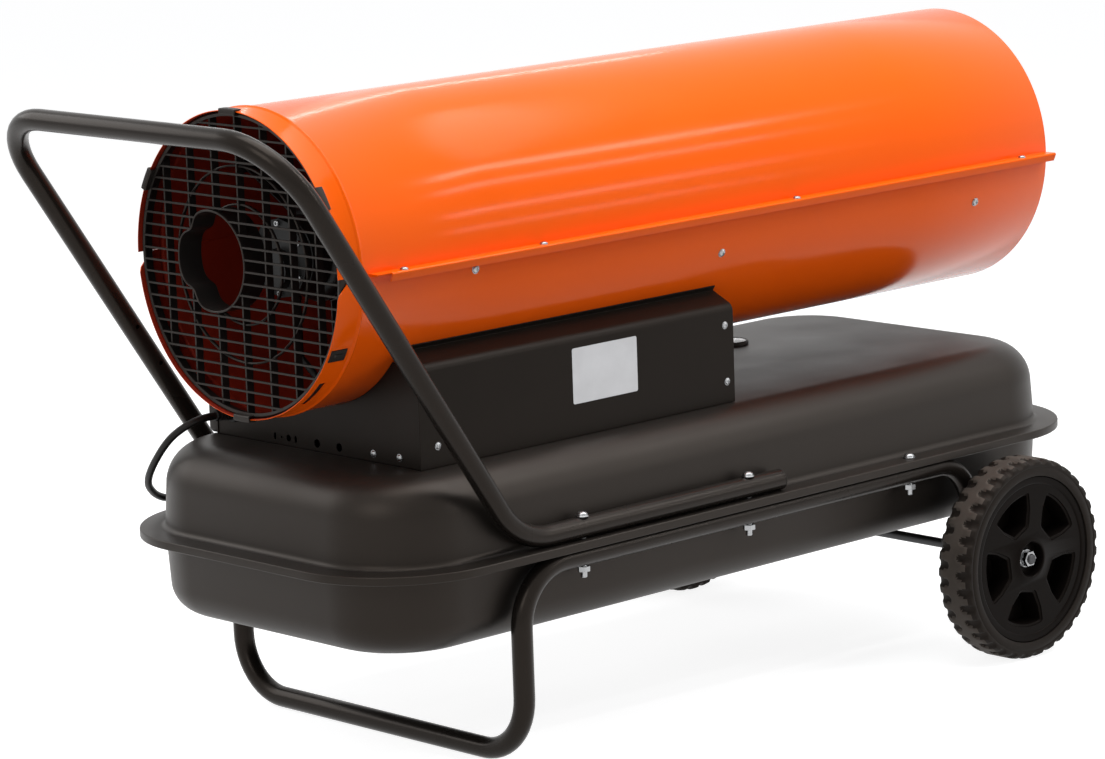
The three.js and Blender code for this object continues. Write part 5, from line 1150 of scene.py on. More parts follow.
def opened(thing, name):
    cutter = template(name, [drawn(window_outline(WINDOW_WALL / 2), "X", -0.01, 0.05)])
    return carved(thing, [cutter])


bars = opened(bars, "window_in_bars")
ribs = opened(ribs, "window_in_ribs")
finished(bars, grille_plastic, "grille", node="inlet_grille", crease=30, edge=0.0004, segments=2)
bars.data.transform(to_row)
finished(ribs, grille_plastic, "grille", node="inlet_grille", crease=30, edge=0.0003, segments=1)
ribs.data.transform(to_row)
collar = drawn(
    window_outline(WINDOW_WALL), "X", GRILLE_FRONT - 0.0004, GRILLE_FRONT + COLLAR_DEPTH,
    [window_outline(0)], 0.0007, 0.0007
)
ring_front = GRILLE_FRONT + BAR_DEPTH + 0.001
rings = []
for radius in RING_RADII:
    section = ((0, 0.0012), (0.0008, 0.0024), (0.004, 0.0024), (0.004, 0), (0.0008, 0))
    ring = spun([(ring_front + back, radius - inset) for back, inset in section], 96, "X", (0, CASING_AXIS))
    rings.append(opened(template("ring", [ring]), "window_in_ring"))
rim_section = ((0, 0.0018), (0.0012, 0.0002), (0.003, 0), (GRILLE_DEPTH, 0), (GRILLE_DEPTH, 0.0025))
rim_section += ((0.004, 0.0035), (0.003, GRILLE_RIM), (0.0006, GRILLE_RIM))
rim = spun(
    [(GRILLE_FRONT + back, GRILLE_RADIUS - inset) for back, inset in rim_section], 128, "X",
    (0, CASING_AXIS)
)
piece("grille_collar_and_rim", [collar, rim], grille_plastic, "grille", node="inlet_grille", crease=40)
for number, ring in enumerate(rings):
    ring.name = f"grille_ring_{number + 1}"
    ring.data.transform(to_row)
    finished(ring, grille_plastic, "grille", node="inlet_grille", crease=30)
print("window", round(2000 * WINDOW_RADIUS), "mm wide")

# %% [markdown]
# Hooks hold the grille on the casing. Each one rises in front of the edge, turns over it and reaches back
# along the outside, with a rounded end. The tree that turns a shape round the axis repeats it. A tab with a
# small raised ridge sits in the shell's front slot.

# %% Mould the hooks

CLIP_WIDTH = 0.028
CLIP_REACH = 0.01
CLIP_THICKNESS = 0.002
CLIP_GAP = 0.0005


def hook():
    inner = CASING_RADIUS + CLIP_GAP
    outer = inner + CLIP_THICKNESS
    front = GRILLE_FRONT - 0.0005
    lip = -CLIP_GAP
    nose = lip - CLIP_THICKNESS
    section = [
        (front + 0.003, GRILLE_RADIUS - 0.003), (front + 0.003, GRILLE_RADIUS - 0.0008),
        (lip, GRILLE_RADIUS - 0.0008)
    ]
    section += [(lip, inner), (CLIP_REACH - CLIP_THICKNESS, inner), (CLIP_REACH - CLIP_THICKNESS, outer)]
    section += [
        (nose + 0.0012, outer), (nose + 0.0003, outer - 0.0004), (nose, outer - 0.0014),
        (nose, GRILLE_RADIUS - 0.0015)
    ]
    section += [(nose + 0.0012, GRILLE_RADIUS - 0.003)]
    half_angle = CLIP_WIDTH / 2 / CASING_RADIUS
    steps = 12
    rings_here = []
    for k in range(steps + 1):
        angle = -half_angle + 2 * half_angle * k / steps
        rings_here.append(
            [(x, radius * math.cos(angle), radius * math.sin(angle)) for x, radius in section]
        )
    return skinned(rings_here)


hook_template = template("hook", [hook()])
for name, count, first_turn in (("three_hooks", 3, 30), ("top_hook", 1, 90)):
    round_row(
        name, hook_template, count, first_turn, grille_plastic, "grille", (0, 0, CASING_AXIS),
        node="inlet_grille", crease=35, edge=0.0006
    )
tab_begin, tab_end, tab_from, tab_to = TAB_SLOT
tab_low = GRILLE_RADIUS - 0.004
tab_high = CASING_RADIUS + 0.0004
tab_section = [
    (tab_begin + 0.0008, tab_low), (tab_end - 0.0008, tab_low), (tab_end - 0.0008, tab_high),
    (tab_begin + 0.0008, tab_high)
]
snap_tab = spun(tab_section, 6, "X", (0, CASING_AXIS), tab_from + 0.25, tab_to - 0.25)
ridge_section = [
    (tab_begin + 0.006, tab_high - 0.001), (tab_end - 0.005, tab_high - 0.001),
    (tab_end - 0.006, tab_high + 0.0014), (tab_begin + 0.008, tab_high + 0.0014)
]
snap_ridge = spun(ridge_section, 3, "X", (0, CASING_AXIS), tab_from + 2.0, tab_from + 3.2)
piece("snap_tab", [snap_tab, snap_ridge], grille_plastic, "grille", node="inlet_grille", crease=30)
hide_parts("inlet_grille")
print("hook places:", 4)

# %% [markdown]
# ## The fuel tank
# Two deep-drawn pans meet at a flange. Deep drawing leaves big rounds at the corners and a soft fillet where
# the wall turns into the flange. The upper pan's flange is a flat shelf whose edge turns down over the lower
# one as a lip. Rings of one rounded outline, each with its own inset and height, are skinned from the middle
# of the outside to the edge and back along the inside.

# %% Draw the tank pans

TANK_START = -0.023
TANK_END = 1.206
TANK_HALF_WIDTH = 0.266
TANK_CORNER = 0.144
TANK_CORNER_STEPS = 18
TANK_FLANGE = 0.034
TANK_WALL = 0.0015
TANK_TOP = 0.103
TANK_BOTTOM = 0.1
TOP_ROUNDING = 0.05
BOTTOM_ROUNDING = 0.038
TANK_DRAFT = 0.003
FILLET = 0.007
SEAM_LEVEL = 0.0035


def tank_ring(inset, z):
    radius = TANK_CORNER - inset
    reach = TANK_HALF_WIDTH - TANK_CORNER
    low = TANK_START + TANK_CORNER
    high = TANK_END - TANK_CORNER
    corners = [(high, reach, 0), (low, reach, 90), (low, -reach, 180), (high, -reach, 270)]
    return [
        (x, y, z)
        for u, v, start in corners
        for x, y in circle(u, v, radius, TANK_CORNER_STEPS, start, start + 90)
    ]


def pan(up, height, rounding, flange_rings):
    wall = TANK_FLANGE
    rings_here = []
    dome = [(0.09, 0.0006), (0.105, 0.0002)]
    for inset, drop in dome[::-1]:
        rings_here.append(tank_ring(inset, up * (height + 0.0006 - drop)))
    for k in range(13):
        angle = math.radians(90 * k / 12)
        rings_here.append(
            tank_ring(
                wall + rounding * (1 - math.sin(angle)), up * (height - rounding * (1 - math.cos(angle)))
            )
        )
    level = SEAM_LEVEL
    foot = wall - TANK_DRAFT
    for k in range(7):
        angle = math.radians(90 * k / 6)
        rings_here.append(
            tank_ring(foot - FILLET * (1 - math.cos(angle)), up * (level + FILLET * (1 - math.sin(angle))))
        )
    for inset, z in flange_rings:
        rings_here.append(tank_ring(inset, z))
    inside = wall + TANK_WALL
    rings_here.append(tank_ring(inside, up * 0.0004))
    for k in range(7):
        angle = math.radians(90 - 90 * k / 6)
        r = rounding - TANK_WALL
        rings_here.append(
            tank_ring(
                inside + r * (1 - math.sin(angle)), up * (height - TANK_WALL - r * (1 - math.cos(angle)))
            )
        )
    return skinned(rings_here)


LIP_BOTTOM = -0.0065
LIP_WALL = 0.0018
EDGE_ROUND = 0.0015
edge_turn = [math.radians(a) for a in (90, 60, 30, 0)]
upper_edge = [
    (EDGE_ROUND * (1 - math.cos(a)), SEAM_LEVEL - EDGE_ROUND * (1 - math.sin(a))) for a in edge_turn
]
upper_edge += [(0, LIP_BOTTOM + 0.0006), (0.0006, LIP_BOTTOM), (LIP_WALL, LIP_BOTTOM), (LIP_WALL, 0.0004)]
piece(
    "tank_upper_pan", pan(1, TANK_TOP, TOP_ROUNDING, upper_edge), tank_coat, "tank",
    stands_for=("tank_upper_half",), crease=40
)
lower_edge = [(LIP_WALL + 0.0004, -SEAM_LEVEL), (LIP_WALL + 0.0004, -0.0004)]
piece(
    "tank_lower_pan", pan(-1, TANK_BOTTOM, BOTTOM_ROUNDING, lower_edge), tank_coat, "tank",
    stands_for=("tank_lower_half",), crease=40
)
print("tank", round(TANK_END - TANK_START, 3), "m long")

# %% [markdown]
# ## Handle and foot frame
# Two bent steel tubes hold everything. Each is one path with rounded corners and a round section swept along
# it. The rail, the legs and the bars are straight, and the bends are arcs of the radius that a tube bender
# leaves.

# %% Bend the tubes

TUBE_RADIUS = 0.0125
TUBE_WALL = 0.0015
TUBE_SIDES = 28
TUBE_ASIDE = 0.2493
RUN_HEIGHT = 0.0163
RUN_END = 0.6167
LEG_PLACE = 0.189
HANDLE_BAR = (-0.1407, 0.5064)
HANDLE_BEND = 0.088
FOOT_BAR = -0.235
FOOT_BEND = 0.07
REAR_BEND_PLACE = 0.938
REAR_BEND = 0.06
REAR_OVERHANG = 0.016
LEG_HOLE_RADIUS = 0.0028
LEG_HOLES = ((0.0415, 0.2355), (0.0738, 0.1875))


def bent_line(corners, bends, steps=12):
    points = [Vector(corners[0])]
    for i in range(1, len(corners) - 1):
        corner = Vector(corners[i])
        first = (Vector(corners[i - 1]) - corner).normalized()
        second = (Vector(corners[i + 1]) - corner).normalized()
        bend = bends[i - 1]
        half = first.angle(second) / 2
        reach = bend / math.tan(half)
        centre = corner + (first + second).normalized() * (bend / math.sin(half))
        start = corner + first * reach - centre
        end = corner + second * reach - centre
        whole = start.angle(end)
        for k in range(steps + 1):
            share = k / steps
            points.append(
                centre
                + (start * math.sin((1 - share) * whole) + end * math.sin(share * whole)) / math.sin(whole)
            )
    points.append(Vector(corners[-1]))
    return points


def both_sides(half):
    near = [(x, -TUBE_ASIDE, z) for x, z in half]
    far = [(x, TUBE_ASIDE, z) for x, z in half[::-1]]
    return near + far


def hollow_tube(line):
    """The outside and the bore, swept along one line and joined at both ends."""
    outside = carried(line, round_section(TUBE_RADIUS, TUBE_SIDES))
    bore = carried(line, round_section(TUBE_RADIUS - TUBE_WALL, TUBE_SIDES))
    return skinned(outside + bore[::-1], closed=True)


handle_line = bent_line(
    both_sides([(RUN_END, RUN_HEIGHT), (LEG_PLACE, RUN_HEIGHT), HANDLE_BAR]), [HANDLE_BEND] * 4
)
drilled = [
    spun(rod(TUBE_ASIDE - 0.016, TUBE_ASIDE, LEG_HOLE_RADIUS), 24, "Y", place) for place in LEG_HOLES
]
handle_blank = template("handle_blank", [hollow_tube(handle_line)])
handle_shape = as_shape(carved(handle_blank, [template("leg_holes", drilled)]))
piece("handle_tube", handle_shape, tube_coat, "frame", stands_for=("handle",), crease=50)
axle_way = Vector((AXLE_PLACE - REAR_BEND_PLACE, AXLE_HEIGHT + RUN_HEIGHT)).normalized()
rail_end = axle_way * REAR_OVERHANG + Vector((AXLE_PLACE, AXLE_HEIGHT))
foot_half = [
    tuple(rail_end), (REAR_BEND_PLACE, -RUN_HEIGHT), (LEG_PLACE, -RUN_HEIGHT), (LEG_PLACE, FOOT_BAR)
]
foot_line = bent_line(
    both_sides(foot_half), [REAR_BEND, FOOT_BEND, FOOT_BEND, FOOT_BEND, FOOT_BEND, REAR_BEND]
)
piece("foot_tube", hollow_tube(foot_line), tube_coat, "frame", stands_for=("foot_frame",), crease=50)
print("tubes", round(2000 * TUBE_RADIUS), "mm")

# %% [markdown]
# ## The control box
# The box under the casing is bent sheet. A saddle carries the casing: a floor with two upright plates whose
# tops are cut to the casing's round. Two covers close its sides, each folded over at the top into a ledge
# that ends in a lip against the casing.

# %% Fold the covers and the saddle

BOX_START = 0.109
BOX_END = 0.616
BOX_HALF_WIDTH = 0.18
BOX_WALL = 0.0012
BOX_FLOOR = TANK_TOP + GAP
BOX_SIDE_TOP = BOX_FLOOR + 0.122
BOX_BEND = 0.012
BOX_BEND_TURN = 75
BOX_BEND_STEPS = 10
BOX_LEDGE = 0.034
BOX_LIP = 0.008
casing_outside = CASING_RADIUS + GAP


def cover_line(inset):
    bend_y = BOX_HALF_WIDTH - BOX_BEND
    bend_z = BOX_SIDE_TOP - BOX_BEND
    return [(BOX_HALF_WIDTH - inset, BOX_FLOOR)] + circle(
        bend_y, bend_z, BOX_BEND - inset, BOX_BEND_STEPS, 0, BOX_BEND_TURN
    )


def cover(side):
    ledge_inner = BOX_HALF_WIDTH - BOX_LEDGE
    ledge_top = CASING_AXIS - math.sqrt(casing_outside**2 - ledge_inner**2)
    up = ((CASING_AXIS - ledge_top) / casing_outside, ledge_inner / casing_outside)
    away = (up[1], -up[0])

    def at(along, off):
        return (ledge_inner + up[0] * along + away[0] * off, ledge_top + up[1] * along + away[1] * off)

    lip = [at(BOX_WALL, BOX_WALL), at(BOX_LIP, BOX_WALL), at(BOX_LIP, 0), at(0, 0)]
    outline = cover_line(0) + lip + cover_line(BOX_WALL)[::-1]
    return drawn([(side * y, z) for y, z in outline], "X", BOX_START - BOX_WALL, BOX_END + BOX_WALL)


piece("near_cover", cover(-1), box_coat, "box", stands_for=("near_side_cover",), edge=0.0004, crease=25)

PLATE_ROW = BOX_FLOOR + 0.01
PLATE_HOLES = ((0.0002, 0.005), (-0.0386, 0.005), (0.0508, 0.004), (0.0634, 0.0016))
PLATE_SLOTS = (0.0752, 0.0383)
GLAND_ASIDE = 0.148
GLAND_LEVEL = BOX_FLOOR + 0.03
GLAND_NECK = 0.0093


def saddle_outline():
    inset = BOX_WALL + GAP
    far = cover_line(inset)
    start = math.degrees(math.asin((CASING_AXIS - far[-1][1]) / casing_outside))
    hollow = circle(0, CASING_AXIS, casing_outside, 48, -start, start - 180)
    return far + hollow + [(-y, z) for y, z in far[::-1]]


front_holes = [circle(y, PLATE_ROW, radius, 24) for y, radius in PLATE_HOLES]
front_holes += [
    rounded_rectangle(y - 0.002, y + 0.002, PLATE_ROW - 0.004, PLATE_ROW + 0.004, 0.0019, 6)
    for y in PLATE_SLOTS
]
front_holes.append(circle(GLAND_ASIDE, GLAND_LEVEL, GLAND_NECK, 32))
front_plate = drawn(saddle_outline(), "X", BOX_START, BOX_START + BOX_WALL, front_holes)
rear_plate = drawn(saddle_outline(), "X", BOX_END - BOX_WALL, BOX_END)
floor_side = BOX_HALF_WIDTH - BOX_WALL - GAP
PICKUP = (0.43, 0.06)
floor_outline = [
    (BOX_START, -floor_side), (BOX_END, -floor_side), (BOX_END, floor_side), (BOX_START, floor_side)
]
box_floor = drawn(floor_outline, "Z", BOX_FLOOR, BOX_FLOOR + BOX_WALL, [circle(*PICKUP, 0.0173, 32)])
piece(
    "saddle", [front_plate, rear_plate, box_floor], box_coat, "box", stands_for=("saddle_base",), crease=25
)
print("box", round(BOX_END - BOX_START, 3), "m long")

# %% [markdown]
# ## The wheels
# The tyre's tread has two rows of round-ended notches, one from each shoulder, half a pitch apart, with a
# smooth band between them. The surface is a fine grid round the wheel, and a rule for the depth at each place
# of the grid draws the notches in, which keeps their edges soft, as moulded rubber has them. The band and the
# faces between the notches are paler, as rubber is where it rolls.

# %% Mould the tyres

WHEEL_RADIUS = 0.127
WHEEL_WIDTH = 0.05
WHEEL_INNER = TUBE_ASIDE + TUBE_RADIUS + 0.0105
WHEEL_OUTER = WHEEL_INNER + WHEEL_WIDTH
WHEEL_CENTRE = (WHEEL_INNER + WHEEL_OUTER) / 2
RIM_RADIUS = 0.105
BEAD_DEPTH = 0.009
BEAD_RIDGE = 0.03
TYRE_CROWN = 0.004
SHOULDER = 0.012
TREAD_STEPS = 34
NOTCHES = 36
NOTCH_REACH = 0.019
NOTCH_DEPTH = 0.0032
NOTCH_SHARE = 0.21
NOTCH_SLOPE = 0.0016
WORN_DEPTH = 0.0012
TYRE_STEPS = 360


def tread_radius(across):
    """The tyre's radius at a distance from its middle, with a soft shoulder."""
    half = WHEEL_WIDTH / 2
    over = max(0.0, abs(across) - (half - SHOULDER)) / SHOULDER
    return WHEEL_RADIUS - TYRE_CROWN * over**2


def notch_depth(angle, across):
    """How far the tread is drawn in at an angle and a distance from the middle."""
    side = 1 if across > 0 else -1
    phase = (angle / (2 * math.pi) * NOTCHES + (0.5 if side > 0 else 0.0)) % 1
    pitch = 2 * math.pi * WHEEL_RADIUS / NOTCHES
    along = abs(phase - 0.5) * pitch
    width = pitch * NOTCH_SHARE
    start = WHEEL_WIDTH / 2 - NOTCH_REACH
    inside = start + width - abs(across)
    if inside > 0:
        distance = math.hypot(along, inside) - width
    else:
        distance = along - width
    share = min(1, max(0, 0.5 - distance / NOTCH_SLOPE))
    return NOTCH_DEPTH * share * share * (3 - 2 * share)


def tyre(side):
    inner = RIM_RADIUS + GAP
    half = WHEEL_WIDTH / 2
    tread = [-half + 0.0006 + (2 * half - 0.0012) * k / TREAD_STEPS for k in range(TREAD_STEPS + 1)]
    rings_here = []
    for step in range(TYRE_STEPS):
        angle = 2 * math.pi * step / TYRE_STEPS
        ring = []
        for across in tread:
            ring.append((across, tread_radius(across) - notch_depth(angle, across)))
        ring.append((half, ring[-1][1] - 0.0008))
        edge = ring[-1][1] - 0.001
        wall = [
            (half, 0.1175), (half - 0.0006, 0.1168), (half - 0.0006, 0.1162), (half, 0.1155),
            (half, inner + 0.003), (half - 0.0012, inner)
        ]
        ring += [(half, min(edge, 0.1185))] + wall
        ring += [(BEAD_RIDGE / 2, inner), (0, inner - BEAD_DEPTH), (-BEAD_RIDGE / 2, inner)]
        ring += [(-across, radius) for across, radius in wall[::-1]]
        ring.append((-half, tread_radius(-half) - notch_depth(angle, -half) - 0.0014))
        rings_here.append(
            [
                (
                    AXLE_PLACE + radius * math.cos(angle), side * (WHEEL_CENTRE + across),
                    AXLE_HEIGHT + radius * math.sin(angle)
                )
                for across, radius in ring
            ]
        )
    return skinned(rings_here, closed=True)


for side, name in SIDES:
    rolling = piece(
        f"{name}_tyre", tyre(side), tyre_rubber, "tyre", stands_for=(f"tyre_{name}",), crease=60
    )
    rolling.data.materials.append(worn_tread)
    hub = sum((corner.co for corner in rolling.data.vertices), Vector()) / len(rolling.data.vertices)
    for face in rolling.data.polygons:
        reach = math.hypot(face.center.x - hub.x, face.center.z - hub.z)
        if reach > WHEEL_RADIUS - WORN_DEPTH:
            face.material_index = 1
print("notches:", 4 * NOTCHES)

# %% [markdown]
# The rim is one moulding. Its outer face carries five flared pockets between broad spokes, with a narrow step
# round each pocket's mouth, and a recess for the nut. The face is a flat outline with five holes, the pockets
# are lofted down from those holes, and the rest of the rim is spun.

# %% Mould the rims

RIM_FACE = WHEEL_OUTER - 0.003
POCKETS = 5
POCKET_TURN = math.radians(-28)
POCKET_INNER = 0.039
POCKET_WAIST = 0.06
POCKET_OUTER = 0.086
POCKET_INNER_HALF = 0.015
POCKET_WAIST_HALF = 0.0285
POCKET_OUTER_HALF = 0.035
POCKET_DEPTH = 0.03
HUB_RECESS = 0.022
HUB_RECESS_DEPTH = 0.012
HUB_BORE = 0.0063
HUB_BOSS = 0.02
HUB_INNER = TUBE_ASIDE + TUBE_RADIUS + GAP


def pocket_outline(number, inset=0.0):
    """A flared outline with rounded corners whose long side follows the rim's round."""
    inner = POCKET_INNER + inset
    outer = POCKET_OUTER - inset
    near_half = POCKET_INNER_HALF - inset
    waist_half = POCKET_WAIST_HALF - inset * 1.15
    arc_outer = math.asin((POCKET_OUTER_HALF - inset) / outer)
    low_side = [(inner, -near_half), (POCKET_WAIST, -waist_half)]
    high_side = [(POCKET_WAIST, waist_half), (inner, near_half)]
    line = []
    count = 10
    for k in range(count + 1):
        share = k / count
        angle = arc_outer * (1 - 2 * share)
        line.append((outer * math.cos(angle), outer * math.sin(angle)))
    outline = low_side + line[::-1] + high_side
    rounded = []
    total = len(outline)
    for i, corner in enumerate(outline):
        here = Vector(corner)
        before = Vector(outline[i - 1]) - here
        after = Vector(outline[(i + 1) % total]) - here
        if before.angle(after) < math.radians(150):
            reach = 0.0042 - inset * 0.4
            start = here + before.normalized() * reach
            end = here + after.normalized() * reach
            for k in range(6):
                t = k / 5
                rounded.append(tuple(start * (1 - t) ** 2 + here * (2 * t * (1 - t)) + end * t**2))
        else:
            rounded.append(corner)
    turned_by = POCKET_TURN + 2 * math.pi * number / POCKETS
    cosine, sine = math.cos(turned_by), math.sin(turned_by)
    return [(u * cosine - v * sine, u * sine + v * cosine) for u, v in rounded]


def rim_shapes(side):
    """The rim drawn about the axle, with its outer face towards +Y, then set in place."""
    face = RIM_FACE - 0.0014
    floor_level = RIM_FACE - POCKET_DEPTH
    places = []
    faces = []

    def ring_of(outline, y):
        start = len(places)
        places.extend((u, y, v) for u, v in outline)
        return start, len(outline)

    def band(first, second):
        (a, count), (b, _) = first, second
        for i in range(count):
            j = (i + 1) % count
            faces.append((a + i, a + j, b + j, b + i))

    steps = 96
    turn_profile = [
        (RIM_FACE, 0.026), (RIM_FACE, HUB_RECESS + 0.001), (RIM_FACE - 0.001, HUB_RECESS),
        (RIM_FACE - HUB_RECESS_DEPTH, HUB_RECESS - 0.0006), (RIM_FACE - HUB_RECESS_DEPTH, HUB_BORE),
        (HUB_INNER, HUB_BORE), (HUB_INNER, HUB_BOSS), (WHEEL_INNER + 0.003, HUB_BOSS),
        (WHEEL_INNER + 0.003, RIM_RADIUS), (WHEEL_CENTRE - BEAD_RIDGE / 2, RIM_RADIUS),
        (WHEEL_CENTRE, RIM_RADIUS - BEAD_DEPTH), (WHEEL_CENTRE + BEAD_RIDGE / 2, RIM_RADIUS),
        (RIM_FACE - 0.0008, RIM_RADIUS), (RIM_FACE, RIM_RADIUS - 0.001), (RIM_FACE, 0.0975),
        (RIM_FACE - 0.0004, 0.0962), (face, 0.0952)
    ]
    loops = []
    for y, radius in turn_profile:
        loops.append(ring_of(circle(0, 0, radius, steps), y))
    for first, second in zip(loops, loops[1:]):
        band(first, second)
    inner_ring = ring_of(circle(0, 0, 0.0285, steps), face)
    band(inner_ring, loops[0])
    flat = [
        [Vector((*place, 0)) for place in circle(0, 0, 0.0952, steps)],
        [Vector((*place, 0)) for place in circle(0, 0, 0.0285, steps)]
    ]
    index = list(range(loops[-1][0], loops[-1][0] + steps)) + list(
        range(inner_ring[0], inner_ring[0] + steps)
    )
    for number in range(POCKETS):
        outline = pocket_outline(number)
        mouth = ring_of(outline, face)
        flat.append([Vector((*place, 0)) for place in outline])
        index += list(range(mouth[0], mouth[0] + mouth[1]))
        below = ring_of(pocket_outline(number, 0.0006), face - 0.0016)
        step_in = ring_of(pocket_outline(number, 0.003), face - 0.0026)
        step_down = ring_of(pocket_outline(number, 0.0034), face - 0.0046)
        bottom = ring_of(pocket_outline(number, 0.0044), floor_level)
        for first, second in ((mouth, below), (below, step_in), (step_in, step_down), (step_down, bottom)):
            band(first, second)
        faces.append(tuple(range(bottom[0], bottom[0] + bottom[1])))
    for triangle in geometry.tessellate_polygon(flat):
        faces.append(tuple(index[i] for i in triangle))
    set_places = [(AXLE_PLACE + x, side * y, AXLE_HEIGHT + z) for x, y, z in places]
    return set_places, faces


for side, name in SIDES:
    piece(f"{name}_rim", rim_shapes(side), rim_plastic, "rim", stands_for=(f"wheel_rim_{name}",), crease=35)
print("pockets:", 2 * POCKETS)

# %% [markdown]
# ## The far cover and its console
# The controls sit on the side that the picture hides, so their form is a guess: a flat moulded console on
# the cover, with a thermostat knob and a rocker switch. The cover is the same folded strip as the near one,
# with a round hole and a square one, which a Boolean cuts where the controls reach inside.

# %% Cut the far cover and mould the console

CONSOLE_START = BOX_START
CONSOLE_LENGTH = 0.158
CONSOLE_HEIGHT = 0.106
CONSOLE_WALL = 0.0025
CONSOLE_CORNER = 0.006
CONSOLE_BACK = BOX_HALF_WIDTH + GAP
CONSOLE_FACE = CONSOLE_BACK + 0.018
KNOB_X = CONSOLE_START + 0.053
SWITCH_X = CONSOLE_START + 0.116
CONTROL_LEVEL = BOX_FLOOR + 0.064
SWITCH_HALF_WIDTH = 0.011
SWITCH_HALF_LENGTH = 0.015
THERMOSTAT_RADIUS = 0.015


def disc_along_y(x, z, radius, low, high):
    return spun(rod(low, high, radius), 32, "Y", (x, z))


def switch_block(half_width, half_height, low, high):
    """A block about the switch's middle, between two places across the machine."""
    left, right = SWITCH_X - half_width, SWITCH_X + half_width
    return brick(left, right, low, high, CONTROL_LEVEL - half_height, CONTROL_LEVEL + half_height)


far_blank = template("far_cover", [cover(1)])
round_hole = template(
    "far_round_hole", [disc_along_y(KNOB_X, CONTROL_LEVEL, THERMOSTAT_RADIUS + 0.0003, 0.17, 0.19)]
)
square_hole = template(
    "far_square_hole", [switch_block(SWITCH_HALF_WIDTH + 0.004, SWITCH_HALF_LENGTH + 0.004, 0.17, 0.19)]
)
far_cover = carved(far_blank, [round_hole, square_hole])
far_cover.data.transform(to_row)
finished(far_cover, box_coat, "box", stands_for=("far_side_cover",), edge=0.0003, crease=25)


def console_ring(y, inset, radius):
    outline = rounded_rectangle(
        CONSOLE_START + inset, CONSOLE_START + CONSOLE_LENGTH - inset, BOX_FLOOR + inset,
        BOX_FLOOR + CONSOLE_HEIGHT - inset, radius, 8
    )
    return [(x, y, z) for x, z in outline]


console_depths = [(CONSOLE_BACK, 0.0)] + raised(
    CONSOLE_FACE, [(-0.0052, 0.0), (-0.002, 0.001), (-0.0006, 0.0024), (0.0, 0.004)]
)
console_blank = template(
    "console", [skinned([console_ring(y, inset, CONSOLE_CORNER) for y, inset in console_depths])]
)
console_hollow = template(
    "console_hollow",
    [
        skinned(
            [
                console_ring(CONSOLE_BACK - 0.004, CONSOLE_WALL, 0.004),
                console_ring(CONSOLE_FACE - CONSOLE_WALL, 0.0045, 0.004)
            ]
        )
    ]
)
shaft_hole = template("console_shaft_hole", [disc_along_y(KNOB_X, CONTROL_LEVEL, 0.0033, 0.18, 0.21)])
switch_hole = template(
    "console_switch_hole", [switch_block(SWITCH_HALF_WIDTH, SWITCH_HALF_LENGTH, 0.18, 0.21)]
)
console = carved(console_blank, [console_hollow, shaft_hole, switch_hole])
console.data.transform(to_row)
finished(console, plastic, "plastic", stands_for=("control_console",), crease=25)
console_screws = [
    (CONSOLE_START + x, CONSOLE_FACE, BOX_FLOOR + z) for x in (0.012, 0.146) for z in (0.012, 0.094)
]
set_screws("console_screws", screw_head, console_screws, [(0, 1, 0)] * 4, "control_console", size=0.8)
print("console", round(1000 * CONSOLE_LENGTH), "mm long")

# %% [markdown]
# The knob has a thin skirt and a fluted grip, so that a gloved hand can turn it. A white line on the grip
# points at a ring of marks on the console. The marks are short raised strips that one tree sets round the
# knob, and they stop short of the bottom, where the real scale has its gap.

# %% Mould the knob, its marks and the thermostat

KNOB_RADIUS = 0.019
KNOB_DEPTH = 0.015
KNOB_BACK = CONSOLE_FACE + GAP
FLUTES = 10
FLUTE_STEPS = 160
fluted = []
for k in range(FLUTE_STEPS):
    angle = 2 * math.pi * k / FLUTE_STEPS
    radius = KNOB_RADIUS - 0.003 + 0.001 * math.cos(FLUTES * angle)
    fluted.append((KNOB_X + radius * math.cos(angle), CONTROL_LEVEL + radius * math.sin(angle)))
skirt_profile = [(CONSOLE_FACE - 0.0022, 0), (CONSOLE_FACE - 0.0022, 0.003)]
skirt_profile += raised(
    KNOB_BACK, [(0.0, 0.003), (0.0, KNOB_RADIUS - 0.0006), (0.0006, KNOB_RADIUS), (0.003, KNOB_RADIUS)]
)
skirt_profile += raised(
    KNOB_BACK, [(0.0042, KNOB_RADIUS - 0.001), (0.005, KNOB_RADIUS - 0.0032), (0.005, 0)]
)
knob_skirt = spun(skirt_profile, 96, "Y", (KNOB_X, CONTROL_LEVEL))
knob_grip = drawn(fluted, "Y", KNOB_BACK + 0.0035, KNOB_BACK + KNOB_DEPTH, chamfer=0.0012)
piece(
    "thermostat_dial", [knob_skirt, knob_grip], plastic, "plastic", stands_for=("thermostat_knob",),
    crease=28
)
pointer = brick(
    KNOB_X - 0.0008, KNOB_X + 0.0008, KNOB_BACK + KNOB_DEPTH - 0.0002, KNOB_BACK + KNOB_DEPTH + 0.0002,
    CONTROL_LEVEL + 0.005, CONTROL_LEVEL + 0.0145
)
piece("dial_pointer", pointer, white_print, "plastic", node="thermostat_knob", crease=40)
marks = []
for k in range(11):
    angle = math.radians(225 - 27 * k)
    out = Vector((math.cos(angle), 0, math.sin(angle)))
    middle = Vector((KNOB_X, CONSOLE_FACE, CONTROL_LEVEL)) + out * (0.0235 if k % 5 else 0.0242)
    half = 0.0012 if k % 5 else 0.0019
    mark = brick(-half, half, -0.0001, 0.0002, -0.00045, 0.00045)
    marks.append(moved(mark, Matrix.Translation(middle) @ Matrix.Rotation(-angle, 4, "Y")))
piece("dial_marks", marks, white_print, "plastic", node="control_console", crease=40)
can_front = CONSOLE_FACE - CONSOLE_WALL - GAP
can_steps = ((0.024, 0.002), (0.0225, 0.0004), (0.01, 0.0004), (0.009, 0.0), (0.002, 0.0), (0.0, 0.0015))
can_profile = [(0.024, 0)] + [(back, THERMOSTAT_RADIUS - inset) for back, inset in can_steps] + [(0.0, 0)]
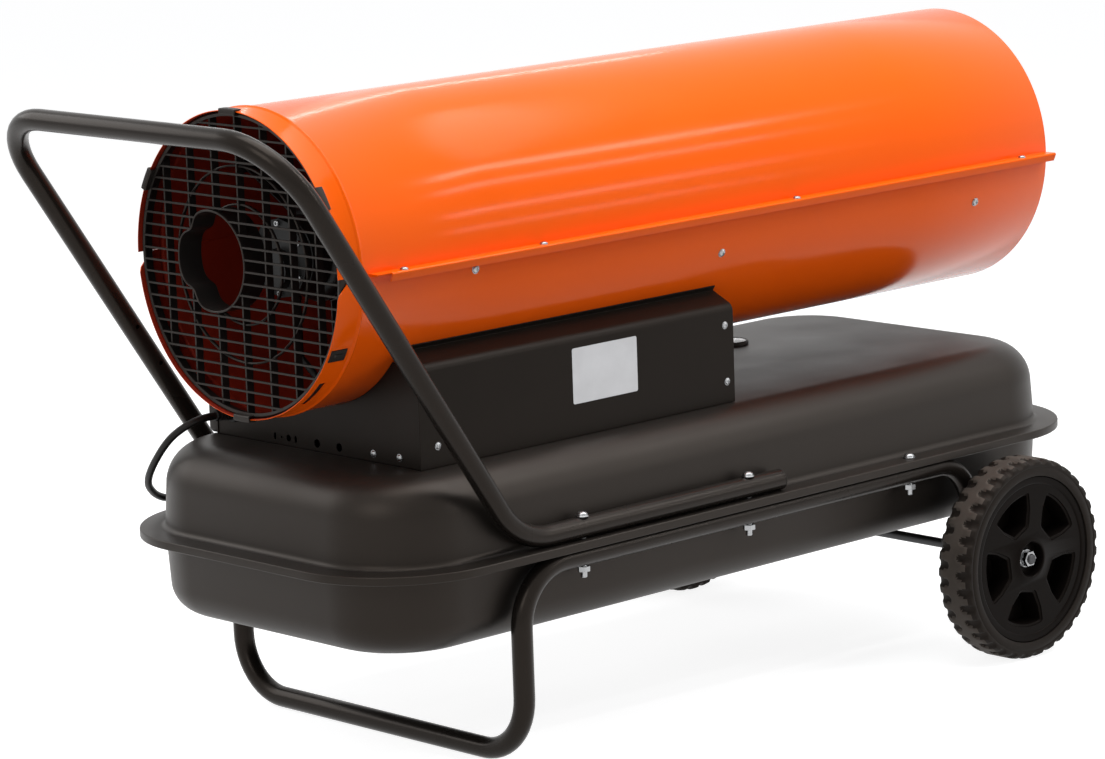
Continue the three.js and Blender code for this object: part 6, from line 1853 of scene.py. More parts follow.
can = spun(raised(can_front, can_profile, -1), 48, "Y", (KNOB_X, CONTROL_LEVEL))
tabs = [
    brick(
        KNOB_X + x - 0.0024, KNOB_X + x + 0.0024, can_front - 0.0315, can_front - 0.0235,
        CONTROL_LEVEL - 0.0004, CONTROL_LEVEL + 0.0004
    )
    for x in (-0.006, 0.006)
]
piece("thermostat_can", can, plastic, "plastic", stands_for=("thermostat_body",), crease=35)
piece("thermostat_tabs", tabs, brass, "brass", node="thermostat_body", crease=35)
print("marks:", len(marks))

# %% [markdown]
# The switch snaps into the console. Its body is a deep frame, and the rocker turns in it about a pin along
# the machine. The rocker's face is hollow, so that the low end invites a push. A short bar and a ring, two
# signs that any maker uses, tell its ends apart.

# %% Mould the switch and its rocker

frame_blank = template(
    "switch_frame", [switch_block(0.0107, 0.0147, CONSOLE_FACE - 0.018, CONSOLE_FACE + 0.0009)]
)
frame_lip = drawn(
    rounded_rectangle(
        SWITCH_X - 0.0127, SWITCH_X + 0.0127, CONTROL_LEVEL - 0.0167, CONTROL_LEVEL + 0.0167, 0.0016, 5
    ),
    "Y", CONSOLE_FACE + 0.0003, CONSOLE_FACE + 0.0015,
    [
        rounded_rectangle(
            SWITCH_X - 0.0087, SWITCH_X + 0.0087, CONTROL_LEVEL - 0.0127, CONTROL_LEVEL + 0.0127, 0.0008, 3
        )
    ],
    0.0005
)
frame_well = template(
    "switch_well", [switch_block(0.0087, 0.0127, CONSOLE_FACE - 0.01, CONSOLE_FACE + 0.006)]
)
switch_frame = carved(frame_blank, [frame_well])
switch_frame.data.transform(to_row)
finished(switch_frame, plastic, "plastic", stands_for=("power_switch_body",), edge=0.0002, crease=30)
piece("switch_lip", frame_lip, plastic, "plastic", node="power_switch_body", crease=30)
ROCKER_PIVOT = CONSOLE_FACE - 0.008 / 3
ROCKER_HALF = 0.0119
hollow_face = [
    (ROCKER_PIVOT + 0.0024 + 0.002 * (abs(share) ** 1.6), ROCKER_HALF * share)
    for share in [-1 + k / 6 for k in range(13)]
]
rocker_outline = [(0, -ROCKER_HALF)] + [
    (y - ROCKER_PIVOT, z) for y, z in hollow_face
] + [(0, ROCKER_HALF), (-0.004, 0)]
tilt = Matrix.Translation(
    (SWITCH_X, ROCKER_PIVOT, CONTROL_LEVEL)
) @ Matrix.Rotation(math.radians(-7), 4, "X")
rocker_block = moved(drawn(rocker_outline, "X", -0.0079, 0.0079, chamfer=0.0003), tilt)
piece("switch_rocker", rocker_block, signal_red, "red", stands_for=("power_switch_rocker",), crease=30)
bar_sign = moved(brick(-0.0004, 0.0004, 0.0036, 0.0039, 0.0055, 0.0088), tilt)
ring_sign = moved(
    spun([(0.0036, 0.0009), (0.0039, 0.0009), (0.0039, 0.0016), (0.0036, 0.0016)], 28, "Y", (0, -0.0072)),
    tilt
)
piece("rocker_signs", [bar_sign, ring_sign], white_print, "red", node="power_switch_rocker", crease=40)
print("rocker", round(2000 * ROCKER_HALF), "mm long")

# %% [markdown]
# The cord leaves the front plate through a moulded gland. A flange seats on the plate, and the tail is a cone
# with grooves all round, so that it bends with the cord instead of letting it kink at the edge.

# %% Mould the gland and the plate's screws

gland_face = BOX_START - GAP
gland_profile = raised(BOX_START + BOX_WALL, [(0.01, 0), (0.01, 0.008), (0.0002, 0.009)])
gland_profile += raised(
    gland_face,
    [(0, 0.009), (0, 0.0116), (0.0006, 0.012), (0.0032, 0.012), (0.004, 0.0112), (0.004, 0.0092)], -1
)
for k in range(5):
    start = gland_face - 0.0064 - 0.0044 * k
    radius = 0.009 - 0.0005 * k
    groove = [(0, radius), (0.0004, radius - 0.0012), (0.0018, radius - 0.0013), (0.0022, radius - 0.0002)]
    gland_profile += raised(start, groove, -1)
gland_profile += raised(gland_face, [(0.0292, 0.0068), (0.03, 0.006), (0.03, 0)], -1)
piece(
    "lead_gland", spun(gland_profile, 40, "X", (GLAND_ASIDE, GLAND_LEVEL)), hose_rubber, "rubber",
    stands_for=("cord_gland",), crease=35
)
plate_screws = [(BOX_START, y, PLATE_ROW + z) for y, z in ((-0.0985, 0.0), (-0.1429, 0.0007))]
set_screws(
    "plate_screws", screw_head, plate_screws, [(-1, 0, 0)] * len(plate_screws), "saddle_base", size=0.85
)
cover_screws = []
cover_turns = []
for side in (-1, 1):
    for x, z in ((0.1345, 0.1257), (0.6124, 0.196), (0.6141, 0.1273)):
        if side < 0 or x > 0.5:
            cover_screws.append((x - 0.01 if x > 0.5 else x, side * BOX_HALF_WIDTH, z + 0.0024))
            cover_turns.append((0, side, 0))
set_screws("cover_screws", screw_head, cover_screws, cover_turns, "near_side_cover", size=0.85)
print("screws on the box:", len(plate_screws) + len(cover_screws))

# %% [markdown]
# A thin blank plate is stuck on the near cover. Its outline has small rounds at the corners and is drawn out
# by a third of a millimetre, with a fine chamfer that catches the light.

# %% Stick the blank plate on

PLATE_OUTLINE = (0.348, 0.4535, 0.1418, 0.2076)
foil_plate = drawn(
    rounded_rectangle(*PLATE_OUTLINE, 0.0025, 5), "Y", -BOX_HALF_WIDTH - 0.0004, -BOX_HALF_WIDTH - 0.00005,
    chamfer=0.0001
)
piece("blank_plate", foil_plate, foil, "box", node="near_side_cover", crease=30)
print("blank plate", round(1000 * (PLATE_OUTLINE[1] - PLATE_OUTLINE[0])), "mm wide")

# %% [markdown]
# ## Bolts, axle and plugs
# Six bolts hold the tank's flange to the tubes. Each has a washer, a domed head above and a nut below, and
# all six share one shape. The axle is a rod whose threaded ends carry flanged nuts in the wheels' recesses.

# %% Turn the bolts

BOLT_PLACES = (0.2895, 0.5636, 0.8498)
BOLT_UNDER = -RUN_HEIGHT - TUBE_RADIUS - GAP


def hexagon(u, v, across_flats):
    return circle(u, v, across_flats / math.sqrt(3), 6)


def bolt(x, y, top):
    washer_profile = [
        (0, 0.0041), (0, 0.0077), (0.0003, 0.008), (0.0013, 0.008), (0.0016, 0.0077), (0.0016, 0.0041)
    ]
    washer = spun(raised(top, washer_profile), 32, "Z", (x, y))
    seat_level = top + 0.0016
    dome = [(seat_level, 0), (seat_level, 0.0067), (seat_level + 0.0006, 0.0067)]
    dome += [
        (seat_level + 0.0006 + 0.0039 * math.sin(math.radians(a)), 0.0067 * math.cos(math.radians(a)))
        for a in range(12, 85, 12)
    ]
    dome += [(seat_level + 0.0045, 0)]
    thread_end = raised(BOLT_UNDER, [(0.0135, 0), (0.0135, 0.0032), (0.0125, 0.004)], -1)
    shank = spun(thread_end + [(top, 0.004), (top, 0)], 24, "Z", (x, y))
    nut = drawn(hexagon(x, y, 0.013), "Z", BOLT_UNDER - 0.0065, BOLT_UNDER, chamfer=0.0005)
    return [washer, spun(dome, 36, "Z", (x, y)), shank, nut]


for side, name in SIDES:
    for number, x in enumerate(BOLT_PLACES):
        top = (RUN_HEIGHT + TUBE_RADIUS if number < 2 else SEAM_LEVEL) + GAP
        piece(
            f"{name}_bolt_{number + 1}", bolt(x, side * TUBE_ASIDE, top), zinc, "zinc",
            stands_for=(f"flange_bolt_{name}_{number + 1}",), crease=35
        )
print("bolts:", 2 * len(BOLT_PLACES))

# %% Turn the axle, its nuts and the tube plugs

NUT_LOW = RIM_FACE - HUB_RECESS_DEPTH + GAP
AXLE_REACH = NUT_LOW + 0.013
axle_profile = [(-AXLE_REACH, 0), (-AXLE_REACH, 0.005), (-AXLE_REACH + 0.001, 0.006)]
for k in range(9):
    start = -AXLE_REACH + 0.0015 + 0.0015 * k
    axle_profile += [(start, 0.006), (start + 0.00055, 0.0053), (start + 0.0011, 0.006)]
axle_profile += [(-AXLE_REACH + 0.016, 0.006)]
axle_profile += [(-along, radius) for along, radius in axle_profile[::-1]]
piece(
    "axle_rod", spun(axle_profile, 32, "Y", (AXLE_PLACE, AXLE_HEIGHT)), dim_zinc_painted_shade, "zinc",
    stands_for=("axle",), crease=35
)


def axle_nut(side):
    """A nut with a thin flange. Its ring round the bore is spun, and its flats are drawn out with a hole."""
    flange_profile = [(0, 0.0065), (0, 0.0125), (0.0008, 0.0125), (0.002, 0.0112), (0.002, 0.0065)]
    flange = spun(raised(NUT_LOW, flange_profile), 48, "Y", (AXLE_PLACE, AXLE_HEIGHT))
    bore = circle(AXLE_PLACE, AXLE_HEIGHT, 0.0064, 32)
    flats = drawn(
        hexagon(AXLE_PLACE, AXLE_HEIGHT, 0.018), "Y", NUT_LOW + 0.0015, NUT_LOW + 0.01, [bore], 0.0009,
        0.0005
    )
    mirror = Matrix.Scale(side, 4, (0, 1, 0))
    return [moved(flange, mirror), moved(flats, mirror)]


for side, name in SIDES:
    piece(f"{name}_axle_nut", axle_nut(side), zinc, "zinc", stands_for=(f"axle_nut_{name}",), crease=35)
plug_steps = [
    (-0.014, 0), (-0.014, 0.0103), (0.0003, 0.0107), (0.0003, 0.0125), (0.0018, 0.0125), (0.0028, 0.0117)
]
plug_head = raised(RUN_END, plug_steps + [(0.0033, 0.0095), (0.0033, 0)])
for side, name in SIDES:
    piece(
        f"{name}_tube_plug", spun(plug_head, 40, "X", (side * TUBE_ASIDE, RUN_HEIGHT)), plastic, "plastic",
        stands_for=(f"handle_end_plug_{name}",), crease=35
    )
print("axle", round(2 * AXLE_REACH, 3), "m")

# %% [markdown]
# ## Filler and gauge
# They stand on the tank's far top, of which the picture shows only the gauge's edge. The neck is a turned
# tube with a flange. The cap is a moulded dome with eight soft lugs. The gauge is a float gauge: a case with
# a rolled bezel, a pale dial with marks, a red needle on a pin and a clear lens.

# %% Make the filler neck and its cap

FILLER = (0.8, 0.105)
NECK_RADIUS = 0.027
LUGS = 8
LUG_STEPS = 192
neck_steps = [(-0.016, NECK_RADIUS - 0.002), (-0.016, NECK_RADIUS), (0.0003, NECK_RADIUS), (0.0003, 0.0357)]
neck_steps += [(0.0006, 0.036), (0.002, 0.036), (0.0023, 0.0357), (0.0023, NECK_RADIUS + 0.0012)]
neck_steps += [
    (0.0034, NECK_RADIUS), (0.0134, NECK_RADIUS), (0.014, NECK_RADIUS - 0.001),
    (0.0134, NECK_RADIUS - 0.002)
]
neck_profile = raised(TANK_TOP, neck_steps)
piece(
    "filler_neck_tube", spun(neck_profile, 64, "Z", FILLER), steel, "steel", stands_for=("filler_neck",),
    crease=35
)
CAP_LOW = TANK_TOP + 0.0026
CAP_LID = TANK_TOP + 0.0143
CAP_HIGH = CAP_LOW + 0.024
cap_profile = [
    (CAP_LID, 0), (CAP_LID, 0.0273), (CAP_LOW, 0.0273), (CAP_LOW, 0.0335), (CAP_LOW + 0.0006, 0.034),
    (CAP_HIGH - 0.0042, 0.034)
]
cap_profile += [
    (CAP_HIGH - 0.0042 + 0.0042 * math.sin(math.radians(a)), 0.0298 + 0.0042 * math.cos(math.radians(a)))
    for a in (20, 40, 60, 80)
]
cap_profile += [(CAP_HIGH, 0.0285), (CAP_HIGH, 0.0235), (CAP_HIGH - 0.0012, 0.0222), (CAP_HIGH - 0.0012, 0)]
lugs = []
for k in range(LUG_STEPS):
    angle = 2 * math.pi * k / LUG_STEPS
    swell = max(0.0, math.cos(LUGS * angle)) ** 0.6
    radius = 0.0335 + 0.0045 * swell
    lugs.append((FILLER[0] + radius * math.cos(angle), FILLER[1] + radius * math.sin(angle)))
lug_ring = drawn(lugs, "Z", CAP_LOW + 0.003, CAP_HIGH - 0.003, [circle(*FILLER, 0.029, 64)], 0.0011)
piece(
    "filler_cap_dome", [spun(cap_profile, 96, "Z", FILLER), lug_ring], plastic, "plastic",
    stands_for=("filler_cap",), crease=30
)
print("cap", round(1000 * (CAP_HIGH - CAP_LOW)), "mm high")

# %% Make the fuel gauge

GAUGE = (0.893, 0.095)
GAUGE_LOW = TANK_TOP + GAP
GAUGE_HIGH = GAUGE_LOW + 0.0055
DIAL_LEVEL = GAUGE_HIGH - 0.0035
case_profile = [
    (TANK_TOP - 0.022, 0), (TANK_TOP - 0.022, 0.017), (GAUGE_LOW, 0.017), (GAUGE_LOW, 0.0237),
    (GAUGE_LOW + 0.0004, 0.024),
    *raised(
        GAUGE_HIGH, [(0.0018, 0.024), (0.0006, 0.0235), (0, 0.0225), (0.0002, 0.0213), (0.0008, 0.021)], -1
    ),
    (DIAL_LEVEL, 0.021), (DIAL_LEVEL, 0.001), (DIAL_LEVEL + 0.0016, 0.001), (DIAL_LEVEL + 0.0016, 0)
]
piece(
    "gauge_case", spun(case_profile, 72, "Z", GAUGE), plastic, "chrome", stands_for=("fuel_gauge_case",),
    crease=35
)
dial = spun(
    [
        (DIAL_LEVEL, 0.0012), (DIAL_LEVEL + 0.00015, 0.0012), (DIAL_LEVEL + 0.00015, 0.0205),
        (DIAL_LEVEL, 0.0205)
    ],
    64, "Z", GAUGE
)
piece("gauge_dial", dial, white_print, "chrome", node="fuel_gauge_case", crease=40)
gauge_marks = []
for k in range(9):
    angle = math.radians(-10 + 15 * k)
    out = Vector((math.cos(angle), math.sin(angle), 0))
    half = 0.0016 if k % 4 == 0 else 0.0009
    mark = brick(-half, half, -0.0003, 0.0003, DIAL_LEVEL + 0.0001, DIAL_LEVEL + 0.00025)
    middle = Vector((*GAUGE, 0)) + out * (0.0178 - half)
    gauge_marks.append(moved(mark, Matrix.Translation(middle) @ Matrix.Rotation(angle, 4, "Z")))
piece("gauge_marks", gauge_marks, plastic, "chrome", node="fuel_gauge_case", crease=40)
needle_low = DIAL_LEVEL + 0.0003
needle_outline = [
    (-0.0046, -0.0005), (0.0, -0.0012), (0.013, -0.00035), (0.014, 0.0), (0.013, 0.00035), (0.0, 0.0012),
    (-0.0046, 0.0005)
]
needle_blade = drawn(
    [(GAUGE[0] + u, GAUGE[1] + v) for u, v in needle_outline], "Z", needle_low, needle_low + 0.0006,
    [circle(*GAUGE, 0.00105, 10)]
)
hub_steps = [(0, 0.0013), (0, 0.0026), (0.0005, 0.0026), (0.0008, 0.0021), (0.0008, 0.0013)]
needle_hub = spun(raised(needle_low, hub_steps), 28, "Z", GAUGE)
piece(
    "gauge_needle", [needle_blade, needle_hub], signal_red, "red", stands_for=("fuel_gauge_needle",),
    crease=35
)
lens_profile = raised(
    GAUGE_HIGH, [(0.0014, 0), (0.0014, 0.0207), (0.0006, 0.0207), (0.0001, 0.015), (0, 0)], -1
)
piece(
    "gauge_window", spun(lens_profile, 64, "Z", GAUGE), clear, "lens", stands_for=("fuel_gauge_lens",),
    crease=50
)
print("gauge marks:", len(gauge_marks))

# %% [markdown]
# ## The motor, its bracket and the fan
# Behind the grille hangs an electric motor, a black can between two cast bells that four long bolts pull
# together. A three-legged steel bracket clamps it and reaches the casing. Its shaft carries an axial fan of
# six twisted blades. Motor, bracket and fan are darker than their metal: painted shade of the casing's
# inside, over the motor's own black. A can like this is spun from a profile. The blades are lofted sections,
# so that chord and pitch change from root to tip, and a Geometry Nodes tree sets six copies of one blade round
# the shaft.

# %% Build the motor and the fan

AXIS = (0.0, CASING_AXIS)
SHAFT_RADIUS = 0.007
SHAFT_BORE = 0.0073
MOTOR_START = 0.104
MOTOR_END = 0.204
MOTOR_RADIUS = 0.057
MOTOR_BELL = 0.014
MOTOR_BELL_RADIUS = 0.048
BOLT_CIRCLE = 0.042

front_bell = [
    (MOTOR_START, SHAFT_BORE), (MOTOR_START, 0.019), (MOTOR_START + 0.003, 0.021),
    (MOTOR_START + 0.003, MOTOR_BELL_RADIUS - 0.004)
]
front_bell += circle(MOTOR_START + MOTOR_BELL, MOTOR_BELL_RADIUS - 0.005, MOTOR_BELL - 0.001, 6, 180, 90)
front_bell += [(MOTOR_START + MOTOR_BELL, MOTOR_RADIUS), (MOTOR_START + MOTOR_BELL + 0.012, MOTOR_RADIUS)]
stator = [(0.1305, MOTOR_RADIUS - 0.0012), (0.1765, MOTOR_RADIUS - 0.0012)]
rear_bell = [(MOTOR_START + MOTOR_END - along, radius) for along, radius in front_bell[::-1]]
motor_can = spun(front_bell + stator + rear_bell, 96, "X", AXIS)
motor_blank = template("motor_can", [motor_can])


def turned_copies(shape, count, first_turn):
    """Copies of a shape turned about the casing's axis, in degrees."""
    angles = [math.radians(first_turn + 360 * k / count) for k in range(count)]
    middle = Matrix.Translation((0, 0, CASING_AXIS))
    return [moved(shape, middle @ Matrix.Rotation(angle, 4, "X")) for angle in angles]


def level_copies(shape, count, first_turn, along, radius):
    """Copies of a shape on a circle about the casing's axis, all facing the same way."""
    places = circle(0, CASING_AXIS, radius, count, first_turn, first_turn + 360)
    return [moved(shape, Matrix.Translation((along, y, z))) for y, z in places]


vents = turned_copies(
    brick(0.178, 0.189, MOTOR_RADIUS - 0.003, MOTOR_RADIUS + 0.004, -0.0035, 0.0035), 8, 0
)
motor_shape = as_shape(carved(motor_blank, [template("motor_vents", vents)]))
# The motor's black is partly its enamel and partly painted shade.
piece("motor_can", motor_shape, black_enamel_and_painted_shade, "plastic", stands_for=("motor_body",), crease=30)

hexagon_head = drawn(hexagon(0.0, 0.0, 0.0055), "X", 0.0, 0.0025, chamfer=0.0004)
bolt_heads = level_copies(hexagon_head, 4, 45, MOTOR_START + 0.0008, BOLT_CIRCLE)
# The motor bolts' darkened zinc is painted shade.
piece("motor_bolts", bolt_heads, dim_zinc_painted_shade, "zinc", node="motor_body", crease=28)

shaft_profile = chamfered_rod(0.071, 0.268, SHAFT_RADIUS, 0.0008)
piece(
    "motor_shaft_rod", spun(shaft_profile, 32, "X", AXIS), steel, "steel", stands_for=("motor_shaft",),
    crease=35
)

FAN_PLACE = 0.24
HUB_RADIUS = 0.042
BLADE_REACH = 0.158
BLADE_CHORDS = (0.066, 0.096)
BLADE_PITCHES = (38, 22)
BLADE_CAMBER = 0.007
BLADE_HALF = 0.0009
BLADE_SECTIONS = 15


def blade_ring(share):
    """One section of the blade: an arched strip with round edges, wrapped round the shaft."""
    radius = (HUB_RADIUS - BLADE_CAMBER) + (BLADE_REACH - HUB_RADIUS + BLADE_CAMBER) * share
    chord = BLADE_CHORDS[0] + (BLADE_CHORDS[1] - BLADE_CHORDS[0]) * math.sqrt(share)
    pitch = math.radians(BLADE_PITCHES[0] + (BLADE_PITCHES[1] - BLADE_PITCHES[0]) * share)
    tip = max(0.0, share - 0.9) / 0.1
    chord *= 1 - 0.16 * tip * tip

    def point(along, face):
        rise = BLADE_CAMBER * (1 - 4 * along * along) + face
        aside = along * chord * math.cos(pitch) - rise * math.sin(pitch)
        ahead = along * chord * math.sin(pitch) + rise * math.cos(pitch)
        return FAN_PLACE + ahead, radius * math.cos(aside / radius), -radius * math.sin(aside / radius)

    spread = [k / 20 - 0.5 for k in range(21)]
    faces = [BLADE_HALF * math.sqrt(max(0.08, 1 - (2 * abs(along)) ** 10)) for along in spread]
    below = [point(along, -face) for along, face in zip(spread, faces)]
    above = [point(along, face) for along, face in zip(spread[::-1], faces[::-1])]
    return below + above


blade = template(
    "fan_blade", [skinned([blade_ring(k / (BLADE_SECTIONS - 1)) for k in range(BLADE_SECTIONS)])]
)
# The blades and the hub are near black: painted shade.
round_row("fan_blades", blade, 6, 90, fan_black, "aluminium", (0, 0, CASING_AXIS), node="fan", crease=40)
hub_profile = [(0.227, SHAFT_BORE), (0.227, 0.038)] + circle(0.23, 0.039, 0.003, 6, 180, 90)
hub_profile += [(0.246, HUB_RADIUS)] + circle(0.246, 0.035, 0.007, 6, 90, 0)
hub_profile += [(0.253, 0.018), (0.2505, 0.016), (0.2505, SHAFT_BORE)]
piece("fan_hub", spun(hub_profile, 96, "X", AXIS), fan_black, "aluminium", stands_for=("fan",), crease=35)
# The bracket's darkened zinc is painted shade.
refined("motor_bracket", dim_zinc_painted_shade, "zinc", edge=0.0004)
print("fan blades: 6, motor bolts:", len(bolt_heads))

# %% [markdown]
# ## The air pump
# A small vane pump on the front of the motor blows the air that lifts and sprays the fuel. The real one is a
# cast ring with a bore set off its shaft, a slotted carbon rotor and a cover that holds the filters. The ring
# is a turned shape here with its bore cut by a Boolean; rotor and cover are the frame's own shapes with their
# edges broken, and cap screws sit on the cover.

# %% Build the pump

PUMP_START = 0.076
PUMP_END = 0.1037
PUMP_RADIUS = 0.046
WELL_RADIUS = 0.036
WELL_ASIDE = 0.003
COVER_FRONT = 0.0658
COVER_SCREW_CIRCLE = 0.0405
pump_ring = spun(chamfered_rod(PUMP_START, PUMP_END, PUMP_RADIUS, 0.0008), 96, "X", AXIS)
well = template(
    "pump_well", [spun(rod(PUMP_START - 0.004, 0.0977, WELL_RADIUS), 96, "X", (WELL_ASIDE, CASING_AXIS))]
)
shaft_hole = template("pump_bore", [spun(rod(0.07, 0.11, SHAFT_BORE), 32, "X", AXIS)])
pump_shape = as_shape(carved(template("pump_ring", [pump_ring]), [well, shaft_hole]))
# The pump's cast ring and cover get the black: painted shade.
piece("pump_ring", pump_shape, black_enamel_and_painted_shade, "aluminium", stands_for=("pump_body",), crease=30)
refined("pump_rotor", black_enamel_and_painted_shade, "plastic", edge=0.0003)
refined("pump_cover", black_enamel_and_painted_shade, "aluminium", edge=0.0008)
cap_screw = spun(
    [
        (0.0, 0), (0.0, 0.0036), (-0.0034, 0.0036), (-0.004, 0.003), (-0.004, 0.0018), (-0.0022, 0.0018),
        (-0.0022, 0)
    ],
    24, "X"
)
pump_screws = level_copies(cap_screw, 6, 30, COVER_FRONT, COVER_SCREW_CIRCLE)
piece("pump_screws", pump_screws, zinc, "zinc", node="pump_cover", crease=30)
print("pump screws:", len(pump_screws))

# %% [markdown]
# ## The combustion chamber
# The chamber is a rolled drum of heat-proof steel with stiffening beads, a nose drawn in at the outlet and a
# rear head with curved slots for the swirling air. A dished target inside spreads the flame. Two saddles
# hold the drum clear of the casing. Heat has tinted them all brown. The drum is one spun profile with its
# holes cut by a Boolean.

# %% Build the chamber, its head, its target and its saddles

CHAMBER_START = 0.35
CHAMBER_END = 1.03
CHAMBER_RADIUS = 0.128
CHAMBER_WALL = 0.0015
NOSE_END = 1.092
NOSE_RADIUS = 0.096
LIP_END = 1.102
DRUM_BEAD_WIDTH = 0.012
DRUM_BEAD_HEIGHT = 0.0012
BEAD_STEPS = 6
BEAD_PLACES = (0.395, 0.555, 0.655, 0.755, 0.855, 0.99)


def bead(centre):
    """A rolled rib that stands out from the drum."""
    turns = [math.pi * k / BEAD_STEPS for k in range(BEAD_STEPS + 1)]
    start = centre - DRUM_BEAD_WIDTH / 2
    foot = CHAMBER_RADIUS - DRUM_BEAD_HEIGHT * 0.02
    return [(start + DRUM_BEAD_WIDTH * a / math.pi, foot + DRUM_BEAD_HEIGHT * math.sin(a)) for a in turns]


drum_line = [(CHAMBER_START, CHAMBER_RADIUS)]
for place in BEAD_PLACES:
    drum_line += bead(place)
drum_line += [(CHAMBER_END - 0.006, CHAMBER_RADIUS)]
drum_line += [
    (CHAMBER_END, CHAMBER_RADIUS - 0.0006), (NOSE_END - 0.003, NOSE_RADIUS + 0.0008),
    (NOSE_END, NOSE_RADIUS), (LIP_END, NOSE_RADIUS)
]
drum_inside = [(along, radius - CHAMBER_WALL) for along, radius in drum_line[::-1]]
drum = template("chamber_drum", [spun(drum_line + drum_inside, 128, "X", AXIS)])
air_holes = turned_copies(spun(rod(0.11, 0.145, 0.009), 32, "Y", (0.47, 0.0)), 6, 30)
drum_shape = as_shape(carved(drum, [template("air_holes", air_holes)]))
piece("chamber_drum", drum_shape, tinted_steel, "chamber", stands_for=("combustion_chamber",), crease=30)
for node in ("chamber_rear_head", "flame_target", "chamber_saddle_rear", "chamber_saddle_front"):
    refined(node, tinted_steel, "chamber", edge=0.0003)
print("chamber holes:", len(air_holes))

# %% [markdown]
# ## The burner
# The burner head is a cast block that carries the brass nozzle in the middle, two ignition electrodes in
# glazed ceramic and the flame sensor above them. Ceramic bodies are turned with the ribs that keep a spark
# from creeping along them.

# %% Build the burner

refined("burner_head", aluminium, "aluminium", edge=0.0006)
nozzle_profile = [(0.2849, 0), (0.2849, 0.0052), (0.291, 0.0052), (0.291, 0.0087), (0.306, 0.0087)]
nozzle_profile += [
    (0.3065, 0.0079), (0.309, 0.0079), (0.3095, 0.0087), (0.356, 0.0087), (0.362, 0.0062), (0.362, 0.0042)
]
nozzle_profile += [(0.366, 0.0036), (0.366, 0.0008), (0.3645, 0.0005), (0.3645, 0)]
piece(
    "nozzle_body", spun(nozzle_profile, 48, "X", AXIS), brass, "brass", stands_for=("burner_nozzle",),
    crease=32
)

ELECTRODE_ASIDE = 0.014
ELECTRODE_ABOVE = 0.007
insulators = []
wires = []
for side in (-1, 1):
    centre = (side * ELECTRODE_ASIDE, CASING_AXIS + ELECTRODE_ABOVE)
    ribs = [(0.3109, 0), (0.3109, 0.0024), (0.3115, 0.003)]
    for k in range(8):
        place = 0.35 + 0.0034 * k
        ribs += [
            (place, 0.0027), (place + 0.0008, 0.0032), (place + 0.0018, 0.0032), (place + 0.0026, 0.0027)
        ]
    ribs += [(0.3796, 0.003), (0.38, 0.0024), (0.38, 0)]
    insulators.append(spun(ribs, 32, "X", centre))
    tip = [
        (0.3795, centre[0], centre[1]), (0.3835, centre[0], centre[1]),
        (0.3862, centre[0] - side * 0.0014, centre[1]), (0.39, centre[0] - side * 0.0062, centre[1])
    ]
    wires.append(swept([Vector(point) for point in tip], round_section(0.0014, 12)))
piece("electrode_ceramics", insulators, ceramic, "ceramic", stands_for=("spark_electrodes",), crease=35)
piece("electrode_wires", wires, steel, "steel", node="spark_electrodes", crease=40)
clamp = drawn(
    rounded_rectangle(-0.0205, 0.0205, ELECTRODE_ABOVE - 0.0055, ELECTRODE_ABOVE + 0.0055, 0.004), "X",
    0.3147, 0.3185, chamfer=0.0003
)
piece(
    "electrode_clamp", moved(clamp, Matrix.Translation((0, 0, CASING_AXIS))), zinc, "zinc",
    node="spark_electrodes", crease=30
)

sensor_profile = [
    (0.3149, 0), (0.3149, 0.0042), (0.3157, 0.005), (0.3299, 0.005), (0.3299, 0.0066), (0.3303, 0.007),
    (0.3442, 0.007), (0.3446, 0.0066)
]
sensor_profile += [(0.3446, 0.005), (0.3465, 0.005), (0.3479, 0.0036), (0.3479, 0)]
piece(
    "sensor_tube", spun(sensor_profile, 36, "X", (0, CASING_AXIS + 0.032)), black_enamel_and_painted_shade, "plastic",
    stands_for=("flame_sensor",), crease=32
)
print("electrodes:", len(insulators))

# %% [markdown]
# ## The electrics in the box
# A potted ignition transformer and a control board stand on the box's floor. The transformer is a cast block
# with rounded edges, a foot that is screwed down and two terminals. The board is green laminate on four
# posts, with two relays, a terminal strip and small parts in rows.

# %% Build the transformer and the board

refined("ignition_transformer", black_enamel_and_painted_shade, "plastic", edge=0.0014)
post_screws = [(x, y, 0.1072) for x in (0.2933, 0.4167) for y in (-0.1045, -0.0855)]
set_screws(
    "transformer_screws", screw_head, post_screws, [(0, 0, 1)] * len(post_screws), "ignition_transformer",
    size=0.8
)
refined("control_board", board_green, "board", edge=0.0002)
BOARD_TOP = 0.1114
relay_coats = [
    brick(x - 0.0122, x + 0.0122, 0.0358, 0.0542, BOARD_TOP + 0.0004, 0.1276, chamfer=0.0006)
    for x in (0.204, 0.24)
]
piece("relay_cans", relay_coats, plastic, "plastic", node="control_board", crease=28)
strip = [
    brick(
        0.186 + 0.0102 * k, 0.1952 + 0.0102 * k, 0.01, 0.021, BOARD_TOP + 0.0002, BOARD_TOP + 0.012,
        chamfer=0.0005
    )
    for k in range(10)
]
piece("terminal_strip", strip, terminal_green, "plastic", node="control_board", crease=28)
part_profile = raised(BOARD_TOP, [(0, 0), (0, 0.0038), (0.0102, 0.0038), (0.011, 0.003), (0.011, 0)])
part_places = [(0.268 + 0.012 * (k % 2), 0.034 + 0.014 * (k // 2)) for k in range(6)]
small_parts = [spun(part_profile, 24, "Z", place) for place in part_places]
piece("board_capacitors", small_parts, black_enamel_and_painted_shade, "plastic", node="control_board", crease=32)
small_bodies = [
    brick(
        0.19 + 0.0085 * k, 0.1962 + 0.0085 * k, 0.066, 0.0695, BOARD_TOP, BOARD_TOP + 0.0024, chamfer=0.0005
    )
    for k in range(8)
]
piece("board_resistors", small_bodies, ceramic, "ceramic", node="control_board", crease=28)
print("parts on the board:", len(relay_coats) + len(strip) + len(small_parts) + len(small_bodies))
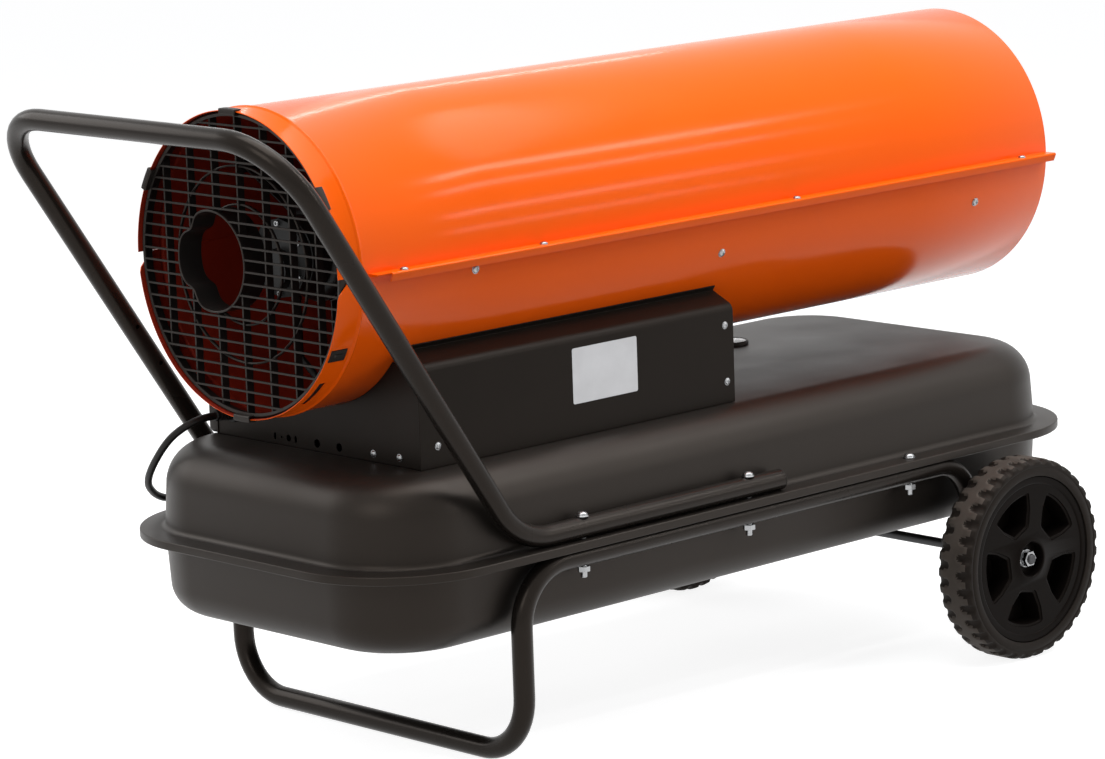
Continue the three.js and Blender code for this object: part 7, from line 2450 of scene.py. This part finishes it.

# %% [markdown]
# ## Fuel filter and hoses
# The fuel is drawn up a pipe from the tank through a clear filter bowl. One hose takes it to the nozzle and
# one brings the pump's air there. Hoses are swept along rounded lines, each with a clip at one end.

# %% Build the filter and the hoses

FILTER = (0.43, 0.06)
filter_profile = [
    (-0.0905, 0.0024), (-0.0905, 0.0034), (-0.09, 0.004), (0.1, 0.004), (0.1005, 0.0102), (0.101, 0.0107),
    (0.1033, 0.0107)
]
filter_profile += [
    (0.1033, 0.0165), (0.1038, 0.017), (0.1053, 0.017), (0.1058, 0.0165), (0.1058, 0.0045), (0.1108, 0.0045)
]
filter_profile += [(0.111, 0.013)] + [
    (0.113 + 0.0135 * k / 9, 0.0144 + 0.0005 * (k % 2)) for k in range(10)
]
filter_profile += [
    (0.1284, 0.013), (0.1288, 0.006), (0.1288, 0.0045), (0.132, 0.0045), (0.133, 0.004), (0.1338, 0.0038),
    (0.1338, 0.0024)
]
piece(
    "filter_bowl", spun(filter_profile, 48, "Z", FILTER), nylon, "filter", stands_for=("fuel_filter",),
    crease=32
)

HOSE_RADIUS = 0.004
AIR_PLACE = 0.08985
fuel_corners = [
    (0.43, 0.06, 0.1341), (0.43, 0.06, 0.1441), (0.32, 0.026, 0.1441), (0.3, 0.026, 0.1441),
    (0.3, 0.026, 0.3355), (0.3, 0.009, 0.3355)
]
air_corners = [
    (AIR_PLACE, 0, 0.2892), (AIR_PLACE, 0, 0.2181), (AIR_PLACE, -0.026, 0.1981),
    (AIR_PLACE, -0.026, 0.1681), (0.184, -0.026, 0.1681)
]
air_corners += [
    (0.184, -0.026, 0.1441), (0.3, -0.026, 0.1441), (0.3, -0.026, 0.3355), (0.3, -0.009, 0.3355)
]
fuel_line = bent_line(fuel_corners, [0.008, 0.006, 0.01, 0.008], 8)
air_line = bent_line(air_corners, [0.008, 0.008, 0.01, 0.01, 0.01, 0.01, 0.008], 8)
piece(
    "fuel_hose_tube", swept(fuel_line, round_section(HOSE_RADIUS, 20)), hose_rubber, "rubber",
    stands_for=("fuel_hose",), crease=50
)
piece(
    "air_hose_tube", swept(air_line, round_section(HOSE_RADIUS, 20)), hose_rubber, "rubber",
    stands_for=("air_hose",), crease=50
)
clip_profile = [(0, HOSE_RADIUS), (0, 0.0049), (0.004, 0.0049), (0.004, HOSE_RADIUS)]
clips = [
    spun(raised(along, clip_profile), 32, "Z", place)
    for along, place in ((0.1352, FILTER), (0.284, (AIR_PLACE, 0.0)))
]
piece("hose_clips", clips, zinc, "zinc", node="fuel_hose", crease=35)
print("hose clips:", len(clips))
